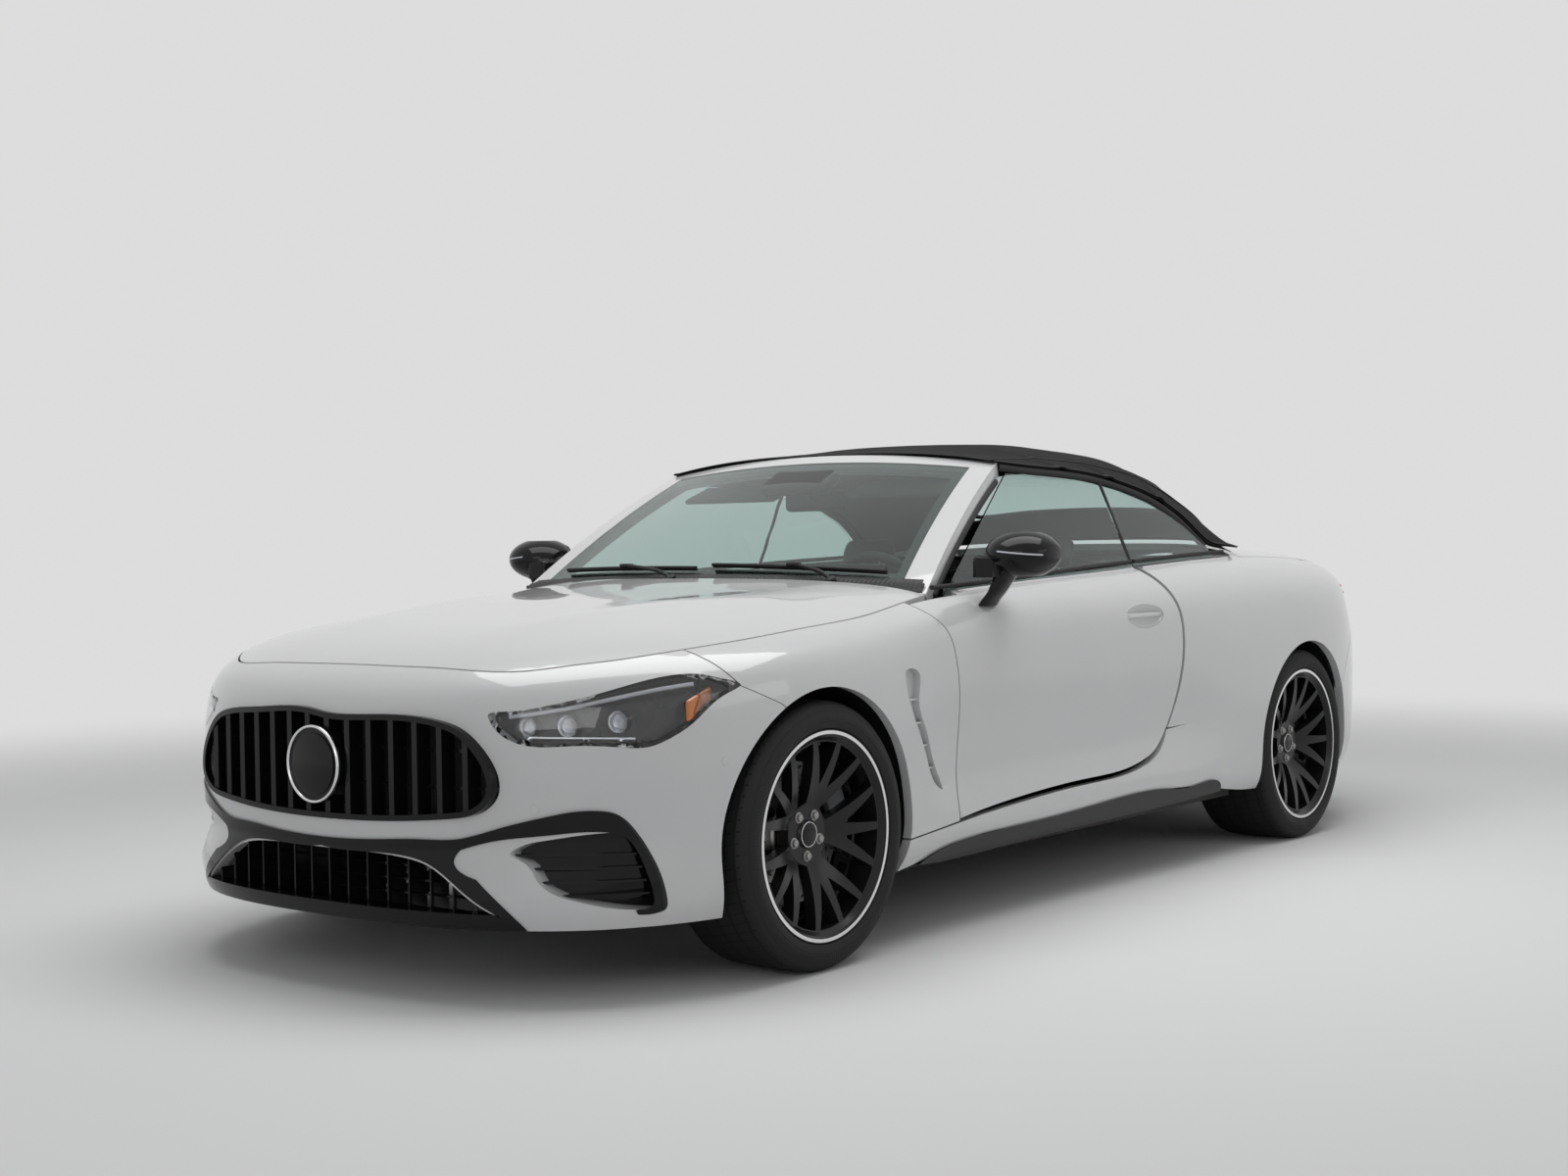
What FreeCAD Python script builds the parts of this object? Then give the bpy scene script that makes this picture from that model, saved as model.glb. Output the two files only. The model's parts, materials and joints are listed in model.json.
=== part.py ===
import FreeCAD, Part
import Sketcher
import math
import os

# A soft-top convertible car with two doors and two rows of seats. Millimetres, nose towards -Y,
# the car's left side towards +X, +Z up, origin on the ground under the middle of the car's length.

V = FreeCAD.Vector
doc = FreeCAD.newDocument("Convertible")
sheet = doc.addObject("Spreadsheet::Sheet", "Sizes")

DRIVING = [
    ("overall_length", 4852), ("body_width", 1935), ("overall_height", 1424),
    ("wheelbase", 2875), ("front_overhang", 875),
    ("front_tyre_radius", 346), ("front_tyre_width", 265), ("rear_tyre_radius", 342),
    ("rear_tyre_width", 295),
    ("front_wheel_face", 934), ("rear_wheel_face", 932), ("tyre_bulge", 8), ("tyre_squash", 1),
    ("rim_radius", 270), ("rim_wall", 9), ("rim_lip", 12), ("hub_radius", 76), ("hub_recess", 62),
    ("spoke_depth", 34), ("bore_radius", 34), ("cap_depth", 10),
    ("disc_radius", 184), ("disc_thickness", 34), ("disc_hat_radius", 92), ("disc_hat_depth", 46),
    ("disc_setback", 112), ("running_gap", 5), ("seat_gap", 0.3),
    ("front_arch_radius", 379), ("rear_arch_radius", 372),
    ("hood_ridge", 9), ("panel_depth", 26), ("bumper_depth", 34), ("door_depth", 108), ("shut_gap", 5),
    ("door_edge_taper", 14), ("vent_sunk", 7), ("trim_thickness", 6), ("fin_thickness", 5), ("bond", 1),
    ("grille_depth", 24), ("slat_width", 18), ("panel_backing", 6), ("upright_rounding", 9),
    ("handle_height", 16), ("handle_depth", 13), ("bowl_depth", 20), ("bowl_height", 86), ("bowl_length", 232),
    ("glass_thickness", 5), ("glass_seal", 8), ("glass_sunk", 60), ("glass_foot", 14), ("glass_setback", 2),
    ("rear_glass_setback", 4),
    ("roof_depth", 26), ("frame_depth", 46),
    ("floor_height", 190), ("floor_thickness", 40), ("wall_thickness", 30),
    ("liner_thickness", 4), ("liner_radius", 393), ("pad_size", 24), ("caliper_cover", 23), ("caliper_reach", 42),
    ("caliper_front", 22), ("disc_slot", 5), ("upright_thickness", 30), ("upright_half_height", 110),
    ("upright_half_length", 62), ("stub_length", 60), ("ball_joint_radius", 12), ("arm_thickness", 26),
    ("steering_wheel_radius", 184), ("steering_rim_radius", 15), ("column_radius", 32),
    ("seat_width", 480), ("seat_cushion_height", 150), ("seat_back_height", 560), ("seat_spacing", 372),
    ("console_width", 220),
    ("engine_length", 620), ("engine_width", 560), ("engine_height", 430), ("axle_case_radius", 140),
    ("axle_case_width", 260), ("beam_radius", 42),
    ("exhaust_radius", 42), ("exhaust_wall", 3), ("exhaust_box_rounding", 28), ("mirror_length", 200),
    ("mirror_height", 126), ("mirror_depth", 164), ("over", 40),
]


class Size:
    """A number from the sheet together with the expression that binds it."""

    def __init__(self, value, rule):
        self.value = value
        self.rule = rule

    def joined(self, other, sign, value):
        rule = other.rule if isinstance(other, Size) else repr(float(other))
        return Size(value, "(" + self.rule + " " + sign + " " + rule + ")")

    def __add__(self, other):
        return self.joined(other, "+", self.value + float(other))

    def __sub__(self, other):
        return self.joined(other, "-", self.value - float(other))

    def __mul__(self, other):
        return self.joined(other, "*", self.value * float(other))

    def __truediv__(self, other):
        return self.joined(other, "/", self.value / float(other))

    def __neg__(self):
        return Size(-self.value, "(-" + self.rule + ")")

    def __float__(self):
        return float(self.value)


class Sizes:
    """The sheet's cells by their names."""

    def __init__(self, rows):
        for row, (alias, value) in enumerate(rows, start=1):
            sheet.set("A%d" % row, alias)
            sheet.set("B%d" % row, str(value))
            sheet.setAlias("B%d" % row, alias)
            setattr(self, alias, Size(float(value), "Sizes." + alias))


size = Sizes(DRIVING)
doc.recompute()


# Plain numbers that the free forms read from the sheet

length = float(size.overall_length)
half_width = float(size.body_width) / 2
height = float(size.overall_height)
nose = -length / 2
tail = length / 2
front_axle = nose + float(size.front_overhang)
rear_axle = front_axle + float(size.wheelbase)
gap = float(size.shut_gap)
over = float(size.over)
panel_depth = float(size.panel_depth)
seat_gap = float(size.seat_gap)
wall = float(size.wall_thickness)
bond = float(size.bond)
front_axle_height = float(size.front_tyre_radius - size.tyre_squash)
rear_axle_height = float(size.rear_tyre_radius - size.tyre_squash)


def along(station):
    """A place along the car: 0 at the nose, 1 at the front axle, 2 at the rear axle, 3 at the tail."""
    if station < 1:
        return nose + (front_axle - nose) * station
    if station < 2:
        return front_axle + (rear_axle - front_axle) * (station - 1)
    return rear_axle + (tail - rear_axle) * (station - 2)


def up(share):
    return height * share


def out(share):
    return half_width * share


class Curve:
    """A smooth curve through chosen points: a natural cubic spline, held level past its ends."""

    def __init__(self, points):
        self.at = [p[0] for p in points]
        self.value = [p[1] for p in points]
        count = len(points)
        self.second = [0.0] * count
        work = [0.0] * count
        for i in range(1, count - 1):
            before = self.at[i] - self.at[i - 1]
            after = self.at[i + 1] - self.at[i]
            share = before / (before + after)
            pivot = share * self.second[i - 1] + 2.0
            self.second[i] = (share - 1.0) / pivot
            turn = (self.value[i + 1] - self.value[i]) / after - (self.value[i] - self.value[i - 1]) / before
            work[i] = (6.0 * turn / (before + after) - share * work[i - 1]) / pivot
        for i in range(count - 2, -1, -1):
            self.second[i] = self.second[i] * self.second[i + 1] + work[i]

    def __call__(self, place):
        place = min(max(place, self.at[0]), self.at[-1])
        i = 0
        while i < len(self.at) - 2 and place > self.at[i + 1]:
            i += 1
        span = self.at[i + 1] - self.at[i]
        left = (self.at[i + 1] - place) / span
        right = (place - self.at[i]) / span
        bend = (left ** 3 - left) * self.second[i] + (right ** 3 - right) * self.second[i + 1]
        return left * self.value[i] + right * self.value[i + 1] + bend * span * span / 6.0


def stations(rows, scale):
    return Curve([(along(a), scale(b)) for a, b in rows])


def heights(rows, scale):
    return Curve([(up(a), scale(b)) for a, b in rows])


# The body's form: half widths in plan, heights of the centreline, and how the sides, nose and tail fall in

plan_shares = [(0.0, 0.839), (0.11, 0.901), (0.315, 0.948), (0.6, 0.974), (1.0, 0.987), (1.105, 0.976),
               (1.21, 0.955), (1.366, 0.945), (1.54, 0.947), (1.68, 0.957), (1.82, 0.978), (2.0, 0.997),
               (2.34, 0.985), (2.613, 0.956), (2.84, 0.915), (3.0, 0.858)]
centre_shares = [(0.0, 0.562), (0.11, 0.577), (0.258, 0.598), (0.487, 0.624), (0.715, 0.642), (1.0, 0.66),
                 (1.122, 0.679), (1.226, 0.702), (1.366, 0.723), (1.54, 0.739), (1.713, 0.751), (1.887, 0.76),
                 (2.0, 0.758), (2.25, 0.749), (2.523, 0.735), (2.75, 0.718), (2.913, 0.704), (3.0, 0.692)]
drop_shares = [(0.0, 0.042), (0.487, 0.053), (1.0, 0.06), (1.226, 0.049), (1.54, 0.049), (1.82, 0.053),
               (2.0, 0.063), (2.613, 0.049), (3.0, 0.028)]
front_side_shares = [(0.084, 0.098), (0.119, 0.064), (0.162, 0.027), (0.211, 0.009), (0.281, 0.003), (0.365, 0.0),
                     (0.449, 0.002), (0.52, 0.012), (0.576, 0.033), (0.632, 0.068), (0.688, 0.116)]
door_side_shares = [(0.084, 0.114), (0.119, 0.081), (0.151, 0.043), (0.183, 0.014), (0.218, 0.002), (0.246, 0.005),
                    (0.302, 0.014), (0.365, 0.012), (0.435, 0.004), (0.492, 0.0), (0.548, 0.001), (0.604, 0.01),
                    (0.653, 0.035), (0.702, 0.076), (0.758, 0.134)]
rear_side_shares = [(0.084, 0.114), (0.119, 0.083), (0.162, 0.035), (0.211, 0.01), (0.281, 0.004), (0.365, 0.0),
                    (0.449, 0.0), (0.52, 0.006), (0.576, 0.019), (0.632, 0.041), (0.688, 0.081), (0.758, 0.134)]
nose_shares = [(0.07, 0.087), (0.126, 0.035), (0.162, 0.011), (0.211, 0.021), (0.26, 0.032), (0.309, 0.021),
               (0.379, 0.007), (0.449, 0.011), (0.499, 0.032), (0.541, 0.069), (0.576, 0.121), (0.632, 0.213)]
tail_shares = [(0.07, 0.114), (0.14, 0.069), (0.211, 0.033), (0.316, 0.009), (0.421, 0.005), (0.527, 0.019),
               (0.597, 0.031), (0.667, 0.005), (0.702, 0.0), (0.744, 0.0)]
nose_bow_shares = [(0.07, 0.16), (0.14, 0.17), (0.22, 0.19), (0.3, 0.225), (0.4, 0.25), (0.6, 0.25)]
tail_bow_share = 0.17
front_shoulder_share = 1.09
rear_shoulder_share = 1.92
middle_share = 0.351
front_corner_power = 4.5
rear_corner_power = 4.0
shoulder_power = 11.0
crown_power = 2.6
ridge_along_shares = (0.2, 0.6, 1.0, 1.22)
ridge_place_shares = (0.3, 0.26)
ridge_width_share = 0.1
ridge_height = float(size.hood_ridge)
door_blend_shares = (1.09, 1.227, 1.66, 1.87)

plan = stations(plan_shares, out)
centre = stations(centre_shares, up)
drop = stations(drop_shares, up)
front_side = heights(front_side_shares, out)
door_side = heights(door_side_shares, out)
rear_side = heights(rear_side_shares, out)
nose_fall = heights(nose_shares, lambda share: share * (front_axle - nose))
tail_fall = heights(tail_shares, lambda share: share * (tail - rear_axle))
nose_bow = heights(nose_bow_shares, lambda share: share * (front_axle - nose))
tail_bow = tail_bow_share * (tail - rear_axle)
front_shoulder = along(front_shoulder_share)
rear_shoulder = along(rear_shoulder_share)
middle = up(middle_share)


def ease(start, end, place):
    share = min(1.0, max(0.0, (place - start) / (end - start)))
    return share * share * (3 - 2 * share)


def side_x(y, z):
    """Half width of the body at a place along it and a height."""
    start, full, leave, end = [along(share) for share in door_blend_shares]
    front = 1 - ease(start, full, y)
    rear = ease(leave, end, y)
    inset = front * front_side(z) + rear * rear_side(z) + (1 - front - rear) * door_side(z)
    return plan(y) - inset


def ridge(x, y):
    """Two long bulges of the hood, which fade out towards the nose and the windscreen."""
    start, full, leave, end = [along(share) for share in ridge_along_shares]
    wide = out(ridge_place_shares[0] + ridge_place_shares[1] * ease(start, end, y))
    away = (abs(x) - wide) / out(ridge_width_share)
    return ridge_height * ease(start, full, y) * (1 - ease(leave, end, y)) * math.exp(-away * away)


def top_z(x, y):
    return centre(y) - drop(y) * (abs(x) / plan(y)) ** crown_power + ridge(x, y)


def nose_y(x, z):
    return nose + nose_fall(z) + nose_bow(z) * (x / half_width) ** 2


def tail_y(x, z):
    return tail - tail_fall(z) - tail_bow * (x / half_width) ** 2


def level(x, y, z):
    """Below zero inside the body's form, above zero outside it."""
    side = abs(x) / side_x(y, z)
    end = 0.0
    power = front_corner_power
    if y < front_shoulder:
        end = (front_shoulder - y) / (front_shoulder - nose_y(x, z))
    elif y > rear_shoulder:
        end = (y - rear_shoulder) / (tail_y(x, z) - rear_shoulder)
        power = rear_corner_power
    reach = (side ** power + end ** power) ** (1 / power)
    lift = (z - middle) / (top_z(x, y) - middle)
    if lift > 0:
        reach = (reach ** shoulder_power + lift ** shoulder_power) ** (1 / shoulder_power)
    return reach - 1


lid_reach_share = 0.985
cast_steps = 48
cast_halvings = 22


def cast(start, way):
    """The point where a ray from inside leaves the body's form."""
    far = length / 3
    step = far / cast_steps
    near = 0.0
    for i in range(1, cast_steps + 1):
        if level(start[0] + way[0] * step * i, start[1] + way[1] * step * i, start[2] + way[2] * step * i) > 0:
            near = step * (i - 1)
            break
    low, high = near, near + step
    for _ in range(cast_halvings):
        mid = (low + high) / 2
        if level(start[0] + way[0] * mid, start[1] + way[1] * mid, start[2] + way[2] * mid) > 0:
            high = mid
        else:
            low = mid
    return high


def spread(start, end, count):
    return [start + (end - start) * i / (count - 1) for i in range(count)]


# Shapes made from rows of points

def skin(rows):
    surface = Part.BSplineSurface()
    surface.interpolate([[V(*p) for p in row] for row in rows])
    return surface


def slab(outer_rows, inner_rows):
    """A closed solid between two skins with the same number of points."""
    outer = skin(outer_rows)
    inner = skin(inner_rows)
    faces = [outer.toShape(), inner.toShape()]
    for end in (0, 1):
        faces.append(Part.makeRuledSurface(outer.uIso(outer.bounds()[end]).toShape(),
                                           inner.uIso(inner.bounds()[end]).toShape()))
        faces.append(Part.makeRuledSurface(outer.vIso(outer.bounds()[2 + end]).toShape(),
                                           inner.vIso(inner.bounds()[2 + end]).toShape()))
    shell = Part.makeShell(faces)
    shell.sewShape()
    solid = Part.Solid(shell)
    if solid.Volume < 0:
        solid.reverse()
    return solid


def fan(side, spine, lifts, depth, rise=0.0):
    """A slab of the body's form. The spine is a row of (place along the car, heading), a heading of 0
    being straight out to the side and 90 straight on to the tail, and lifts are angles of elevation.
    The slab's outer skin stands off the form by the rise."""
    outer, inner = [], []
    for y, heading in spine:
        outer_row, inner_row = [], []
        for lift in lifts:
            way = (side * math.cos(heading) * math.cos(lift), math.sin(heading) * math.cos(lift), math.sin(lift))
            reach = cast((0, y, middle), way) + rise / math.cos(lift)
            outer_row.append((way[0] * reach, y + way[1] * reach, middle + way[2] * reach))
            reach -= depth / math.cos(lift)
            inner_row.append((way[0] * reach, y + way[1] * reach, middle + way[2] * reach))
        outer.append(outer_row)
        inner.append(inner_row)
    return slab(outer, inner)


def lid(rows, widest, count, depth):
    """A slab of the body's top, by heights over a grid of places along and shares across."""
    outer, inner = [], []
    for y in rows:
        outer_row, inner_row = [], []
        reach = min(widest, lid_reach_share * cast((0, y, middle), (1, 0, 0)))
        for x in spread(-reach, reach, count):
            z = middle + cast((x, y, middle), (0, 0, 1))
            outer_row.append((x, y, z))
            inner_row.append((x, y, z - depth))
        outer.append(outer_row)
        inner.append(inner_row)
    return slab(outer, inner)


def edges(stretches, place):
    """A closed wire: each stretch of two points is a line, and of more a smooth curve."""
    parts = []
    for stretch in stretches:
        points = [place(*p) for p in stretch]
        if len(points) == 2:
            parts.append(Part.LineSegment(points[0], points[1]).toShape())
        else:
            curve = Part.BSplineCurve()
            curve.interpolate(points)
            parts.append(curve.toShape())
    return Part.Wire(parts)


def side_prism(stretches, start, end):
    """A solid between two places across the car, from stretches of (along, up)."""
    wire = edges(stretches, lambda y, z: V(start, y, z))
    return Part.Face(wire).extrude(V(end - start, 0, 0))


def plan_prism(stretches, bottom, top):
    """A solid between two heights, from stretches of (across, along)."""
    wire = edges(stretches, lambda x, y: V(x, y, bottom))
    return Part.Face(wire).extrude(V(0, 0, top - bottom))


def front_prism(stretches, start, end):
    """A solid between two places along the car, from stretches of (across, up)."""
    wire = edges(stretches, lambda x, z: V(x, start, z))
    return Part.Face(wire).extrude(V(0, end - start, 0))


def drum(y, z, radius, start, end):
    """A cylinder across the car."""
    return Part.makeCylinder(radius, end - start, V(start, y, z), V(1, 0, 0))


def block(x0, x1, y0, y1, z0, z1):
    return Part.makeBox(x1 - x0, y1 - y0, z1 - z0, V(x0, y0, z0))


def mirrored(shape):
    return shape.mirror(V(0, 0, 0), V(1, 0, 0))


def solid_of(shape):
    """The largest solid of a result, without slivers."""
    return max(shape.Solids, key=lambda solid: solid.Volume)


nodes = []


def keep(label, shape):
    """A free form as an object of the document."""
    thing = doc.addObject("Part::Feature", label)
    thing.Label = label
    thing.Shape = shape
    thing.Placement = shape.Placement
    nodes.append(thing)
    return thing


def shape_of(label):
    for thing in nodes:
        if thing.Label == label:
            return thing.Shape


def angles(start, end, count):
    return [math.radians(a) for a in spread(start, end, count)]


side_left, side_right = 1, -1
whole = half_width + over


def both_ways(shape, side):
    return shape if side > 0 else mirrored(shape)


# Shut lines. Places along are stations, heights are shares of the overall height.

door_front_shares = [(1.187, 0.702), (1.1885, 0.642), (1.204, 0.606), (1.2167, 0.539), (1.222, 0.4775),
                     (1.223, 0.398), (1.221, 0.216)]
door_bottom_shares = [(1.221, 0.216), (1.333, 0.2335), (1.4685, 0.2435), (1.5565, 0.2486), (1.603, 0.2626),
                      (1.6296, 0.281), (1.657, 0.335), (1.677, 0.43), (1.6856, 0.532), (1.6845, 0.58),
                      (1.679, 0.63), (1.669, 0.677), (1.662, 0.73)]
belt_shares = [(1.0, 0.66), (1.187, 0.667), (1.31, 0.676), (1.4, 0.685), (1.487, 0.694), (1.66, 0.711),
               (1.83, 0.724), (1.95, 0.731)]
nose_seam_shares = [(0.57, 0.75), (0.57, 0.59), (0.651, 0.5225), (0.786, 0.487), (1.0, 0.4)]
sill_front_shares = [(1.0, 0.188), (1.111, 0.2), (1.2225, 0.216)]
quarter_seam_shares = [(1.652, 0.333), (1.76, 0.345), (2.0, 0.352)]
sill_bottom_shares = [(1.1, 0.142), (1.16, 0.154), (1.223, 0.175), (1.34, 0.183), (1.477, 0.19), (1.64, 0.194),
                      (1.71, 0.188), (1.777, 0.17), (1.9, 0.15)]
hood_front_shares = [(0.0, 0.1486), (0.2, 0.154), (0.33, 0.168), (0.48, 0.197), (0.565, 0.238), (0.645, 0.31),
                     (0.72, 0.4), (0.775, 0.505), (0.82, 0.65), (0.848, 0.85), (0.852, 1.0), (0.842, 1.12),
                     (0.822, 1.228)]
hood_rear_shares = [(0.822, 1.228), (0.55, 1.206), (0.28, 1.193), (0.0, 1.189)]
tail_seam_shares = [(2.28, 0.3), (2.32, 0.4), (2.42, 0.47), (2.6, 0.535), (2.72, 0.565), (3.1, 0.585)]
deck_front_share = 2.18
deck_corner_share = 1.94
deck_curve_power = 2.4
deck_side_shares = [(1.92, 0.79), (2.05, 0.785), (2.2, 0.775), (2.352, 0.765)]
boot_front_share = 2.358
boot_side_shares = [(2.35, 0.765), (2.5, 0.745), (2.7, 0.71), (2.88, 0.655), (3.05, 0.6)]
boot_bottom_share = 0.505


def places(shares, shift_y=0.0, shift_z=0.0):
    return [(along(a) + shift_y, up(b) + shift_z) for a, b in shares]


def ground(shares, shift_x=0.0, shift_y=0.0):
    return [(out(a) + shift_x, along(b) + shift_y) for a, b in shares]


def back(points):
    return list(reversed(points))


def both_halves(points):
    """A line across the car from its right half's mirror image and its left half."""
    return [(-x, y) for x, y in back(points)][:-1] + points


belt = stations(belt_shares, up)
door_front = places(door_front_shares)
door_rear = places(door_bottom_shares)
door_top = up(door_front_shares[0][1])


def belt_cut(start, end):
    """Everything above the belt line between two places along the car."""
    rows = spread(start, end, 9)
    line = [(y, belt(y)) for y in rows]
    return side_prism([line, [line[-1], (end, height + over)], [(end, height + over), (start, height + over)],
                       [(start, height + over), line[0]]], -whole, whole)


def hood_outline(grow):
    line = ground(hood_front_shares)
    edge = []
    for i, (x, y) in enumerate(line):
        before = line[max(i - 1, 0)]
        after = line[min(i + 1, len(line) - 1)]
        run = math.hypot(after[0] - before[0], after[1] - before[1])
        edge.append((x + grow * (after[1] - before[1]) / run, y - grow * (after[0] - before[0]) / run))
    edge[0] = (0.0, edge[0][1])
    rear = ground(hood_rear_shares, 0.0, grow)
    rear[0] = edge[-1] = (edge[-1][0], rear[0][1])
    return [both_halves(edge), both_halves(back(rear))[::-1]]


def hood_prism(grow):
    return plan_prism(hood_outline(grow), middle, height + over)


def arch(axle, axle_height, radius, side):
    start, end = (out(0.5), whole) if side > 0 else (-whole, -out(0.5))
    return drum(axle, axle_height, radius, start, end)


front_arch = float(size.front_arch_radius)
rear_arch = float(size.rear_arch_radius)


# Openings of the nose, in shares of the half width and the height

grille_shares = [(0.0, 0.487), (0.27, 0.4845), (0.41, 0.476), (0.468, 0.4635), (0.53, 0.428), (0.563, 0.386),
                 (0.563, 0.355), (0.532, 0.329), (0.444, 0.3125), (0.29, 0.304), (0.0, 0.299)]
intake_shares = [(0.0, 0.246), (0.28, 0.242), (0.355, 0.233), (0.462, 0.194), (0.568, 0.15)]
corner_shares = [(0.583, 0.259), (0.627, 0.274), (0.664, 0.279), (0.718, 0.2855), (0.771, 0.2895), (0.8, 0.288),
                 (0.828, 0.262), (0.848, 0.22), (0.857, 0.185), (0.848, 0.163), (0.82, 0.161), (0.742, 0.1763),
                 (0.7, 0.187), (0.649, 0.213), (0.608, 0.2444)]
trim_band_shares = [(0.0, 0.2647), (0.199, 0.269), (0.34, 0.2746), (0.452, 0.2781), (0.561, 0.2985), (0.623, 0.3104),
                    (0.68, 0.3202), (0.725, 0.3265), (0.76, 0.3272), (0.79, 0.3225), (0.822, 0.294), (0.842, 0.2605),
                    (0.862, 0.2184), (0.8685, 0.178), (0.86, 0.157), (0.828, 0.1525)]
trim_wing_shares = [(0.828, 0.1525), (0.828, 0.2), (0.8, 0.288), (0.767, 0.2921), (0.719, 0.2914), (0.667, 0.2872),
                    (0.618, 0.2837), (0.557, 0.2781), (0.501, 0.269), (0.457, 0.2598), (0.441, 0.2465),
                    (0.505, 0.2128), (0.559, 0.1819), (0.602, 0.1489), (0.618, 0.128)]
lamp_shares = [(0.53, 0.482), (0.602, 0.44), (0.625, 0.4355), (0.723, 0.4345), (0.8, 0.4305), (0.845, 0.4295),
               (0.868, 0.439), (0.9, 0.467), (0.927, 0.512), (0.934, 0.5225), (0.908, 0.5375), (0.88, 0.5455),
               (0.856, 0.5465), (0.8, 0.5345), (0.734, 0.5155), (0.64, 0.498), (0.57, 0.4915)]
chin_share = 0.128


def grown(points, grow):
    """A closed outline moved outwards by a distance."""
    area = sum(a[0] * b[1] - b[0] * a[1] for a, b in zip(points, points[1:] + points[:1]))
    turn = grow if area > 0 else -grow
    moved = []
    for i, (x, z) in enumerate(points):
        before, after = points[i - 1], points[(i + 1) % len(points)]
        run = math.hypot(after[0] - before[0], after[1] - before[1])
        moved.append((x + turn * (after[1] - before[1]) / run, z - turn * (after[0] - before[0]) / run))
    return moved


def closed_prism(points, start, end):
    """A prism along the car round a smooth closed outline of (across, up)."""
    curve = Part.BSplineCurve()
    curve.interpolate([V(x, start, z) for x, z in points], True)
    return Part.Face(Part.Wire([curve.toShape()])).extrude(V(0, end - start, 0))


def facing(shares):
    return [(out(a), up(b)) for a, b in shares]


def ring_points(shares):
    """A closed outline from its left half."""
    half = facing(shares)
    return half + [(-x, z) for x, z in back(half)[1:-1]]


nose_reach = nose - over
lamp_reach = along(0.72)
grille_reach = along(0.4)


def grille_prism(grow):
    return closed_prism(grown(ring_points(grille_shares), grow), nose_reach, grille_reach)


def intake_prism(grow):
    line = [(x, z) for x, z in facing(intake_shares)]
    top = [(-x - grow, z + grow) for x, z in back(line)][:-1] + [(x + grow, z + grow) for x, z in line]
    low = up(chin_share) - over
    return front_prism([top, [top[-1], (top[-1][0], low)], [(top[-1][0], low), (top[0][0], low)],
                        [(top[0][0], low), top[0]]], nose_reach, grille_reach)


def corner_prism(grow, side):
    points = grown(facing(corner_shares), grow)
    return closed_prism([(side * x, z) for x, z in points], nose_reach, along(0.6))


def lamp_prism(grow, side):
    points = grown(facing(lamp_shares), grow)
    return closed_prism([(side * x, z) for x, z in points], nose_reach, lamp_reach)


# Panels

def make_hood():
    shape = lid(spread(along(0.12), along(1.235), 30), out(0.88), 35, panel_depth).common(hood_prism(0.0))
    keep("hood", solid_of(shape))


bumper_spine = [(along(1.02), a) for a in angles(-2, -178, 57)]
bumper_lifts = angles(-24, 26, 19)
tail_spine = [(along(1.97), a) for a in angles(2, 178, 49)]
tail_lifts = angles(-26, 22, 17)


def make_front_bumper():
    shape = fan(1, bumper_spine, bumper_lifts, float(size.bumper_depth))
    shape = shape.cut(hood_prism(gap))
    seam = places(nose_seam_shares)
    fender = side_prism([seam[:2], seam[1:3], seam[2:4], seam[3:5], [seam[4], (along(1.1), up(0.4))],
                         [(along(1.1), up(0.4)), (along(1.1), up(0.75))], [(along(1.1), up(0.75)), seam[0]]],
                        -whole, whole)
    shape = shape.cut(fender)
    for side in (side_left, side_right):
        shape = shape.cut(arch(front_axle, front_axle_height, front_arch, side))
    shape = shape.cut(block(-whole, whole, front_axle, 0, 0, height))
    shape = shape.cut(block(-whole, whole, nose - over, 0, -over, up(chin_share)))
    shape = shape.cut(grille_prism(0.0)).cut(intake_prism(0.0))
    for side in (side_left, side_right):
        shape = shape.cut(corner_prism(0.0, side)).cut(lamp_prism(0.0, side))
    keep("front_bumper", solid_of(shape))


def fender_outline():
    seam = places(nose_seam_shares, gap)
    sill = places(sill_front_shares, 0.0, gap)
    front = places(door_front_shares, -gap)
    front[-1] = sill[-1] = (front[-1][0], sill[-1][1])
    return [seam[:2], seam[1:3], seam[2:4], seam[3:5], [seam[4], sill[0]], sill, back(front), [front[0], seam[0]]]


vent_shares = [(1.1412, 0.524), (1.1245, 0.5154), (1.1259, 0.481), (1.1433, 0.411), (1.1614, 0.3525),
               (1.1798, 0.2978), (1.1906, 0.2865), (1.1767, 0.337), (1.1583, 0.4087), (1.1461, 0.4705)]


def vent_prism(grow):
    points = grown(places(vent_shares), grow)
    curve = Part.BSplineCurve()
    curve.interpolate([V(half_width / 2, y, z) for y, z in points], True)
    return Part.Face(Part.Wire([curve.toShape()])).extrude(V(half_width, 0, 0))


def make_vents():
    """Black inserts in the fenders' slots, each with three blades across it."""
    spine = [(y, 0.0) for y in spread(along(1.1), along(1.21), 9)]
    backing, sunk = float(size.panel_backing), float(size.vent_sunk)
    floor = fan(1, spine, angles(-10, 30, 13), backing, backing - panel_depth)
    shape = floor.common(vent_prism(-seat_gap))
    blade = fan(1, spine, angles(-10, 30, 13), panel_depth - sunk - backing / 2, -sunk).common(vent_prism(-seat_gap))
    cut = float(size.fin_thickness)
    for share in vent_blade_shares:
        bar = block(0, whole, along(1.1), along(1.21), up(share), up(share) + cut)
        shape = shape.fuse(blade.common(bar))
    left = solid_of(shape)
    keep("fender_vents", Part.makeCompound([left, mirrored(left)]))


vent_blade_shares = (0.33, 0.375, 0.42, 0.465)


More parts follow.
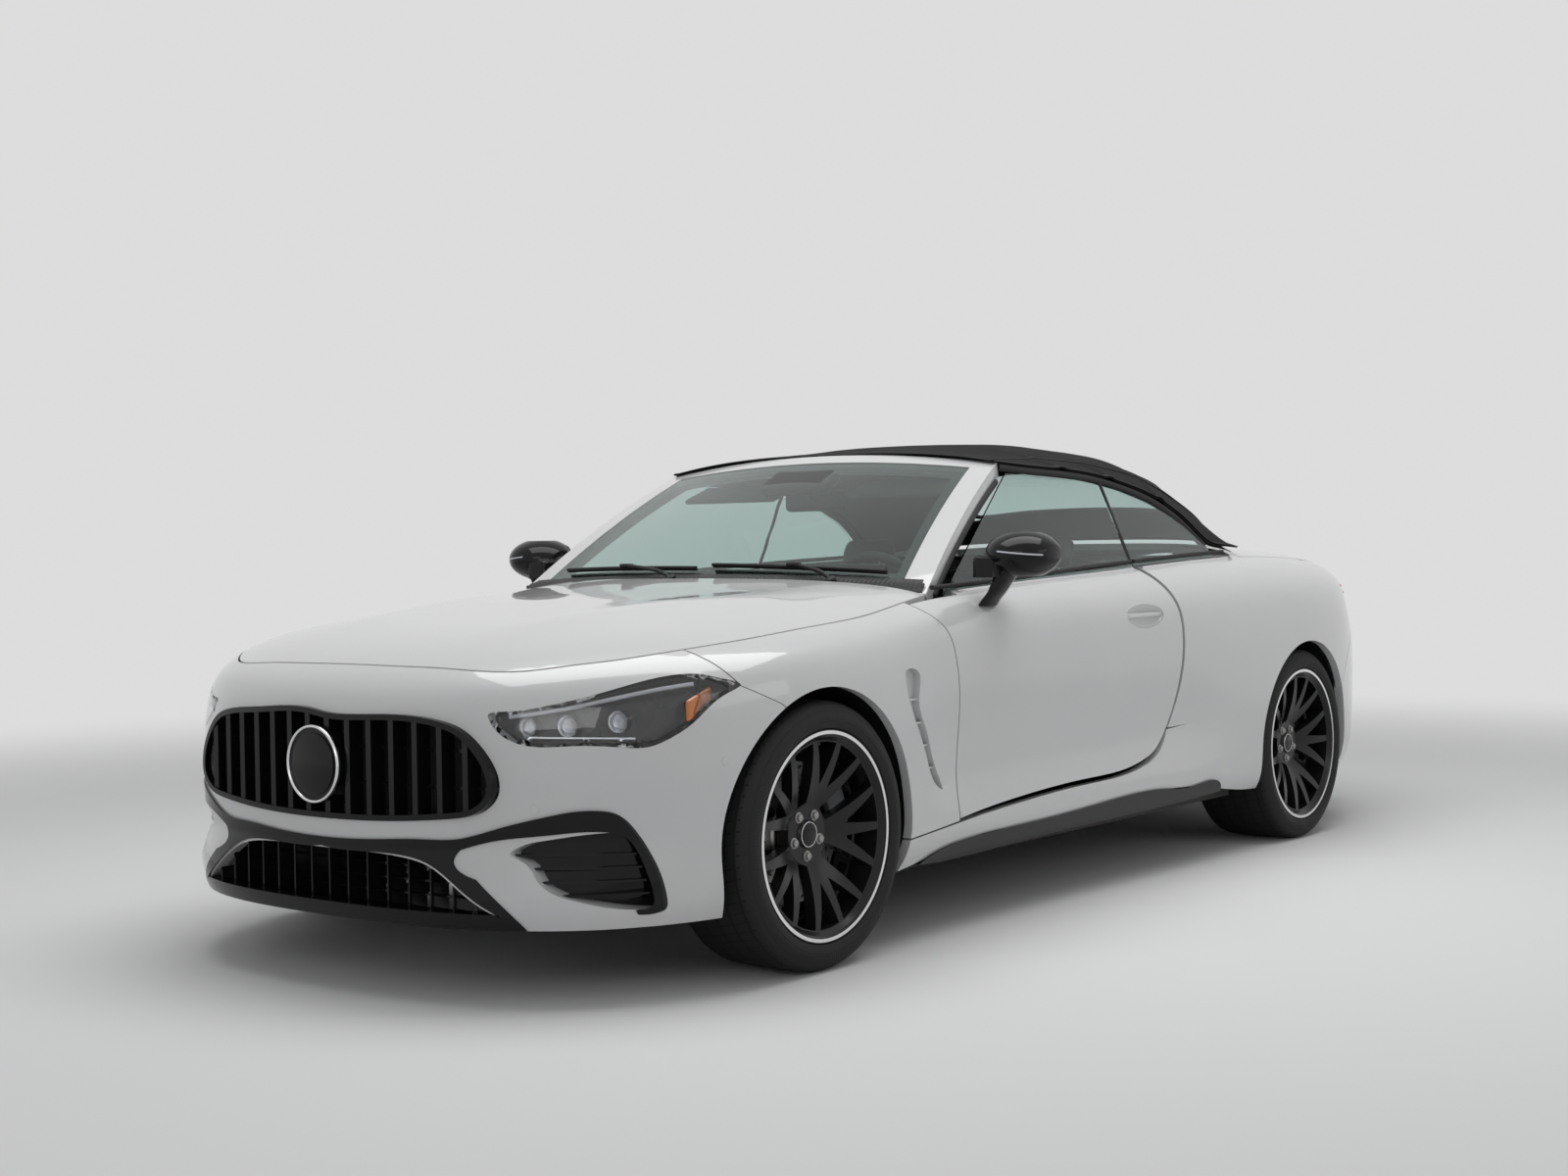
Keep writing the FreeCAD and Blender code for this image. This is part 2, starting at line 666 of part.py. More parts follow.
def make_fender(side, label):
    spine = [(y, 0.0) for y in spread(along(0.5), along(1.24), 34)]
    shape = fan(1, spine, angles(-20, 42, 20), panel_depth)
    shape = shape.common(side_prism(fender_outline(), 0, whole))
    shape = shape.cut(hood_prism(gap))
    shape = shape.cut(arch(front_axle, front_axle_height, front_arch, 1)).cut(lamp_prism(0.0, 1)).cut(vent_prism(0.0))
    keep(label, both_ways(solid_of(shape), side))


def door_outline(shrink):
    """The door's edge, with its rear and its foot pulled in by a taper so that it swings clear."""
    def raised(z):
        return z + shrink * (1 - ease(up(door_foot_shares[0]), up(door_foot_shares[1]), z))
    front = [(y, raised(z)) for y, z in door_front]
    rear = [(y - shrink * ease(along(1.5), along(1.62), y), raised(z)) for y, z in door_rear]
    return [front, rear, [rear[-1], front[0]]]


handle_shares = (1.6035, 0.5927)


def handle_bowl(door):
    """The door with an oval bowl pressed into it and a flush handle bar across the bowl."""
    y, z = along(handle_shares[0]), up(handle_shares[1])
    x = cast((0, y, z), (1, 0, 0))
    deep, tall, wide = float(size.bowl_depth), float(size.bowl_height) / 2, float(size.bowl_length) / 2
    door = solid_of(door.cut(egg(x, y, z, deep, wide, tall)))
    bar, thick = float(size.handle_height) / 2, float(size.handle_depth)
    low = min(cast((0, y + i * wide, z), (1, 0, 0)) for i in (-1, 0, 1))
    handle = block(low - thick, low - bond, y - wide, y + wide, z - bar, z + bar)
    return solid_of(door.fuse(rounded(handle, thick / 4)))


door_foot_shares = (0.3, 0.42)
foot_shares = (0.85, 1.15, 1.272, 0.59)
door_inner_share = 0.8


def make_door(side, label):
    depth = float(size.door_depth)
    spine = [(y, 0.0) for y in spread(along(1.17), along(1.7), 26)]
    shape = fan(1, spine, angles(-22, 36, 22), depth)
    taper = float(size.door_edge_taper)
    outer = edges(door_outline(0.0), lambda y, z: V(whole, y, z))
    inner = edges(door_outline(taper * (whole - half_width + 2 * depth) / depth),
                  lambda y, z: V(half_width - 2 * depth, y, z))
    wedge = Part.makeLoft([outer, inner], True, True)
    shape = shape.common(wedge)
    shape = shape.cut(belt_cut(along(1.1), along(1.8)))
    shape = shape.cut(block(0, out(door_inner_share), along(1.1), along(1.8), 0, height))
    shape = handle_bowl(shape)
    foot = foot_shares
    shape = shape.cut(block(0, out(foot[0]), along(foot[1]), along(foot[2]), up(foot[3]), height))
    keep(label, both_ways(solid_of(shape), side))


def quarter_outline():
    rear = places(door_bottom_shares, gap)
    seam = places(quarter_seam_shares)
    start = max(i for i, (y, z) in enumerate(rear) if z < seam[0][1] + over)
    edge = [(seam[0][0] + gap, seam[0][1])] + rear[start + 1:]
    end = places(tail_seam_shares, 0.0, gap)
    return [back(edge), [edge[0], seam[-1]], [seam[-1], end[0]], end, [end[-1], (end[-1][0], height)],
            [(end[-1][0], height), edge[-1]]]


deck_side = stations(deck_side_shares, out)
boot_side = stations(boot_side_shares, out)


def deck_front(x):
    """The line where the soft top's rear edge lies on the deck."""
    share = min(1.0, abs(x) / deck_side(along(deck_corner_share)))
    return along(deck_front_share) - (along(deck_front_share) - along(deck_corner_share)) * share ** deck_curve_power


def deck_prism(grow):
    wide = deck_side(along(deck_corner_share)) + grow
    front = [(x, deck_front(x) - grow) for x in spread(-wide, wide, 15)]
    rear = along(boot_front_share) + over
    side = [front[-1]] + [(deck_side(y) + grow, y) for y in spread(front[-1][1], rear, 5)[1:]]
    other = [(-x, y) for x, y in side]
    return plan_prism([front, side, [side[-1], other[-1]], back(other)], middle, height + over)


def boot_outline(grow):
    front = along(boot_front_share) - grow
    side = [(boot_side(y) + grow, y) for y in spread(front, along(3.05), 9)]
    other = [(-x, y) for x, y in side]
    return [[other[0], side[0]], side, [side[-1], other[-1]], back(other)]


def boot_prism(grow):
    return plan_prism(boot_outline(grow), up(boot_bottom_share) - grow, height + over)


quarter_sweep = 72
sweep_power = 1.3


def make_quarter(side, label):
    spine = [(y, 0.0) for y in spread(along(1.63), along(1.95), 14)]
    spine += [(along(1.95) + (along(2.12) - along(1.95)) * turn, math.radians(quarter_sweep) * turn ** sweep_power)
              for turn in spread(0, 1, 19)[1:]]
    shape = fan(1, spine, angles(-14, 44, 24), panel_depth)
    shape = shape.common(side_prism(quarter_outline(), 0, whole))
    shape = shape.cut(arch(rear_axle, rear_axle_height, rear_arch, 1))
    shape = shape.cut(boot_prism(gap))
    shape = shape.cut(deck_prism(gap)).cut(tail_lamp_prism(0.0))
    shape = shape.cut(belt_cut(along(1.6), along(1.9))).cut(shape_of("tonneau_lid"))
    keep(label, both_ways(solid_of(shape), side))


def trim_outline():
    """The black band from the middle of the nose round the white wing of a corner intake."""
    upper, lower = facing(trim_band_shares), facing(trim_wing_shares)
    inner = [(x + gap, z + gap) for x, z in back(facing(intake_shares))]
    inner[-1] = (0.0, inner[-1][1])
    low = up(chin_share) - over
    return [upper, lower[:2], lower[1:3], lower[2:10], lower[9:12], lower[11:], [lower[-1], (inner[0][0], low)],
            [(inner[0][0], low), inner[0]], inner, [inner[-1], upper[0]]]


lip_shares = (0.56, 0.156, 0.616)


def make_nose_trim():
    """A black frame on the bumper's skin round the lower intake and over the corner intakes."""
    thick = float(size.trim_thickness)
    prism = front_prism(trim_outline(), nose_reach, along(0.7))
    shape = fan(1, bumper_spine, bumper_lifts, thick, thick)
    shape = shape.common(prism.fuse(mirrored(prism)))
    lip = fan(1, bumper_spine, bumper_lifts, float(size.bumper_depth), thick)
    wide, high, wing = [rule(share) for rule, share in zip((out, up, out), lip_shares)]
    corners = [(-wing, up(chin_share)), (wing, up(chin_share)), (wide, high), (-wide, high)]
    lip = lip.common(front_prism([[a, b] for a, b in zip(corners, corners[1:] + corners[:1])], nose_reach, grille_reach))
    shape = shape.fuse(lip.cut(shape_of("front_bumper")))
    shape = shape.cut(block(-whole, whole, nose - over, 0, -over, up(chin_share)))
    for side in (side_left, side_right):
        shape = shape.cut(corner_prism(0.0, side))
    keep("nose_trim", solid_of(shape))


def corner_inserts():
    """Black panels behind the corner intakes, with blades across them."""
    spine = [(along(1.02), a) for a in angles(-4, -60, 21)]
    backing = float(size.panel_backing)
    bumper = float(size.bumper_depth)
    floor = fan(1, spine, angles(-22, 2, 11), backing, -bumper - seat_gap).common(corner_prism(2 * gap, 1))
    blade = fan(1, spine, angles(-22, 2, 11), bumper, -bumper / 3).common(corner_prism(-seat_gap, 1))
    for share in corner_blade_shares:
        bar = block(0, whole, nose - over, along(0.7), up(share), up(share) + float(size.fin_thickness))
        floor = floor.fuse(blade.common(bar))
    left = solid_of(floor.cut(shape_of("front_bumper")))
    return [left, mirrored(left)]


corner_blade_shares = (0.185, 0.207, 0.229, 0.251)
skirt_top_shares = [(1.158, 0.148), (1.165, 0.1538), (1.189, 0.168), (1.2243, 0.177), (1.3405, 0.1833), (1.4769, 0.191),
                    (1.6438, 0.1959), (1.7096, 0.1896), (1.7767, 0.1714), (1.7791, 0.163)]
skirt_bottom_shares = [(1.7791, 0.163), (1.688, 0.154), (1.5315, 0.148), (1.34, 0.143), (1.2, 0.141), (1.158, 0.148)]


def make_skirts():
    """The black blade along the foot of each sill, cut to the sill's skin."""
    spine = [(y, 0.0) for y in spread(along(1.12), along(1.82), 20)]
    thick = float(size.trim_thickness)
    shape = fan(1, spine, angles(-24, -8, 7), thick * 2, thick)
    shape = shape.common(side_prism([places(skirt_top_shares), places(skirt_bottom_shares)], 0, whole))
    left = solid_of(shape.cut(shape_of("sills")))
    keep("side_skirts", Part.makeCompound([left, mirrored(left)]))


def make_valance():
    """The black plate low on the rear bumper between the exhaust's cut-outs, with upright fins."""
    thick = float(size.trim_thickness)
    width, low, high = out(valance_shares[0]), up(valance_shares[1]), up(valance_shares[2])
    plate = fan(1, tail_spine, tail_lifts, thick, thick)
    shape = plate.common(block(-width, width, rear_axle, tail + over, low, high))
    fins = fan(1, tail_spine, tail_lifts, thick * 5, thick * 5)
    for x in spread(-width, width, valance_fins + 2)[1:-1]:
        shape = shape.fuse(fins.common(block(x - thick, x + thick, rear_axle, tail + over, low, high - 2 * thick)))
    keep("rear_valance", solid_of(shape))


valance_shares = (0.44, 0.142, 0.232)
valance_fins = 4


pipe_opening_shares = (0.455, 0.705, 0.228)


def make_rear_bumper():
    shape = fan(1, tail_spine, tail_lifts, float(size.bumper_depth))
    seam = places(tail_seam_shares)
    keep_box = side_prism([seam, [seam[-1], (seam[-1][0], up(0.14))], [(seam[-1][0], up(0.14)), (rear_axle, up(0.14))],
                           [(rear_axle, up(0.14)), (rear_axle, seam[0][1])], [(rear_axle, seam[0][1]), seam[0]]],
                          -whole, whole)
    shape = shape.common(keep_box)
    shape = shape.cut(boot_prism(gap))
    for side in (side_left, side_right):
        shape = shape.cut(arch(rear_axle, rear_axle_height, rear_arch, side))
        one, two = sorted((side * out(pipe_opening_shares[0]), side * out(pipe_opening_shares[1])))
        shape = shape.cut(block(one, two, along(2.6), tail + over, 0, up(pipe_opening_shares[2])))
    keep("rear_bumper", solid_of(shape.cut(tail_lamp_prism(0.0)).cut(mirrored(tail_lamp_prism(0.0)))))


boot_edge_share = 2.48
boot_start_share = 0.6
boot_inner_share = 0.984


def make_boot_lid():
    """From its front edge over the lip and down the tail, each row as wide as the lid is there."""
    edge, high, low = along(boot_edge_share), up(boot_start_share), up(boot_bottom_share)
    spine = [(y, high, math.radians(90)) for y in spread(along(boot_front_share), edge, 4)]
    spine += [(edge, high, a) for a in angles(84, 30, 9) + angles(28, 4, 13) + [0.0]]
    spine += [(edge, z, 0.0) for z in spread(high, low, 5)[1:]]
    outer, inner = [], []
    for y, z, heading in spine:
        way = (0, math.cos(heading), math.sin(heading))
        outer_row, inner_row = [], []
        for share in spread(-1, 1, 20):
            x = share * boot_side(y)
            for _ in range(3):
                reach = cast((x, y, z), way)
                x = share * boot_side(y + way[1] * reach)
            outer_row.append((x, y + way[1] * reach, z + way[2] * reach))
            reach -= panel_depth
            inner_row.append((x * boot_inner_share, y + way[1] * reach, z + way[2] * reach))
        outer.append(outer_row)
        inner.append(inner_row)
    keep("boot_lid", slab(outer, inner))


def make_tonneau():
    """The deck panel between the soft top and the boot lid."""
    rear = along(boot_front_share) - gap
    wide = deck_side(along(deck_corner_share))
    outer, inner = [], []
    for across in spread(-1, 1, 22):
        outer_row, inner_row = [], []
        front = deck_front(across * wide)
        for y in spread(front, rear, 12):
            x = across * deck_side(y)
            z = middle + cast((x, y, middle), (0, 0, 1))
            outer_row.append((x, y, z))
            inner_row.append((x, y, z - panel_depth))
        outer.append(outer_row)
        inner.append(inner_row)
    keep("tonneau_lid", slab(outer, inner))


def make_sills():
    spine = [(y, 0.0) for y in spread(along(1.08), along(1.95), 30)]
    shape = fan(1, spine, angles(-24, 4, 12), panel_depth)
    front = places(sill_front_shares, 0.0, 0.0)
    under = places(door_bottom_shares, 0.0, -gap)
    seam = places(quarter_seam_shares, 0.0, -gap)
    cut_at = max(i for i, (y, z) in enumerate(under) if z < seam[0][1] - gap)
    door_line = under[1:cut_at + 1]
    bottom = places(sill_bottom_shares)
    outline = [[(bottom[0][0], front[0][1]), front[1]], [front[1], front[2]], [front[2]] + door_line + [seam[0]],
               seam, [seam[-1], (seam[-1][0], bottom[-1][1])], [(seam[-1][0], bottom[-1][1]), bottom[-1]],
               back(bottom), [bottom[0], (bottom[0][0], front[0][1])]]
    shape = shape.common(side_prism(outline, 0, whole))
    shape = shape.cut(arch(front_axle, front_axle_height, front_arch, 1))
    shape = shape.cut(arch(rear_axle, rear_axle_height, rear_arch, 1))
    left = solid_of(shape)
    keep("sills", Part.makeCompound([left, mirrored(left)]))


# Windscreen, soft top and glass

def sheet_slab(place, across, down, depth, rise=0.0, lean=1.0):
    """A slab of a surface given by a function of two shares, from its skin inwards along its normals,
    of which only the lean share points across the car."""
    step = 0.002
    outer, inner = [], []
    for a in across:
        outer_row, inner_row = [], []
        for d in down:
            here = V(*place(a, d))
            one = V(*place(a + step, d)) - V(*place(a - step, d))
            two = V(*place(a, d + step)) - V(*place(a, d - step))
            normal = one.cross(two).normalize()
            if normal.z < 0:
                normal = -normal
            normal = V(normal.x * lean, normal.y, normal.z).normalize()
            high = here + normal * rise
            low = here + normal * (rise - depth)
            outer_row.append(tuple(high))
            inner_row.append(tuple(low))
        outer.append(outer_row)
        inner.append(inner_row)
    return slab(outer, inner)


screen_base_shares = (0.816, 1.2143, 0.6917)
screen_base_bow_shares = (0.0255, -0.014)
screen_head_shares = (0.672, 1.4351, 0.9635)
screen_head_bow_shares = (0.0085, -0.03)
screen_bulge_share = 0.012
screen_foot_share = 0.06
pane_share = 0.9996
screen_glass_shares = (0.0, 0.925, 0.895, 0.885)


def screen(a, d):
    """The windscreen's surface: a from -1 to 1 across, d from 0 at its base to 1 at its head."""
    base, head = screen_base_shares, screen_head_shares
    x = a * (out(base[0]) + (out(head[0]) - out(base[0])) * d)
    span = rear_axle - front_axle
    base_y = along(base[1]) + screen_base_bow_shares[0] * span * a * a
    head_y = along(head[1]) + screen_head_bow_shares[0] * span * a * a
    base_z = up(base[2] + screen_base_bow_shares[1] * a * a)
    head_z = up(head[2] + screen_head_bow_shares[1] * a * a)
    bulge = up(screen_bulge_share) * 4 * d * (1 - d)
    return x, base_y + (head_y - base_y) * d - bulge * 0.5, base_z + (head_z - base_z) * d + bulge


roof_edge_shares = [(0.672, 1.4365, 0.934), (0.69, 1.505, 0.926), (0.695, 1.592, 0.919), (0.695, 1.656, 0.908),
                    (0.713, 1.713, 0.887), (0.73, 1.7725, 0.855), (0.752, 1.828, 0.803), (0.773, 1.868, 0.752),
                    (0.784, 1.905, 0.742), (0.789, 1.94, 0.738)]
roof_centre_shares = [(1.4365, 0.9635), (1.505, 0.979), (1.592, 0.994), (1.656, 0.999), (1.748, 0.997),
                      (1.835, 0.988), (1.905, 0.968), (1.98, 0.93), (2.08, 0.855), (2.18, 0.762)]
roof_steps = spread(0, 1, 10)
roof_edge_x = Curve([(s, out(p[0])) for s, p in zip(roof_steps, roof_edge_shares)])
roof_edge_y = Curve([(s, along(p[1])) for s, p in zip(roof_steps, roof_edge_shares)])
roof_edge_z = Curve([(s, up(p[2])) for s, p in zip(roof_steps, roof_edge_shares)])
roof_centre_y = Curve([(s, along(p[0])) for s, p in zip(roof_steps, roof_centre_shares)])
roof_centre_z = Curve([(s, up(p[1])) for s, p in zip(roof_steps, roof_centre_shares)])
roof_section_power = 2.8
roof_lean_share = 0.3
rear_window_shares = (0.6, 0.72, 0.9)


def roof(a, d):
    """The soft top's surface: a from -1 to 1 across, d from 0 at the header to 1 on the deck."""
    share = abs(a)
    x = a * roof_edge_x(d)
    y = roof_centre_y(d) + (roof_edge_y(d) - roof_centre_y(d)) * share ** deck_curve_power
    z = roof_centre_z(d) - (roof_centre_z(d) - roof_edge_z(d)) * share ** roof_section_power
    return x, y, z


glass_lean_share = 0.43
glass_base_shares = [(1.2, 0.822), (1.656, 0.806), (1.9, 0.79)]
glass_base = stations(glass_base_shares, out)
side_seam_shares = [(1.656, 0.70), (1.651, 0.93)]


def side_glass(y, z):
    return glass_base(y) - glass_lean_share * (z - belt(y))


def side_glass_slab(start, end, low, high, depth):
    """A slab of the side glass's surface between two places along and two heights."""
    outer, inner = [], []
    for y in spread(start, end, 9):
        outer.append([(side_glass(y, z), y, z) for z in spread(low, high, 5)])
        inner.append([(side_glass(y, z) - depth, y, z) for z in spread(low, high, 5)])
    return slab(outer, inner)


glass_seal = float(size.glass_seal)
glass_sunk = float(size.glass_sunk)
glass_foot = float(size.glass_foot)


roof_seal = glass_seal + float(size.roof_depth) * 0.75


def roof_edge_line(start, end, drop_by):
    """The soft top's side edge seen from the side, lowered."""
    return [(roof_edge_y(d), roof_edge_z(d) - drop_by) for d in spread(start, end, 9)]


pillar_rake = 32


def pillar_line(d):
    x, y, z = screen(1, d)
    return y, z - frame_depth / math.cos(math.radians(pillar_rake)) - glass_seal


frame_depth = float(size.frame_depth)
glass_thickness = float(size.glass_thickness)


def make_windscreen():
    across = spread(-1, 1, 15)
    frame = sheet_slab(screen, across, spread(-screen_foot_share, 1.0, 12), frame_depth).cut(hood_prism(gap))
    low, high, wide, wide_top = screen_glass_shares
    def inset(a, d):
        return screen(a * (wide + (wide_top - wide) * d), d)
    hole = sheet_slab(inset, across, spread(low, high, 10), frame_depth + over, over / 2)
    keep("windscreen_frame", solid_of(frame.cut(hole)))
    ends = (low + 1 - pane_share, high - 1 + pane_share)
    keep("windscreen", sheet_slab(lambda a, d: inset(a * pane_share, d), across, spread(*ends, 10), glass_thickness,
                                  -float(size.glass_setback)))


def make_soft_top():
    across = spread(-1, 1, 23)
    depth = float(size.roof_depth)
    shell = sheet_slab(roof, across, spread(0.0, 1.0, 26), depth, 0.0, roof_lean_share)
    for label in ("windscreen_frame", "tonneau_lid"):
        shell = solid_of(shell.cut(shape_of(label)))
    wide, low, high = rear_window_shares
    def window(a, d):
        return roof(a * wide, d)
    hole = sheet_slab(window, spread(-1, 1, 11), spread(low, high, 9), depth + over, over / 2)
    keep("soft_top", solid_of(shell.cut(hole)))
    ends = (low + 1 - pane_share, high - 1 + pane_share)
    keep("rear_window", sheet_slab(lambda a, d: window(a * pane_share, d), spread(-1, 1, 11), spread(*ends, 9),
                                   glass_thickness, -float(size.rear_glass_setback)))


def make_side_glass():
    low, high = up(0.6), up(0.96)
    full = side_glass_slab(along(1.18), along(1.92), low, high, glass_thickness)
    seam = places(side_seam_shares)
    bottom = lambda y: belt(y) - glass_sunk
    front_low, front_high = pillar_line(0.0), pillar_line(0.98)
    slope = (front_high[1] - front_low[1]) / (front_high[0] - front_low[0])
    top = [p for p in roof_edge_line(0.06, 0.34, roof_seal) if p[0] < seam[1][0] - 2 * gap]
    top = [(y, z) for y, z in top if z < front_low[1] + slope * (y - front_low[0]) - bond] + \
        [(seam[1][0] - gap / 2, roof_edge_z(0.335) - roof_seal)]
    meet_y = front_low[0] + (top[0][1] - front_low[1]) / slope
    start_y = front_low[0] + (bottom(front_low[0]) - front_low[1]) / slope
    line = [(start_y, bottom(start_y)), (meet_y, top[0][1]), top[0]] + top[1:]
    door_rear_low = (seam[0][0] - gap / 2, bottom(seam[0][0]))
    wire = [line[:2]] + ([line[1:3]] if abs(line[1][0] - line[2][0]) > bond else []) + [top] + \
        [[top[-1], door_rear_low], [door_rear_low, line[0]]]
    pane = solid_of(full.common(side_prism(wire, 0, whole)))
    rear_top = roof_edge_line(0.345, 0.76, roof_seal)
    low_rear = (rear_top[-1][0], belt(rear_top[-1][0]) - glass_foot)
    low_front = (seam[0][0] + gap / 2, belt(seam[0][0]) - glass_foot)
    rear_top[0] = (seam[1][0] + gap / 2, rear_top[0][1])
    wire = [rear_top, [rear_top[-1], low_rear], [low_rear, low_front], [low_front, rear_top[0]]]
    quarter = solid_of(full.common(side_prism(wire, 0, whole)))
    return pane, quarter


# Sketched bodies

def plane_of(body, role):
    for feature in body.Origin.OriginFeatures:
        if feature.Role == role:
            return feature


def new_body(label):
    body = doc.addObject("PartDesign::Body", label)
    body.Label = label
    return body


def new_sketch(body, name, role, offset=None):
    sketch = body.newObject("Sketcher::SketchObject", name)
    sketch.AttachmentSupport = (plane_of(body, role), [""])
    sketch.MapMode = "FlatFace"
    if offset is not None:
        sketch.setExpression("AttachmentOffset.Base.z", offset.rule)
    return sketch


def pin_point(sketch, index, end, point):
    """Hold one end of a line or arc at a pair of sizes."""
    for kind, value in (("DistanceX", point[0]), ("DistanceY", point[1])):
        number = sketch.addConstraint(Sketcher.Constraint(kind, -1, 1, index, end, float(value)))
        if isinstance(value, Size):
            sketch.setExpression("Constraints[%d]" % number, value.rule)


def draw(sketch, start, steps):
    """A closed outline. Each step is (end) for a line or (end, radius, turn) for an arc that bulges to
    the right of its way when turn is 1 and to the left when it is -1."""
    here = start
    for step in steps:
        there = step[0]
        a = V(float(here[0]), float(here[1]), 0)
        b = V(float(there[0]), float(there[1]), 0)
        if len(step) == 1:
            index = sketch.addGeometry(Part.LineSegment(a, b))
            ends = (1, 2)
        else:
            radius, turn = float(step[1]), step[2]
            half = (b - a) * 0.5
            rise = math.sqrt(max(radius ** 2 - half.Length ** 2, 0.0))
            left = V(-half.y, half.x, 0).normalize()
            middle_point = a + half + left * rise * turn
            first, last = (a, b) if turn > 0 else (b, a)
            one = math.atan2(first.y - middle_point.y, first.x - middle_point.x)
            two = math.atan2(last.y - middle_point.y, last.x - middle_point.x)
            circle = Part.Circle(middle_point, V(0, 0, 1), radius)
            index = sketch.addGeometry(Part.ArcOfCircle(circle, one, two))
            ends = (1, 2) if turn > 0 else (2, 1)
            number = sketch.addConstraint(Sketcher.Constraint("Radius", index, radius))
            if isinstance(step[1], Size):
                sketch.setExpression("Constraints[%d]" % number, step[1].rule)
        pin_point(sketch, index, ends[0], here)
        pin_point(sketch, index, ends[1], there)
        here = there
    return sketch


def revolve(body, name, sketch, axis="H_Axis"):
    turn = body.newObject("PartDesign::Revolution", name)
    turn.Profile = sketch
    turn.ReferenceAxis = (sketch, [axis])
    turn.Angle = 360
    return turn


def move_to(thing, x=None, y=None, z=None, turn=None):
    if turn is not None:
        thing.Placement = FreeCAD.Placement(V(0, 0, 0), FreeCAD.Rotation(V(0, 0, 1), turn))
    for axis, value in (("x", x), ("y", y), ("z", z)):
        if value is not None:
            thing.setExpression("Placement.Base." + axis, value.rule)


half_length = size.overall_length / 2
front_axle_place = size.front_overhang - half_length
rear_axle_place = size.front_overhang - half_length + size.wheelbase
front_height = size.front_tyre_radius - size.tyre_squash
rear_height = size.rear_tyre_radius - size.tyre_squash

bead_depth_share = 0.06
bead_seat_share = 0.052
flange_share = 0.03
drop_share = 0.17
shoulder_radius_share = 0.14


tyre_shares = {"shoulder_in": 0.16, "shoulder_down": 0.2, "tread_in": 0.42, "tread_down": 0.045, "lip_out": 0.25,
               "lip_up": 0.05, "wide_up": 0.42, "foot_in": 0.0295, "foot_up": 0.02, "low_round": 0.7,
               "high_round": 1.1, "edge_round": 0.42, "crown_round": 5}


def make_tyre(label, radius, width):
    body = new_body(label)
    rim = size.rim_radius
    face = width / 2 - size.tyre_bulge
    seat = rim - rim * bead_depth_share
    bead = face - rim * bead_seat_share
    sidewall = radius - rim
    half = width / 2
    sketch = new_sketch(body, label + "_section", "XY_Plane")
    share = tyre_shares
    shoulder_x, shoulder_r = half - sidewall * share["shoulder_in"], radius - sidewall * share["shoulder_down"]
    tread_x, tread_r = half - sidewall * share["tread_in"], radius - sidewall * share["tread_down"]
    lip_x, lip_r = face + size.tyre_bulge * share["lip_out"], rim + sidewall * share["lip_up"]
    wide_x, wide_r = half, rim + sidewall * share["wide_up"]
    foot_x, foot_r = face - rim * share["foot_in"], rim + sidewall * share["foot_up"]
    low_round, high_round = sidewall * share["low_round"], sidewall * share["high_round"]
    edge_round = sidewall * share["edge_round"]
    draw(sketch, (bead, seat), [
        ((foot_x, foot_r),), ((lip_x, lip_r),), ((wide_x, wide_r), low_round, 1),
        ((shoulder_x, shoulder_r), high_round, 1), ((tread_x, tread_r), edge_round, 1),
        ((-tread_x, tread_r), radius * share["crown_round"], 1), ((-shoulder_x, shoulder_r), edge_round, 1),
        ((-wide_x, wide_r), high_round, 1), ((-lip_x, lip_r), low_round, 1),
        ((-foot_x, foot_r),), ((-bead, seat),), ((bead, seat),)])
    revolve(body, label + "_turn", sketch)
    return body


def polar(radius, degrees):
    angle = math.radians(degrees)
    return radius * math.cos(angle), radius * math.sin(angle)


spoke_count = 5
window_radius_share = 0.885
window_root_share = 0.3
fork_share = 0.47
root_turn, fork_turn, bar_turn = 15, 7.5, 2.35


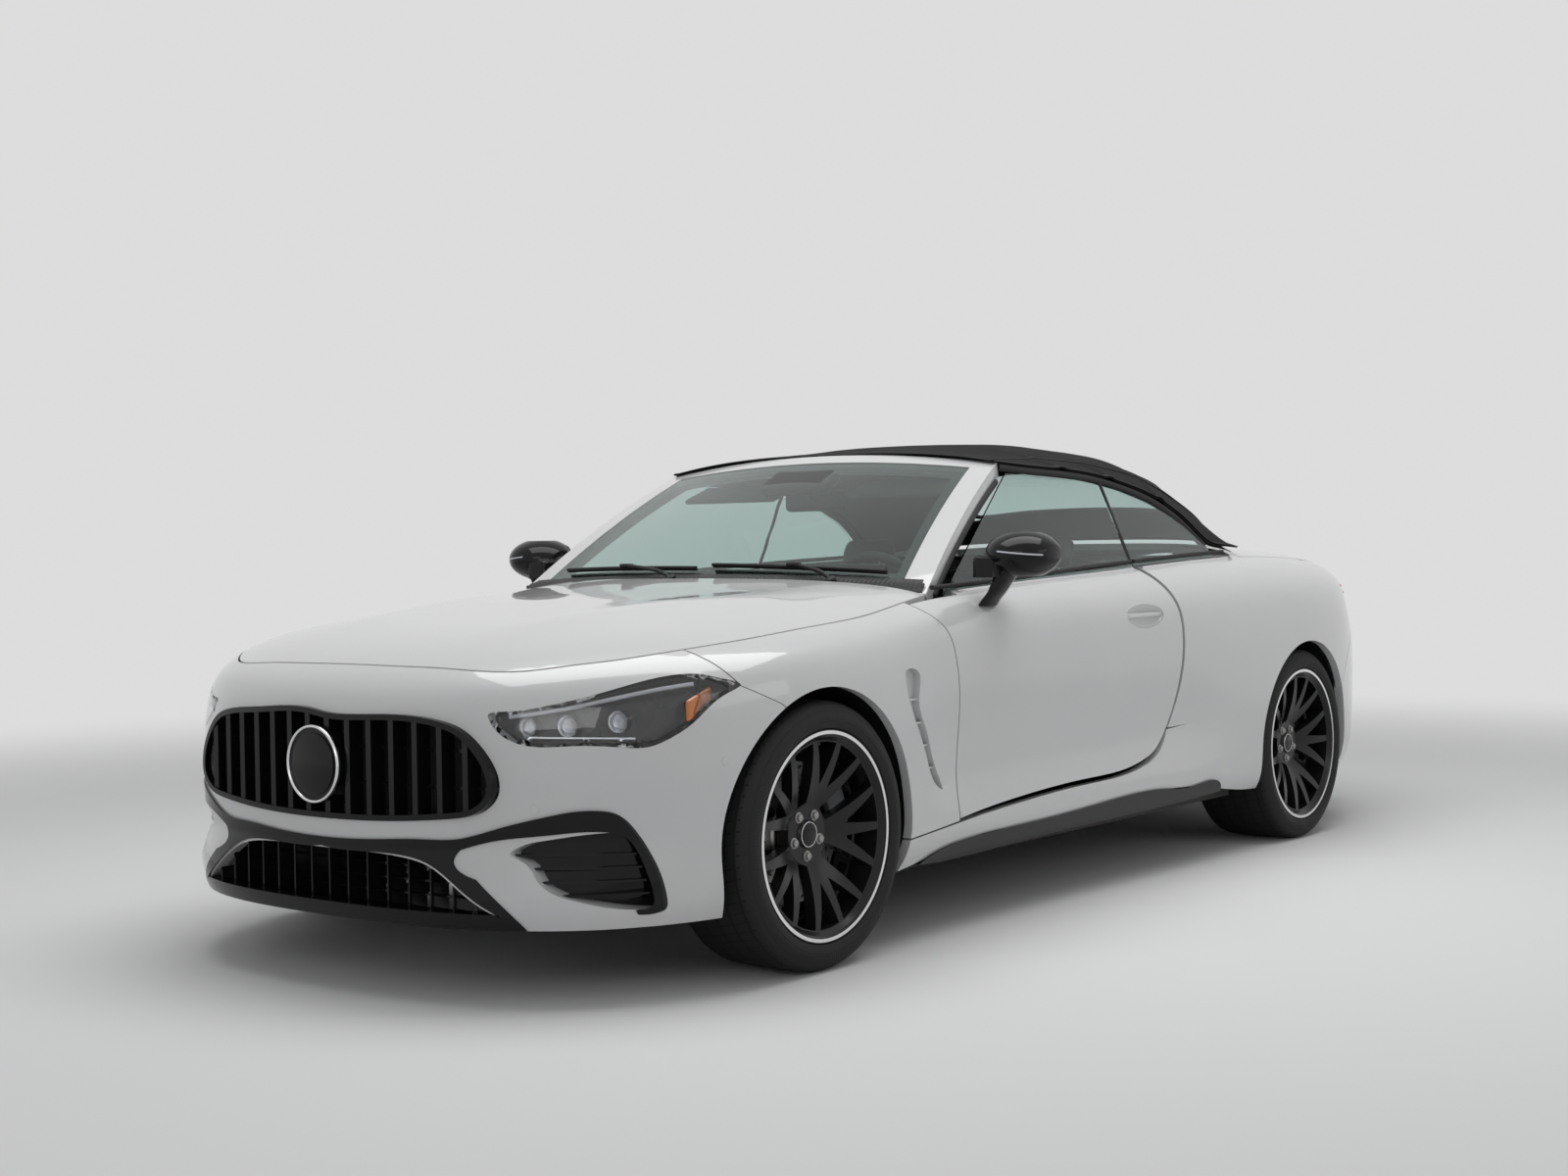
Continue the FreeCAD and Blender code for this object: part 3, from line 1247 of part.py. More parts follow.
def make_rim(label, width):
    body = new_body(label)
    rim = size.rim_radius
    wall = size.rim_wall
    face = width / 2 - size.tyre_bulge
    seat = rim - rim * bead_depth_share
    bead = face - rim * bead_seat_share
    flange = face - rim * flange_share
    deep = rim - rim * drop_share
    hub_face = face - size.hub_recess
    sketch = new_sketch(body, label + "_section", "XY_Plane")
    ledge = face - size.spoke_depth * 0.45
    shelf = face - size.spoke_depth * 2.6
    draw(sketch, (face, rim), [
        ((flange, rim),), ((bead, seat),), ((shelf, seat - wall * 0.2),), ((shelf - wall * 4, deep),),
        ((-shelf + wall * 4, deep),), ((-shelf, seat - wall * 0.2),), ((-bead, seat),), ((-flange, rim),), ((-face, rim),),
        ((-face, rim - size.rim_lip),), ((-bead, seat - wall),), ((-shelf, seat - wall * 1.2),),
        ((-shelf + wall * 4, deep - wall),), ((shelf - wall * 4.4, deep - wall),), ((shelf - wall * 0.4, seat - wall * 1.2),),
        ((ledge - size.spoke_depth, seat - wall * 1.3),),
        ((hub_face - size.spoke_depth, size.hub_radius * 1.1), rim * 1.6, -1),
        ((hub_face - size.spoke_depth - size.cap_depth, size.hub_radius),),
        ((hub_face - size.spoke_depth - size.cap_depth, size.bore_radius),),
        ((hub_face - size.cap_depth, size.bore_radius),), ((hub_face - size.cap_depth, size.bore_radius * 0),),
        ((hub_face, size.bore_radius * 0),), ((hub_face, size.bore_radius),),
        ((hub_face - size.cap_depth * 0.5, size.bore_radius * 1.1),),
        ((hub_face - size.cap_depth * 0.5, size.hub_radius),),
        ((ledge, seat - wall * 1.3), rim * 1.6, 1), ((face - size.rim_lip * 0.4, rim - size.rim_lip * 1.5),),
        ((face, rim - size.rim_lip),), ((face, rim),)])
    revolve(body, label + "_turn", sketch)
    doc.recompute()
    reach = rim * window_radius_share
    root = rim * window_root_share
    fork = rim * fork_share
    period = 360.0 / spoke_count
    branch = period / 3
    cuts = []
    windows = {
        "wide": [(root, period / 2 - root_turn), (reach, period / 2 - branch / 2 + bar_turn),
                 (reach, period / 2 + branch / 2 - bar_turn), (root, period / 2 + root_turn)],
        "upper": [(fork, fork_turn), (reach, bar_turn), (reach, branch - bar_turn)],
        "lower": [(fork, -fork_turn), (reach, bar_turn - branch), (reach, -bar_turn)],
    }
    for name, corners in windows.items():
        points = [polar(radius, angle) for radius, angle in corners]
        cut = new_sketch(body, label + "_" + name, "YZ_Plane", face + size.cap_depth)
        steps = [(points[1],), (points[2], reach, 1)] + [(p,) for p in points[3:]] + [(points[0],)]
        draw(cut, points[0], steps)
        pocket = body.newObject("PartDesign::Pocket", label + "_" + name + "_cut")
        pocket.Profile = cut
        pocket.Type = "Length"
        pocket.setExpression("Length", (size.hub_recess + size.spoke_depth + size.cap_depth * 3).rule)
        cuts.append(pocket)
    ring = body.newObject("PartDesign::PolarPattern", label + "_ring")
    ring.Originals = cuts
    ring.Axis = (plane_of(body, "X_Axis"), [""])
    ring.Angle = 360
    ring.Occurrences = spoke_count
    body.Tip = ring
    return body


def make_disc(label, width):
    body = new_body(label)
    face = width / 2 - size.tyre_bulge
    hub_back = face - size.hub_recess - size.spoke_depth - size.cap_depth
    disc_front = face - size.disc_setback
    sketch = new_sketch(body, label + "_section", "XY_Plane")
    hat, radius = size.disc_hat_radius, size.disc_radius
    thick = size.disc_thickness
    draw(sketch, (hub_back, size.bore_radius), [
        ((hub_back, hat * 0.94),), ((hub_back - hat * 0.06, hat),), ((disc_front, hat),), ((disc_front, radius),),
        ((disc_front - thick, radius),), ((disc_front - thick, hat * 0.9),), ((hub_back - hat * 0.12, hat * 0.9),),
        ((hub_back - hat * 0.12, size.bore_radius),), ((hub_back, size.bore_radius),)])
    revolve(body, label + "_turn", sketch)
    return body


def place_wheel(body, side, face_place, width, axle_place, axle_height):
    x = face_place - (width / 2 - size.tyre_bulge)
    move_to(body, x if side > 0 else -x, axle_place, axle_height, 0 if side > 0 else 180)
    nodes.append(body)


def make_wheels():
    for side, hand in ((side_left, "left"), (side_right, "right")):
        for end, radius, width, face_place, place_y, place_z in (
                ("front", size.front_tyre_radius, size.front_tyre_width, size.front_wheel_face, front_axle_place, front_height),
                ("rear", size.rear_tyre_radius, size.rear_tyre_width, size.rear_wheel_face, rear_axle_place, rear_height)):
            name = end + "_" + hand
            place_wheel(make_tyre("tyre_" + name, radius, width), side, face_place, width, place_y, place_z)
            place_wheel(make_rim("rim_" + name, width), side, face_place, width, place_y, place_z)
            place_wheel(make_disc("brake_disc_" + name, width), side, face_place, width, place_y, place_z)


# Grille, intakes and lamps

slat_count = 14


def nose_curve(setback, height_share, wide):
    """Points across the nose at one height, set back from its skin."""
    return [(x, nose_y(x, up(height_share)) + setback) for x in spread(-wide, wide, 13)]


def nose_bar(front, rear, height_share, wide, low, high):
    """A bar across the nose, bent in plan as the nose is."""
    one = nose_curve(front, height_share, wide)
    two = nose_curve(rear, height_share, wide)
    return plan_prism([one, [one[-1], two[-1]], back(two), [two[0], one[0]]], low, high)


grille_middle_share = 0.39
grille_wide_share = 0.6
grille_bar_shares = (0.6, 0.2, 1.0, 0.4, 2.2, 1.9, 2.2)
badge_shares = (0.098, 0.3925, 1.8, 0.1)
grille_rows = 2


def make_grille():
    """Upright slats in a shaped rim, with a plain disc in the middle."""
    depth = float(size.grille_depth)
    rim_wide, start, end, slat_start, slat_end, row_start, row_end = [depth * share for share in grille_bar_shares]
    wide = out(grille_wide_share)
    top, bottom = up(grille_shares[0][1]), up(grille_shares[-1][1])
    plate = nose_bar(start, end, grille_middle_share, wide, bottom - over, top + over)
    outline = grille_prism(-seat_gap)
    rim = plate.common(outline).cut(grille_prism(-rim_wide))
    pitch = 2 * max(out(x) for x, _ in grille_shares) / (slat_count + 1)
    width = float(size.slat_width)
    parts = []
    for i in range(slat_count):
        x = (i - (slat_count - 1) / 2) * pitch
        y = nose_y(x, up(grille_middle_share))
        parts.append(block(x - width / 2, x + width / 2, y + slat_start, y + slat_end, bottom, top))
    for z in spread(bottom, top, grille_rows + 2)[1:-1]:
        parts.append(nose_bar(row_start, row_end, grille_middle_share, wide, z - width / 4, z + width / 4))
    radius, z, thick, proud = badge_shares
    place = V(0, nose_y(0, up(grille_middle_share)) - depth * proud, up(z))
    parts.append(Part.makeCylinder(out(radius), depth * thick, place, V(0, 1, 0)))
    bars = parts[0].multiFuse(parts[1:]).common(outline)
    keep("grille", solid_of(rim.fuse(bars)))


intake_row_shares = (2.8, 3.2, 0.18)
intake_fin_shares = (1.6, 4.0, 0.5)
intake_rows = 4
intake_fins = 15


def make_lower_grille():
    """Upright fins and thin rows in the lower intake."""
    depth = float(size.grille_depth)
    bar = float(size.fin_thickness)
    low, high = up(chin_share), up(intake_shares[0][1])
    start, end, z_share = intake_row_shares
    parts = []
    for z in spread(low, high, intake_rows + 2)[1:-1]:
        parts.append(nose_bar(depth * start, depth * end, z_share, out(grille_wide_share), z - bar / 2, z + bar / 2))
    start, end, wide = intake_fin_shares
    for x in spread(-out(wide), out(wide), intake_fins):
        y = nose_y(x, up(z_share))
        parts.append(block(x - bar / 2, x + bar / 2, y + depth * start, y + depth * end, low, high))
    shape = parts[0].multiFuse(parts[1:]).common(intake_prism(-seat_gap)).cut(shape_of("nose_trim"))
    keep("lower_grille", Part.makeCompound([solid_of(shape)] + corner_inserts()))


def make_headlamps():
    lens = fan(1, [(along(1.02), a) for a in angles(-12, -70, 25)], angles(-8, 22, 11), panel_depth)
    shape = solid_of(lens.common(lamp_prism(-seat_gap, 1)))
    keep("headlamps", Part.makeCompound([shape, mirrored(shape)]))


tail_lamp_shares = [(0.58, 0.655), (0.59, 0.595), (0.75, 0.585), (0.9, 0.59), (1.1, 0.6), (1.1, 0.64), (0.9, 0.648),
                    (0.75, 0.655)]


def tail_lamp_prism(grow):
    """The tail lamp's outline seen from behind, from its inner end out past the body's side."""
    points = grown(facing(tail_lamp_shares), grow)
    curve = Part.makePolygon([V(x, along(2.55), z) for x, z in points + points[:1]])
    return Part.Face(curve).extrude(V(0, tail + over - along(2.55), 0))


def make_tail_lamps():
    lens = fan(1, [(along(2.1), a) for a in angles(20, 72, 25)], angles(4, 30, 11), panel_depth)
    shape = solid_of(lens.common(tail_lamp_prism(-seat_gap)).cut(boot_prism(gap)))
    keep("tail_lamps", Part.makeCompound([shape, mirrored(shape)]))


# Inside and under the body

floor_low = float(size.floor_height)
floor_top = floor_low + float(size.floor_thickness)
cabin_shares = (1.14, 1.86, 0.79)
scuttle_shares = (1.26, 0.615)
bulkhead_share = 0.66
boot_floor_share = 0.36
boot_wall_shares = (0.62, 2.7, 0.62, 0.48)
deck_brace_shares = (0.72, 1.97)
rocker_shares = (0.79, 0.86, 1.155, 0.205)
rear_post_shares = (0.74, 1.72)
rail_shares = (0.4, 0.47, 0.24, 0.22, 0.31)
radiator_shares = (0.44, 0.3, 0.5, 0.53)
tunnel_shares = (0.13, 0.24)
bracket_shares = {
    "fender": (0.70, 0.955, 1.14, 1.1505, 0.56, 0.6),
    "quarter": (0.74, 0.93, 1.72, 1.73, 0.5, 0.53),
    "sill_front": (0.79, 0.95, 1.3, 1.32, 0.19, 0.205),
    "sill_rear": (0.79, 0.95, 1.6, 1.62, 0.2, 0.22),
    "front_bumper": (0.28, 0.31, 0.01, 0.25, 0.262, 0.285),
    "rear_bumper": (0.3, 0.34, 2.68, 2.985, 0.4, 0.43),
    "exhaust_hanger": (0.28, 0.31, 2.5, 2.52, 0.18, 0.37),
    "axle_hanger": (0.5, 0.53, 1.98, 2.02, 0.24, 0.37),
}


def pair_of(x0, x1, y0, y1, z0, z1):
    """A block on the car's left and its mirror image."""
    left = block(x0, x1, y0, y1, z0, z1)
    return [left, mirrored(left)]


def skin_height(x, y):
    return middle + cast((x, y, middle), (0, 0, 1))


door_front_edge = Curve([(z, y) for y, z in back(door_front)])
hood_pad_shares = (0.6, 1.2)
boot_pad_shares = (0.5, 2.365)
deck_post_share = 2.26
hinge_plate_shares = (0.895, 0.425, 0.45)


def keep_cut(label, parts, against):
    """Blocks joined into one piece and cut back to the faces of the pieces that they carry."""
    shape = parts[0].multiFuse(parts[1:])
    for other in against:
        shape = solid_of(shape.cut(shape_of(other)))
    keep(label, shape)


def bracket(name):
    x0, x1, y0, y1, z0, z1 = bracket_shares[name]
    return pair_of(out(x0), out(x1), along(y0), along(y1), up(z0), up(z1))


def make_floor():
    """Floor, tunnel and the boxes along the sills."""
    front, rear, inner = along(cabin_shares[0]), along(cabin_shares[1]), out(cabin_shares[2])
    wide = out(tunnel_shares[0])
    parts = [block(-inner, inner, front, rear, floor_low, floor_top),
             block(-wide, wide, front, rear, floor_low, up(tunnel_shares[1]))]
    parts += pair_of(out(rocker_shares[0]) - bond, out(rocker_shares[1]), along(rocker_shares[2]), rear, floor_low,
                     up(rocker_shares[3]))
    keep_cut("floor_pan", parts + bracket("sill_front") + bracket("sill_rear"), ["sills", "side_skirts"])


def hood_pads():
    pad = float(size.pad_size)
    x, y = out(hood_pad_shares[0]), along(hood_pad_shares[1])
    lowest = min(skin_height(x + i * pad, y + j * pad) for i in (0, 1) for j in (0, 1)) - panel_depth
    return pair_of(x, x + pad, y, y + pad, up(scuttle_shares[1]) - wall, lowest - seat_gap)


def hinge_plates():
    """Plates at the sides of the front wall, which the doors' front edges turn beside."""
    start = along(cabin_shares[0])
    low, high = up(hinge_plate_shares[1]), up(hinge_plate_shares[2])
    end = min(door_front_edge(z) for z in spread(low, high, 5)) - seat_gap
    return pair_of(out(cabin_shares[2]) - wall, out(hinge_plate_shares[0]), start, end, low, high)


def make_front_structure():
    """The wall before the cabin with the scuttle, and the rails and radiator before it."""
    front, inner = along(cabin_shares[0]), out(cabin_shares[2])
    scuttle, scuttle_top = along(scuttle_shares[0]), up(scuttle_shares[1])
    rail_in, rail_out, rail_end = out(rail_shares[0]), out(rail_shares[1]), along(rail_shares[2])
    rail_low, rail_high = up(rail_shares[3]), up(rail_shares[4])
    width, low, high, top = [rule(share) for rule, share in zip((out, up, up, up), radiator_shares)]
    parts = [block(-inner, inner, front, front + wall, floor_top, scuttle_top),
             block(-inner, inner, front, scuttle, scuttle_top - wall, scuttle_top),
             block(-rail_out, rail_out, rail_end, rail_end + wall, rail_low, low),
             block(-rail_out, rail_out, rail_end, rail_end + wall, high, top),
             block(-rail_out, rail_out, rail_end + wall / 3, rail_end + wall * 2 / 3, rail_low, top)]
    parts += pair_of(rail_in, rail_out, rail_end, front, rail_low, rail_high)
    parts += pair_of(rail_in, width, rail_end, rail_end + wall, rail_low, top)
    parts += bracket("front_bumper") + bracket("fender") + hood_pads() + hinge_plates()
    keep_cut("front_structure", parts, ["floor_pan", "front_bumper", "fender_left", "fender_right"])


def boot_pads():
    """Pads that the boot lid's front edge rests on, and the posts of the deck panel."""
    side, deck = out(boot_wall_shares[0]), up(bulkhead_share)
    inner = side - wall
    pad = float(size.pad_size)
    x, y = out(boot_pad_shares[0]), along(boot_pad_shares[1])
    lowest = skin_height(x, y) - 2 * panel_depth
    test = block(x, x + pad, y, y + pad, lowest - wall, lowest)
    lowest += test.distToShape(shape_of("boot_lid"))[0] - seat_gap
    parts = pair_of(x, x + pad, y, y + pad, lowest - wall, lowest)
    parts += pair_of(x, side, y, y + pad, lowest - 2 * wall, lowest - wall)
    parts += pair_of(inner, side, y, y + pad, deck - 2 * wall, lowest - wall)
    y = along(deck_post_share)
    return parts + pair_of(inner, side, y, y + pad, deck - 2 * wall, skin_height(side, y) - panel_depth / 2)


def make_rear_structure():
    """The wall behind the rear seat, the deck brace and the boot's floor and walls."""
    rear, inner, deck = along(cabin_shares[1]), out(cabin_shares[2]), up(bulkhead_share)
    wide = out(deck_brace_shares[0])
    low, side, end = up(boot_floor_share), out(boot_wall_shares[0]), along(boot_wall_shares[1])
    parts = [block(-inner, inner, rear - wall, rear, floor_top, deck),
             block(-wide, wide, rear - wall, along(deck_brace_shares[1]), deck, deck + wall),
             block(-side, side, rear - wall, end, low, low + wall),
             block(-side, side, end, end + wall, low - 2 * wall, up(boot_wall_shares[3]))]
    parts += pair_of(out(rear_post_shares[0]), inner, along(rear_post_shares[1]), rear, floor_top, deck)
    parts += pair_of(side - wall, side, rear - wall, end + wall, low, up(boot_wall_shares[2]))
    parts += boot_pads() + bracket("quarter") + bracket("rear_bumper") + bracket("exhaust_hanger")
    keep_cut("rear_structure", parts + bracket("axle_hanger"),
             ["floor_pan", "rear_bumper", "tonneau_lid", "exhaust", "rear_axle", "quarter_left", "quarter_right"])


liner_shares = (0.5, 0.64, 0.93, -0.3, 0.45)


def make_liners():
    """Half rings over the tyres, between the inner body and the panels."""
    radius, thick = float(size.liner_radius), float(size.liner_thickness)
    parts = []
    front_inner, rear_inner, outer, ring_low, side_low = liner_shares
    for axle, axle_height, inner in ((front_axle, front_axle_height, out(front_inner)),
                                     (rear_axle, rear_axle_height, out(rear_inner))):
        ring = drum(axle, axle_height, radius + thick, inner, out(outer))
        ring = ring.cut(drum(axle, axle_height, radius, inner - over, out(outer) + over))
        ring = ring.cut(block(0, whole, axle - radius * 2, axle + radius * 2, 0, axle_height + radius * ring_low))
        side = drum(axle, axle_height, radius + thick, inner - thick, inner)
        side = side.cut(block(0, whole, axle - radius * 2, axle + radius * 2, 0, axle_height + radius * side_low))
        ring = ring.fuse(side)
        for label in ("fender_left", "front_bumper", "quarter_left", "rear_bumper", "sills", "floor_pan",
                      "front_structure", "rear_structure"):
            if shape_of(label).BoundBox.intersect(ring.BoundBox):
                ring = solid_of(ring.cut(shape_of(label)))
        parts += [ring, mirrored(ring)]
    keep("wheel_liners", Part.makeCompound(parts))


def rounded(shape, radius):
    return shape.makeFillet(radius, shape.Edges)


seat_station_shares = (1.46, 1.60, 1.755, 1.85)
seat_shares = {"plinth_top": 0.035, "cushion_low": 0.03, "cushion_rise": 0.07, "cushion_back": 0.06, "thick": 0.1,
               "head_wide": 0.26, "head_front": 0.15, "head_rear": 0.8, "head_tall": 0.13, "plinth_wide": 0.36,
               "plinth_start": 0.05, "soft_round": 0.028, "head_round": 0.02}
bench_shares = {"wide": 0.6, "cushion": 0.38, "rest_deep": 0.08, "rest_top": 0.7, "round": 0.02}
seat_lean = 22


def make_seat(x):
    """A front seat as one closed soft form: cushion, back with bolsters, and headrest."""
    width, tall = float(size.seat_width), float(size.seat_back_height)
    base, share = floor_top, seat_shares
    cushion_top = base + float(size.seat_cushion_height) + up(share["cushion_rise"])
    start, end = along(seat_station_shares[0]), along(seat_station_shares[1])
    thick = up(share["thick"])
    pivot = V(x, end, cushion_top)
    cushion = block(x - width / 2, x + width / 2, start, end + up(share["cushion_back"]),
                    base + up(share["cushion_low"]), cushion_top)
    rest = block(x - width / 2, x + width / 2, end, end + thick, cushion_top - thick, cushion_top + tall)
    half = width * share["head_wide"]
    head = block(x - half, x + half, end + thick * share["head_front"], end + thick * share["head_rear"],
                 cushion_top + tall + bond, cushion_top + tall + up(share["head_tall"]))
    for leaning in (rest, head):
        leaning.rotate(pivot, V(1, 0, 0), -seat_lean)
    half = width * share["plinth_wide"]
    plinth = block(x - half, x + half, start + up(share["plinth_start"]), end, base, base + up(share["plinth_top"]))
    soft = rounded(cushion, up(share["soft_round"])).fuse(rounded(rest, up(share["soft_round"])))
    return soft.fuse(rounded(head, up(share["head_round"]))).fuse(plinth)


def make_seats():
    spacing = float(size.seat_spacing)
    keep("seat_left", make_seat(spacing))
    keep("seat_right", make_seat(-spacing))
    share = bench_shares
    wide, top = out(share["wide"]), up(share["cushion"])
    start, end = along(seat_station_shares[2]), along(seat_station_shares[3])
    cushion = block(-wide, wide, start, end, floor_top, top)
    rest = block(-wide, wide, end - up(share["rest_deep"]), end - bond, top - bond, up(share["rest_top"]))
    bench = rounded(cushion, up(share["round"])).fuse(rounded(rest, up(share["round"])))
    for label in ("floor_pan", "rear_structure"):
        bench = solid_of(bench.cut(shape_of(label)))
    keep("rear_seat", bench)


dash_shares = [(1.15, 0.40), (1.15, 0.6), (1.235, 0.612), (1.25, 0.65), (1.29, 0.645), (1.315, 0.6), (1.30, 0.5),
               (1.24, 0.40)]
console_shares = (1.25, 1.70, 0.42, 0.012)
wheel_place_shares = (1.372, 0.615)
column_rake = 66


def make_dashboard():
    inner = out(cabin_shares[2]) - gap
    points = places(dash_shares)
    shape = side_prism([[a, b] for a, b in zip(points, points[1:] + points[:1])], -inner, inner)
    column = Part.makeCylinder(float(size.column_radius), length / 10, V(0, 0, -length / 10 - column_gap))
    shape = shape.fuse(column_place(column))
    for label in ("front_structure", "windscreen_frame", "windscreen"):
        shape = solid_of(shape.cut(shape_of(label)))
    keep("dashboard", shape)
    wide = float(size.console_width) / 2
    start, end, top, rounding = console_shares
    console = block(-wide, wide, along(start), along(end), up(tunnel_shares[1]) + seat_gap, up(top))
    keep("console", solid_of(rounded(console, up(rounding)).cut(shape)))


column_gap = float(size.column_radius) + seat_gap


def column_place(shape):
    """A shape of the steering column, from its own upright axis to its place behind the dashboard."""
    turned = shape.copy()
    turned.rotate(V(0, 0, 0), V(1, 0, 0), -column_rake)
    turned.translate(V(float(size.seat_spacing), along(wheel_place_shares[0]), up(wheel_place_shares[1])))
    return turned


def make_steering():
    """Wheel rim, hub and spokes on a raked column."""
    reach, thick = float(size.steering_wheel_radius), float(size.steering_rim_radius)
    column = float(size.column_radius)
    ring = Part.makeTorus(reach, thick)
    hub = Part.makeCylinder(column * 2, column, V(0, 0, -column))
    across = block(-reach, reach, -thick, thick, -thick, thick / 2)
    down = block(-thick, thick, -reach, 0, -thick, thick / 2)
    keep("steering_wheel", column_place(solid_of(ring.multiFuse([hub, across, down]))))


engine_shares = (0.62, 0.17, 0.02)


def make_engine():
    wide, tall = float(size.engine_width), float(size.engine_height)
    start, low, rounding = along(engine_shares[0]), up(engine_shares[1]), up(engine_shares[2])
    shape = block(-wide / 2, wide / 2, start, start + float(size.engine_length), low, low + tall)
    keep("engine", rounded(shape, rounding))


caliper_angles = (-20, 34)
caliper_arm_shares = (0.6, 1.0, 0.1, 0.4)
steer_axis_shares = 0.79
subframe_shares = (0.13, 0.17)


def make_corner(y, z, face_place, way):
    """The part that carries a wheel on the car's left, and its brake caliper."""
    hub_face = float(face_place - size.hub_recess)
    back_face = hub_face - float(size.spoke_depth + size.cap_depth + size.disc_hat_depth * 2)
    disc_front = float(face_place - size.disc_setback)
    disc_rear = disc_front - float(size.disc_thickness)
    radius = float(size.disc_radius)
    cover, reach, slot = float(size.caliper_cover), float(size.caliper_reach), float(size.disc_slot)
    tall, long = float(size.upright_half_height), float(size.upright_half_length)
    upright_out = back_face - float(size.stub_length) + float(size.upright_thickness) / 2
    upright_in = upright_out - float(size.upright_thickness)
    stub = drum(y, z, float(size.bore_radius) - seat_gap, upright_in, hub_face - float(size.cap_depth) - seat_gap)
    upright = rounded(block(upright_in, upright_out, y - long, y + long, z - tall, z + tall),
                      float(size.upright_rounding))
    caliper = drum(y, z, radius + cover, disc_rear - reach, disc_front + float(size.caliper_front))
    caliper = caliper.cut(drum(y, z, radius - 2 * cover, disc_rear - 2 * reach, disc_front + reach))
    caliper = caliper.cut(drum(y, z, radius + slot, disc_rear - slot, disc_front + slot))
    rays = [V(0, y + way * half_width * math.cos(a), z + half_width * math.sin(a)) for a in angles(*caliper_angles, 2)]
    wedge = Part.Face(Part.makePolygon([V(0, y, z), rays[0], rays[1], V(0, y, z)]))
    caliper = solid_of(caliper.common(wedge.extrude(V(length, 0, 0))))
    near, far, low, high = [radius * share for share in caliper_arm_shares]
    ends = sorted((y + way * near / 2, y + way * far))
    arm = block(upright_in, upright_out, ends[0], ends[1], z + low, z + high)
    ends = sorted((y + way * (radius - 2 * cover + slot), y + way * far))
    bridge = block(upright_in, disc_rear - reach + slot, ends[0], ends[1], z + low, z + high)
    return stub.multiFuse([upright, arm, bridge]), caliper


def make_axles():
    tall, long = float(size.upright_half_height), float(size.upright_half_length)
    y, z = front_axle, front_axle_height
    knuckle, caliper = make_corner(y, z, size.front_wheel_face, 1)
    ball, thick = float(size.ball_joint_radius), float(size.arm_thickness)
    axis = out(steer_axis_shares)
    start = knuckle.BoundBox.XMin
    lug = block(start, axis + ball, y - 2 * ball, y + 2 * ball, z - tall, z - tall + thick)
    knuckle = solid_of(knuckle.fuse(lug).cut(caliper))
    for side, hand in ((side_left, "left"), (side_right, "right")):
        keep("knuckle_" + hand, both_ways(knuckle, side))
        keep("caliper_" + hand, both_ways(caliper, side))
    low, high = [up(share) for share in subframe_shares]
    rail_in, rail_out, rail_low = out(rail_shares[0]), out(rail_shares[1]), up(rail_shares[3])
    parts = [block(-rail_out, rail_out, y - long, y + long, low, high - seat_gap)]
    parts += pair_of(rail_in, rail_out, y - long, y + long, low, rail_low)
    parts += pair_of(rail_in, axis + ball, y - ball * 1.2, y + ball * 1.2, z - tall - 2 * thick, z - tall - thick)
    post = Part.makeCylinder(ball, thick - seat_gap, V(axis, y, z - tall - thick))
    parts += [post, mirrored(post)]
    keep("front_axle", solid_of(parts[0].multiFuse(parts[1:])))
    y, z = rear_axle, rear_axle_height
    carrier, caliper = make_corner(y, z, size.rear_wheel_face, -1)
    carrier = solid_of(carrier.cut(caliper))
    keep("rear_calipers", Part.makeCompound([caliper, mirrored(caliper)]))
    reach = carrier.BoundBox.XMin + gap
    beam = drum(y, z, float(size.beam_radius), -reach, reach)
    half = float(size.axle_case_width) / 2
    case = rounded(drum(y, z, float(size.axle_case_radius), -half, half), half / 4)
    keep("rear_axle", solid_of(beam.multiFuse([case, carrier, mirrored(carrier)])))


exhaust_pipe_shares = (0.52, 0.64)
exhaust_shares = (2.45, 2.72, 2.95, 0.19, 0.7, 0.13, 0.215)


def make_exhaust():
    radius, thick = float(size.exhaust_radius), float(size.exhaust_wall)
    start, end, tip, rise, wide, low, high = exhaust_shares
    tips = []
    for side in (side_left, side_right):
        for place in exhaust_pipe_shares:
            x = side * out(place)
            pipe = Part.makeCylinder(radius, along(tip) - along(end), V(x, along(end), up(rise)), V(0, 1, 0))
            hole = Part.makeCylinder(radius - thick, over * 3, V(x, along(tip) - over * 2, up(rise)), V(0, 1, 0))
            tips.append(pipe.cut(hole))
    box = rounded(block(-out(wide), out(wide), along(start), along(end) + 2 * gap, up(low), up(high)),
                  float(size.exhaust_box_rounding))
    keep("exhaust", box.multiFuse(tips))


mirror_shares = (0.992, 1.308, 0.736)
mirror_foot_shares = (0.875, 0.965, 1.283, 1.314, 0.63)


mirror_form_shares = (1.08, 1.4, 1.12, 0.4)
mirror_foot_rounding_share = 0.16


def egg(x, y, z, wide, deep, tall):
    """A ball stretched to three half lengths."""
    matrix = FreeCAD.Matrix()
    matrix.A11, matrix.A22, matrix.A33 = wide, deep, tall
    shape = Part.makeSphere(1.0).transformGeometry(matrix)
    shape.translate(V(x, y, z))
    return shape


def make_mirror():
    """The housing of the left outside mirror, an egg cut flat behind for the glass, on its foot."""
    x, y, z = out(mirror_shares[0]), along(mirror_shares[1]), up(mirror_shares[2])
    wide, deep, tall = float(size.mirror_length) / 2, float(size.mirror_depth) / 2, float(size.mirror_height) / 2
    across, lengthwise, upright, shift = mirror_form_shares
    shell = egg(x, y + deep * shift, z, wide * across, deep * lengthwise, tall * upright)
    shell = shell.common(block(x - wide, x + wide, y - deep, y + deep, z - tall, z + tall))
    inner, outer, start, end, low = mirror_foot_shares
    foot = block(out(inner), out(outer), along(start), along(end), up(low), z)
    return solid_of(shell.fuse(rounded(foot, tall * 2 * mirror_foot_rounding_share)))


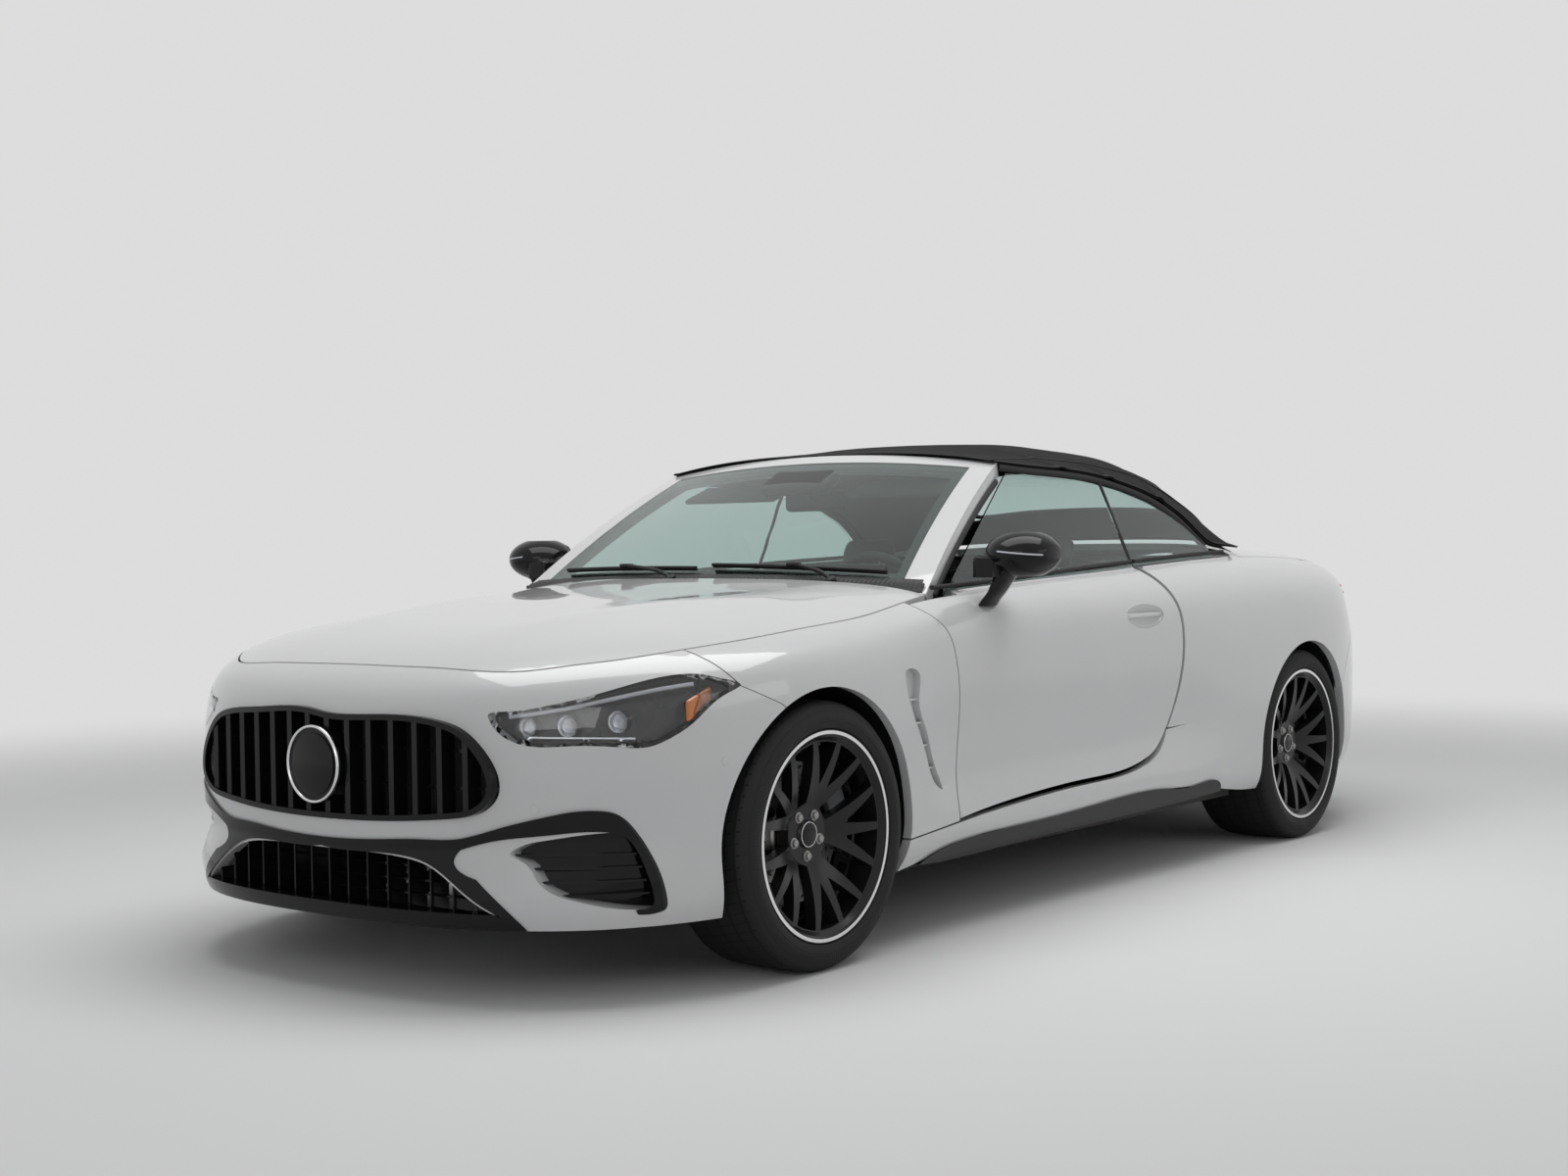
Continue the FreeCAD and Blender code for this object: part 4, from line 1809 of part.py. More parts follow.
def make_sides():
    pane, quarter_pane = make_side_glass()
    mirror = make_mirror()
    for side, hand in ((side_left, "left"), (side_right, "right")):
        make_fender(side, "fender_" + hand)
        make_quarter(side, "quarter_" + hand)
        quarter = nodes[-1]
        quarter.Shape = solid_of(quarter.Shape.cut(both_ways(quarter_pane, side)))
        make_door(side, "door_" + hand)
        door = nodes[-1]
        keep("mirror_" + hand, solid_of(both_ways(mirror, side).cut(door.Shape)))
        glass = both_ways(pane, side)
        door.Shape = solid_of(door.Shape.cut(glass))
        keep("door_glass_" + hand, glass)
    keep("quarter_glass", Part.makeCompound([quarter_pane, mirrored(quarter_pane)]))
    for thing in nodes:
        if thing.Label == "soft_top":
            shell = thing.Shape
            for label in ("quarter_left", "quarter_right", "quarter_glass"):
                shell = solid_of(shell.cut(shape_of(label)))
            thing.Shape = shell


def build_all():
    make_hood()
    make_front_bumper()
    make_sills()
    make_boot_lid()
    make_tonneau()
    make_rear_bumper()
    make_windscreen()
    make_soft_top()
    make_sides()
    make_nose_trim()
    make_vents()
    make_skirts()
    make_valance()
    make_grille()
    make_lower_grille()
    make_headlamps()
    make_tail_lamps()
    make_axles()
    make_exhaust()
    make_floor()
    make_front_structure()
    make_rear_structure()
    make_liners()
    make_seats()
    make_dashboard()
    make_steering()
    make_engine()
    make_wheels()


build_all()
doc.recompute()

failed = [thing.Label for thing in doc.Objects if "Invalid" in thing.State or "Error" in thing.State]
failed += [thing.Label for thing in nodes if thing.Shape.isNull() or not thing.Shape.isValid()]
if failed:
    raise RuntimeError("failed: " + ", ".join(failed))
os.makedirs("parts", exist_ok=True)
for thing in nodes:
    thing.Shape.exportStep("parts/" + thing.Label + ".step")
print(len(nodes), "nodes")
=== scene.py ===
# %% [markdown]
# A soft-top convertible stands on a plain floor in soft studio light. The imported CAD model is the
# fixed frame: panels, glass, wheels and cabin come from it, and this lesson adds the finishes and
# the small things that make a car look real, such as trims, lamps, stitched seats and cloth.

# %% Load the frame
import json
import math

import bpy
import numpy as np
from mathutils import Matrix, Vector
from mathutils.bvhtree import BVHTree


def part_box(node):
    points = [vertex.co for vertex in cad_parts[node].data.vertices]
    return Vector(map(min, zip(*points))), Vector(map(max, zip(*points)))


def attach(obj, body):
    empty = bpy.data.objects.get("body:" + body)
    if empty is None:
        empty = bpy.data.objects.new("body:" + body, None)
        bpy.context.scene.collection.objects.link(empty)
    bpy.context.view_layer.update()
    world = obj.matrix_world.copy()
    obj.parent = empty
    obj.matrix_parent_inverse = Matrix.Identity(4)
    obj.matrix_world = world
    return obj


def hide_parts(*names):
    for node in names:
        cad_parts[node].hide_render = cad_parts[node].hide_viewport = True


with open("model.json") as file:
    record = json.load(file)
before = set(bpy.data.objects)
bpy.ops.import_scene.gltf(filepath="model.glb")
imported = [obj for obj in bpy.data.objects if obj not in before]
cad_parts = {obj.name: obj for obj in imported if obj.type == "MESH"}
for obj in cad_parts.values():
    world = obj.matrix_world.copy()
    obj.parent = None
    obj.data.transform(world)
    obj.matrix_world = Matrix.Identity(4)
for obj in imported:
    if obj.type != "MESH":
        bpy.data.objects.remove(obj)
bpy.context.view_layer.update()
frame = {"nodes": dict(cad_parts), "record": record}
nodes = frame["nodes"]

# %% [markdown]
# The photograph was taken from the car's left front corner, a little above the headlamps. The
# camera's place and lens were worked out from the wheels, arches and panel edges.

# %% Camera
CAMERA_PLACE = (4.11513733, -5.79548232, 1.08106289)
CAMERA_DROP, CAMERA_TURN, CAMERA_ROLL = 1.14487983, 37.94655862, -0.83739144


def about(axis, degrees):
    return Matrix.Rotation(math.radians(degrees), 4, axis)


camera_data = bpy.data.cameras.new("camera")
camera_data.lens = 48.2108
camera_data.sensor_width = 36.0
camera = bpy.data.objects.new("camera", camera_data)
bpy.context.scene.collection.objects.link(camera)
aim = about("Z", CAMERA_TURN) @ about("X", 90 - CAMERA_DROP) @ about("Z", CAMERA_ROLL)
camera.matrix_world = Matrix.Translation(CAMERA_PLACE) @ aim
bpy.context.scene.camera = camera
bpy.context.scene.view_settings.view_transform = "Standard"
print("camera at", CAMERA_PLACE)

# %% [markdown]
# Operators act on whatever is selected, so every step starts with nothing selected. One helper runs
# mesh operators on all of a piece or on picked faces. A finished piece gets its place in its mesh,
# its finish, and the body that it rides on.

# %% Helpers for pieces
ops = bpy.ops.mesh
SIDES = (("left", 1), ("right", -1))
QUARTER_X, QUARTER_Y = about("X", 90), about("Y", 90)


def select_only(piece):
    if bpy.context.object and bpy.context.object.mode != "OBJECT":
        bpy.ops.object.mode_set(mode="OBJECT")
    bpy.ops.object.select_all(action="DESELECT")
    if piece:
        piece.select_set(True)
        bpy.context.view_layer.objects.active = piece


def made(operator, **options):
    """Adds a primitive at the origin with nothing else selected."""
    select_only(None)
    operator(location=(0, 0, 0), **options)
    return bpy.context.object


def edit(piece, *steps, pick=None):
    """Runs mesh operators on all of a piece, or on the faces that a test picks."""
    select_only(piece)
    bpy.ops.object.mode_set(mode="EDIT")
    ops.select_mode(type="FACE")
    ops.select_all(action="DESELECT" if pick else "SELECT")
    if pick:
        bpy.ops.object.mode_set(mode="OBJECT")
        for face in piece.data.polygons:
            face.select = bool(pick(face))
        bpy.ops.object.mode_set(mode="EDIT")
    for step in steps:
        step()
    bpy.ops.object.mode_set(mode="OBJECT")
    return piece


def drop_faces(piece, unwanted):
    return edit(piece, lambda: ops.delete(type="FACE"), pick=unwanted)


def face_outwards(piece):
    return edit(piece, lambda: ops.normals_make_consistent(inside=False))


def settle(piece, name, finish, body, slot, smooth=35):
    """Bakes the place into the mesh, and gives the piece its name, finish and body."""
    select_only(piece)
    bpy.ops.object.transform_apply(location=True, rotation=True, scale=True)
    if smooth:
        bpy.ops.object.shade_smooth_by_angle(angle=math.radians(smooth))
    piece.name = name
    piece.data.name = name
    piece.data.materials.clear()
    piece.data.materials.append(finish)
    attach(piece, body)
    return piece


def mirror_copy(piece):
    """The same piece on the car's other side, with its faces turned outwards again."""
    select_only(piece)
    bpy.ops.object.duplicate()
    other = bpy.context.object
    return edit(other, lambda: bpy.ops.transform.resize(value=(-1, 1, 1), center_override=(0, 0, 0)),
                ops.flip_normals)


def pair(piece, name, finish, body, slot, smooth=35):
    """Settles a left piece and its mirror copy; a body name may hold a place for the side."""
    both = piece, mirror_copy(piece)
    for one, (hand, _) in zip(both, SIDES):
        settle(one, name + "_" + hand, finish, body.replace("SIDE", hand), slot, smooth)
    return both


def apply_all(piece):
    select_only(piece)
    for modifier in list(piece.modifiers):
        bpy.ops.object.modifier_apply(modifier=modifier.name)
    return piece


def modified(piece, kind, **settings):
    """Adds one modifier with its settings and applies it."""
    modifier = piece.modifiers.new(kind.lower(), kind)
    for key, value in settings.items():
        setattr(modifier, key, value)
    return apply_all(piece)


def thicken(piece, thickness):
    """Gives a laid grid its thickness, inwards."""
    return modified(piece, "SOLIDIFY", thickness=thickness, offset=-1.0)


def join(pieces):
    select_only(None)
    for piece in pieces:
        piece.select_set(True)
    bpy.context.view_layer.objects.active = pieces[0]
    bpy.ops.object.join()
    return bpy.context.object


def leaned(piece, angle, spot):
    """Turns a piece about the car's cross axis, by radians, and moves it to its place."""
    piece.data.transform(Matrix.Translation(spot) @ Matrix.Rotation(angle, 4, "X"))
    return piece


def onto_axis(axis):
    return Vector((0, 0, 1)).rotation_difference(Vector(axis)).to_matrix().to_4x4()


def rounded_block(centre, size, bevel, segments=3):
    """A cube at its size and place, with rounded edges."""
    piece = made(ops.primitive_cube_add, size=1)
    piece.data.transform(Matrix.Translation(centre) @ Matrix.Diagonal((*size, 1)))
    return edit(piece, lambda: ops.bevel(offset=bevel, segments=segments, affect="EDGES"))


def turned_drum(centre, radius, depth, axis, bevel, sides=32):
    """A cylinder along an axis whose rims are rounded."""
    piece = made(ops.primitive_cylinder_add, radius=radius, depth=depth, vertices=sides)
    piece.data.transform(Matrix.Translation(centre) @ onto_axis(axis))
    return edit(piece, lambda: ops.bevel(offset=bevel, segments=3, affect="EDGES"),
                pick=lambda face: abs(face.normal.dot(Vector(axis))) > 0.9)


def ring(centre, major, minor, turn=Matrix(), sides=48, around=10, tall=1.0):
    """A torus, made tall along its axis where asked, and then turned."""
    piece = made(ops.primitive_torus_add, major_radius=major, minor_radius=minor, major_segments=sides,
                 minor_segments=around)
    piece.data.transform(Matrix.Translation(centre) @ turn @ Matrix.Diagonal((1, 1, tall, 1)))
    return piece


def strip(points, width, closed=False):
    """A smooth rail through points, with a rounded section."""
    data = bpy.data.curves.new("rail", "CURVE")
    data.dimensions = "3D"
    line = data.splines.new("NURBS")
    line.points.add(len(points) - 1)
    for point, place in zip(line.points, points):
        point.co = (*place, 1)
    line.order_u = 3
    line.use_endpoint_u = not closed
    line.use_cyclic_u = closed
    data.bevel_depth = width / 2
    data.bevel_resolution = 3
    data.resolution_u = 6
    data.use_fill_caps = True
    piece = bpy.data.objects.new("rail", data)
    bpy.context.scene.collection.objects.link(piece)
    select_only(piece)
    bpy.ops.object.convert(target="MESH")
    return bpy.context.object


def laid_grid(columns, rows, place, inside=(0, 0, 0.6)):
    """A grid whose corners go where place(u, v) says, with its face turned away from a point."""
    piece = made(ops.primitive_grid_add, x_subdivisions=columns, y_subdivisions=rows, size=2)
    for vertex in piece.data.vertices:
        vertex.co = place((vertex.co.x + 1) / 2, (vertex.co.y + 1) / 2)
    piece.data.update()
    outward = sum((f.center - Vector(inside)).normalized().dot(f.normal) * f.area for f in piece.data.polygons)
    return edit(piece, ops.flip_normals) if outward < 0 else piece


def tree_of(mesh):
    """A search tree of a mesh, for finding the skin that a trim lies on."""
    return BVHTree.FromPolygons([v.co.copy() for v in mesh.vertices], [list(p.vertices) for p in mesh.polygons])


def skin_from(tree, start, way):
    return tree.ray_cast(Vector(start), Vector(way))[:2]


def node_tree(name):
    return tree_of(nodes[name].data)


def found(points):
    return [point for point in points if point is not None]


print("helpers ready")

# %% [markdown]
# Real finishes are never one flat colour. Four effects are shared: a grain that varies colour and
# roughness, dust that gathers low on the car, a woven cloth, and rings turned round an axle. Each is
# a node group that puts out only a mask or a height. A field stands for a number that varies over a
# surface, so that sums and products of fields read like plain sums and build the nodes.

# %% Shared effects as node groups
class Field:
    """A number that varies over a surface."""

    def __init__(self, socket):
        self.socket = socket

    def then(self, kind, other=None, before=None):
        node = self.socket.id_data.nodes.new("ShaderNodeMath")
        node.operation = kind
        for socket, value in zip(node.inputs, (self, other) if before is None else (before, self)):
            if value is not None:
                wire(value, socket)
        return Field(node.outputs[0])

    def __add__(self, other):
        return self.then("ADD", other)

    def __sub__(self, other):
        return self.then("SUBTRACT", other)

    def __rsub__(self, other):
        return self.then("SUBTRACT", before=other)

    def __mul__(self, other):
        return self.then("MULTIPLY", other)

    def __truediv__(self, other):
        return self.then("DIVIDE", other)

    def __gt__(self, other):
        return self.then("GREATER_THAN", other)

    def wave(self):
        return self.then("SINE")

    def held(self):
        """The same field, held between 0 and 1."""
        self.socket.node.use_clamp = True
        return self


def wire(value, socket):
    """Links a field or a socket, or sets a plain value."""
    value = value.socket if isinstance(value, Field) else value
    if isinstance(value, bpy.types.NodeSocket):
        socket.id_data.links.new(value, socket)
    else:
        socket.default_value = value


def new_node(tree, kind, **values):
    node = tree.nodes.new("ShaderNode" + kind)
    for label, value in values.items():
        wire(value, node.inputs[label.replace("_", " ")])
    return node


def new_group(name, inputs, outputs):
    group = bpy.data.node_groups.new(name, "ShaderNodeTree")
    for label, value in inputs.items():
        kind = "NodeSocketVector" if label == "Vector" else "NodeSocketFloat"
        group.interface.new_socket(name=label, in_out="INPUT", socket_type=kind).default_value = value
    for label in outputs:
        group.interface.new_socket(name=label, in_out="OUTPUT", socket_type="NodeSocketFloat")
    sources = group.nodes.new("NodeGroupInput").outputs
    return group, {label: Field(sources[label]) for label in inputs}, group.nodes.new("NodeGroupOutput").inputs


def axes_of(tree, vector):
    """The three fields of a place."""
    return [Field(out) for out in new_node(tree, "SeparateXYZ", Vector=vector).outputs]


ORIGIN = (0, 0, 0)
grain_group, value, ends = new_group("grain", {"Vector": ORIGIN, "Scale": 20.0, "Contrast": 1.0}, ["Mask"])
noise = new_node(grain_group, "TexNoise", Vector=value["Vector"], Scale=value["Scale"], Detail=5)
wire(((Field(noise.outputs["Fac"]) - 0.5) * value["Contrast"] + 0.5).held(), ends["Mask"])

dust_group, value, ends = new_group("road_dust", {"Vector": ORIGIN, "Height": 0.5, "Amount": 0.3}, ["Mask"])
noise = new_node(dust_group, "TexNoise", Vector=value["Vector"], Scale=9, Detail=7)
low = (1.0 - axes_of(dust_group, value["Vector"])[2] / value["Height"]).held()
wire((low * noise.outputs["Fac"] * value["Amount"]).held(), ends["Mask"])

weave_group, value, ends = new_group("weave", {"Vector": ORIGIN, "Scale": 400.0}, ["Height", "Mask"])
threads = []
for direction in ("X", "Y"):
    wave = new_node(weave_group, "TexWave", Vector=value["Vector"], Scale=value["Scale"], Distortion=0.4)
    wave.bands_direction = direction
    threads.append(Field(wave.outputs["Fac"]))
both = threads[0] * threads[1]
wire(both, ends["Height"])
# The Mask marks the raised thread crossings and is used to paint a highlight on them.
wire(both.then("POWER", 0.5), ends["Mask"])

axle_group, value, ends = new_group("round_axle", {"Vector": ORIGIN}, ["Radius", "Turn", "Across"])
x, y, z = axes_of(axle_group, value["Vector"])
wire((y.then("POWER", 2.0) + z.then("POWER", 2.0)).then("SQRT"), ends["Radius"])
wire(z.then("ARCTAN2", y), ends["Turn"])
wire(x.then("ABSOLUTE"), ends["Across"])
print("node groups:", [g.name for g in bpy.data.node_groups])

# %% [markdown]
# Each finish starts from the same base: a colour that drifts a little towards a second colour, a
# roughness that varies, a fine bump, and dust near the road. Constants sit on the shader's sockets.

# %% A base finish
DUST_COLOUR = (0.23, 0.2, 0.17)


def mix_colour(mask, a, b):
    node = mask.socket.id_data.nodes.new("ShaderNodeMix")
    node.data_type = "RGBA"
    colours = [s for s in node.inputs if s.type == "RGBA"]
    wire(mask, node.inputs["Factor"])
    for value, socket in zip((a, b), colours):
        wire((*value, 1) if isinstance(value, tuple) else value, socket)
    return [s for s in node.outputs if s.type == "RGBA"][0]


def span(mask, low, high):
    node = new_node(mask.socket.id_data, "MapRange", Value=mask, To_Min=low, To_Max=high)
    return Field(node.outputs["Result"])


def bump(height, strength, distance, normal=None):
    node = new_node(height.socket.id_data, "Bump", Strength=strength, Distance=distance, Height=height)
    if normal:
        wire(normal, node.inputs["Normal"])
    return node.outputs["Normal"]


def between(value, low, high, soft):
    """A mask that is 1 between two values and fades over a soft edge."""
    return ((value - low) / soft).held() * ((high - value) / soft).held()


class Look:
    """A material with the means to place effects on it."""

    def __init__(self, name, centre=None):
        self.material = bpy.data.materials.new(name)
        self.material.use_nodes = True
        self.tree = self.material.node_tree
        self.place = self.tree.nodes.new("ShaderNodeTexCoord").outputs["Object"]
        if centre:
            moved = new_node(self.tree, "Mapping", Vector=self.place, Location=tuple(-v for v in centre))
            self.place = moved.outputs["Vector"]

    def put(self, **values):
        """Sets or links sockets of the shader."""
        for label, value in values.items():
            wire(value, self.tree.nodes["Principled BSDF"].inputs[label.replace("_", " ")])

    def effect(self, group, **values):
        """The outputs of a shared effect at this material's places."""
        node = self.tree.nodes.new("ShaderNodeGroup")
        node.node_tree = group
        for label, value in dict(values, Vector=self.place).items():
            wire(value, node.inputs[label])
        return {socket.name: Field(socket) for socket in node.outputs}

    def grain(self, scale, contrast):
        return self.effect(grain_group, Scale=scale, Contrast=contrast)["Mask"]


def base_finish(name, colour, second, rough, grain=12.0, fine=900.0, depth=0.00002, dust=0.0, dust_height=0.5,
                metallic=0.0, coat=0.0, coat_rough=0.03, specular=0.5, centre=None):
    """A look that keeps its colour and normal, so that special finishes can build on them."""
    look = Look(name, centre)
    drift = look.grain(grain, 1.4)
    look.base, roughness = mix_colour(drift, colour, second), span(drift, *rough)
    if dust:
        mask = look.effect(dust_group, Height=dust_height, Amount=dust)["Mask"]
        look.base, roughness = mix_colour(mask, look.base, DUST_COLOUR), (roughness + mask * 0.4).held()
    look.normal = bump(look.grain(fine, 1.0), 0.4, depth)
    look.put(Metallic=metallic, Coat_Weight=coat, Coat_Roughness=coat_rough, Specular_IOR_Level=specular,
             Base_Color=look.base, Roughness=roughness, Normal=look.normal)
    return look


def plain(*args, **options):
    return base_finish(*args, **options).material


print("base finish ready")

# %% [markdown]
# The body is a pale pearl white under clear lacquer. Fine flakes drift the colour, and the lacquer
# has a faint orange-peel ripple, which shows only in reflections.

# %% Paint, gloss black and plastics
look = base_finish("pearl_paint", (0.56, 0.565, 0.57), (0.59, 0.59, 0.588), (0.3, 0.36), grain=3.0, fine=1400.0,
                   depth=0.00001, dust=0.08, dust_height=0.42, coat=1.0, coat_rough=0.02)
look.put(Base_Color=mix_colour(span(look.grain(2600.0, 3.0), 0.0, 0.1), look.base, (0.72, 0.72, 0.745)),
         Coat_Normal=bump(look.grain(260.0, 1.0), 0.1, 0.0001))
paint = look.material
gloss_black = plain("gloss_black", (0.004, 0.004, 0.005), (0.007, 0.007, 0.008), (0.08, 0.14), dust=0.02,
                    dust_height=0.3, specular=0.25)
satin_black = plain("satin_black", (0.01, 0.01, 0.011), (0.016, 0.016, 0.017), (0.4, 0.55), fine=700.0,
                    depth=0.00008, dust=0.05, dust_height=0.4, specular=0.3)
chassis_black = plain("chassis_black", (0.012, 0.012, 0.013), (0.02, 0.02, 0.019), (0.5, 0.7), grain=18.0,
                      dust=0.2, dust_height=0.5, specular=0.3)
chrome = plain("satin_chrome", (0.78, 0.78, 0.79), (0.7, 0.7, 0.71), (0.12, 0.22), metallic=1.0)
mirror_face = plain("mirror_face", (0.85, 0.87, 0.88), (0.83, 0.85, 0.87), (0.0, 0.03), metallic=1.0,
                    depth=0.000002)
print("paint and plastics ready")

# %% [markdown]
# Wheels read best when their finish knows the axle: the rim's outer ring is machined bright, the
# tyre's wall has moulded rings and its tread has grooves, painted near-black as painted shade, and the
# disc is turned and drilled, its holes painted near-black as painted shade.

# %% Wheel finishes
AXLES = {"front": (0.0, -1.551, 0.345), "rear": (0.0, 1.324, 0.341)}
TYRES = {"front": (0.346, 0.1325), "rear": (0.342, 0.1475)}
TYRE_SIDE, GROOVE_STEP = 0.942, 0.048


def wheel_finishes(end):
    centre, (tyre_radius, half_width) = AXLES[end], TYRES[end]
    rim = base_finish("wheel_black_" + end, (0.005, 0.005, 0.006), (0.009, 0.009, 0.01), (0.16, 0.26),
                      dust=0.04, dust_height=0.1, specular=0.3, centre=centre)
    radius = rim.effect(axle_group)["Radius"]
    lip = between(radius, 0.2585, 0.268, 0.0006)
    rim.put(Base_Color=mix_colour(lip, rim.base, (0.8, 0.8, 0.8)), Metallic=lip,
            Normal=bump((radius * 9000.0).wave() * lip, 0.3, 0.00004))
    tyre = base_finish("tyre_rubber_" + end, (0.009, 0.009, 0.009), (0.014, 0.0135, 0.013), (0.6, 0.75),
                       fine=500.0, depth=0.0001, specular=0.3, centre=centre)
    radius, turn, across = tyre.effect(axle_group).values()
    rings = between(radius, 0.292, 0.296, 0.001) + between(radius, 0.318, 0.3195, 0.0006)
    rings = rings + (turn * 230.0).wave() * between(radius, 0.298, 0.309, 0.001) * 0.35
    tread = between(radius, tyre_radius - 0.007, tyre_radius + 0.02, 0.002)
    offset = across - (TYRE_SIDE - half_width)
    groove_and_shade = (offset * (2 * math.pi / GROOVE_STEP)).then("COSINE") > 0.86
    groove_and_shade = groove_and_shade.then("MAXIMUM", (turn * 74.0 + offset * 55.0).wave() > 0.93) * tread
    # The tread's grooves are painted near-black, which is painted shade in the recesses, besides their bump.
    tyre.put(Base_Color=mix_colour(groove_and_shade, tyre.base, (0.004, 0.004, 0.004)),
             Normal=bump(rings - groove_and_shade * 4.0, 1.0, 0.0012, tyre.normal))
    disc = base_finish("brake_iron_" + end, (0.36, 0.35, 0.34), (0.46, 0.45, 0.44), (0.28, 0.4), metallic=1.0,
                       centre=centre)
    radius, turn, _ = disc.effect(axle_group).values()
    holes_and_shade = ((turn * 30.0 + radius * 210.0).wave() > 0.72) * ((radius * 340.0).wave() > 0.3)
    holes_and_shade = holes_and_shade * between(radius, 0.105, 0.177, 0.002)
    # The drilled holes are painted near-black, which is painted shade inside them, besides their bump.
    disc.put(Base_Color=mix_colour(holes_and_shade, disc.base, (0.01, 0.01, 0.01)),
             Normal=bump((radius * 5200.0).wave() - holes_and_shade * 8.0, 0.4, 0.0001))
    return {"rim": rim.material, "tyre": tyre.material, "brake_disc": disc.material}


wheel_finish = {end: wheel_finishes(end) for end in AXLES}
caliper_grey = plain("caliper_grey", (0.38, 0.39, 0.41), (0.44, 0.45, 0.46), (0.3, 0.42), metallic=0.7)
cast_metal = plain("cast_metal", (0.3, 0.3, 0.3), (0.4, 0.39, 0.38), (0.45, 0.65), metallic=1.0, fine=300.0,
                   depth=0.0003)
exhaust_steel = plain("exhaust_steel", (0.5, 0.48, 0.46), (0.62, 0.6, 0.58), (0.18, 0.4), metallic=1.0)
print("wheel finishes:", list(wheel_finish))

# %% [markdown]
# Glass is clear with a light green tint and a plain transmission. The cloth of the soft top is a
# tight black weave, and the cabin is dark leather with pores and soft-touch plastic.

# %% Glass, lenses, cloth and leather
def glass_finish(name, tint):
    look = Look(name)
    smear = look.grain(7.0, 1.6)
    look.put(Transmission_Weight=1.0, IOR=1.45, Metallic=0.0, Roughness=span(smear, 0.0, 0.012),
             Base_Color=mix_colour(smear, tint, tuple(v * 0.985 for v in tint)))
    return look.material


def woven(look, scale, strength, distance, crossing_highlight=None):
    """Lays a weave on a look; where asked, its raised thread crossings are painted lighter, a painted highlight.
    """
    weave = look.effect(weave_group, Scale=scale)
    if crossing_highlight:
        look.put(Base_Color=mix_colour(weave["Mask"], look.base, crossing_highlight))
    look.put(Normal=bump(weave["Height"], strength, distance))
    return look.material


window_glass = glass_finish("window_glass", (0.66, 0.78, 0.75))
lamp_glass = glass_finish("lamp_glass", (0.94, 0.95, 0.96))
look = base_finish("red_lens", (0.25, 0.004, 0.006), (0.33, 0.008, 0.01), (0.1, 0.18), coat=1.0)
look.put(Normal=bump((axes_of(look.tree, look.place)[2] * 700.0).wave(), 0.5, 0.0005))
red_lens = look.material
# The soft top's raised thread crossings are painted lighter: a painted highlight on the weave.
cloth = woven(base_finish("soft_top_cloth", (0.005, 0.005, 0.006), (0.009, 0.009, 0.01), (0.85, 0.95),
                          grain=6.0, specular=0.2), 330.0, 0.6, 0.0004, (0.014, 0.014, 0.015))
look = base_finish("cabin_leather", (0.02, 0.019, 0.019), (0.032, 0.03, 0.029), (0.42, 0.55), grain=5.0)
pores = new_node(look.tree, "TexVoronoi", Vector=look.place, Scale=420.0)
look.put(Normal=bump(Field(pores.outputs["Distance"]), 0.5, 0.0005))
leather = look.material
cabin_plastic = plain("cabin_plastic", (0.014, 0.014, 0.015), (0.02, 0.02, 0.021), (0.5, 0.65), fine=1100.0,
                      depth=0.0001)
print("glass, cloth and leather ready")

# %% [markdown]
# Small pieces need their own finishes: sewn cloth with a row of stitches that follows the piece's UV
# map, soft rubber, fired black, and the lamps' bright and amber parts.

# %% Finishes of the small pieces
STITCHES = 240
look = base_finish("sewn_cloth", (0.006, 0.006, 0.007), (0.01, 0.01, 0.011), (0.8, 0.92), grain=8.0)
uv = look.tree.nodes.new("ShaderNodeUVMap")
uv.uv_map = "UVMap"
run, over, _ = axes_of(look.tree, uv.outputs["UV"])
row = between((over - 0.5).then("ABSOLUTE"), 0.25, 0.33, 0.02)
stitch = ((run * (2 * math.pi * STITCHES)).wave() > -0.3) * row
height = look.effect(weave_group, Scale=330.0)["Height"] + stitch * 2.0
look.put(Base_Color=mix_colour(stitch, look.base, (0.024, 0.024, 0.026)), Normal=bump(height, 0.7, 0.0005))
seam_cloth = look.material
rubber = plain("rubber", (0.012, 0.012, 0.012), (0.02, 0.02, 0.02), (0.62, 0.78), fine=600.0, depth=0.00006)
band_black = plain("fired_black", (0.006, 0.006, 0.006), (0.01, 0.01, 0.01), (0.35, 0.5))
look = base_finish("cowl_black", (0.016, 0.016, 0.017), (0.024, 0.024, 0.025), (0.5, 0.65))
look.put(Normal=bump((axes_of(look.tree, look.place)[0] * 420.0).wave(), 0.8, 0.002, look.normal))
cowl_black = look.material
lining_cloth = woven(base_finish("headliner_cloth", (0.05, 0.05, 0.052), (0.065, 0.065, 0.067), (0.85, 0.95),
                                 grain=5.0), 700.0, 0.4, 0.0002)
lamp_bowl = plain("lamp_bowl", (0.008, 0.008, 0.009), (0.014, 0.014, 0.015), (0.2, 0.32), specular=0.4)
lamp_metal = plain("lamp_metal", (0.6, 0.62, 0.64), (0.7, 0.71, 0.73), (0.14, 0.26), metallic=1.0)
light_guide = plain("light_guide", (0.6, 0.62, 0.65), (0.5, 0.52, 0.55), (0.2, 0.3), coat=0.6)
amber = plain("amber_reflector", (0.5, 0.13, 0.012), (0.6, 0.17, 0.02), (0.15, 0.25), coat=1.0)
plate_blank = plain("blank_plate", (0.74, 0.75, 0.75), (0.7, 0.71, 0.71), (0.35, 0.5), fine=400.0,
                    depth=0.00005)
carpet = plain("carpet", (0.014, 0.014, 0.015), (0.03, 0.03, 0.031), (0.9, 1.0), grain=60.0, fine=1800.0,
               depth=0.0015)
red_glow = plain("red_light_bar", (0.55, 0.012, 0.014), (0.65, 0.02, 0.02), (0.15, 0.25), coat=1.0)
display_black = plain("display_black", (0.004, 0.004, 0.005), (0.007, 0.007, 0.009), (0.06, 0.12), coat=1.0)
print("small finishes ready")

# %% [markdown]
# The CAD nodes keep their shapes and get their finishes here, one per record slot, and their flat
# shading is left as it came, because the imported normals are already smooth.

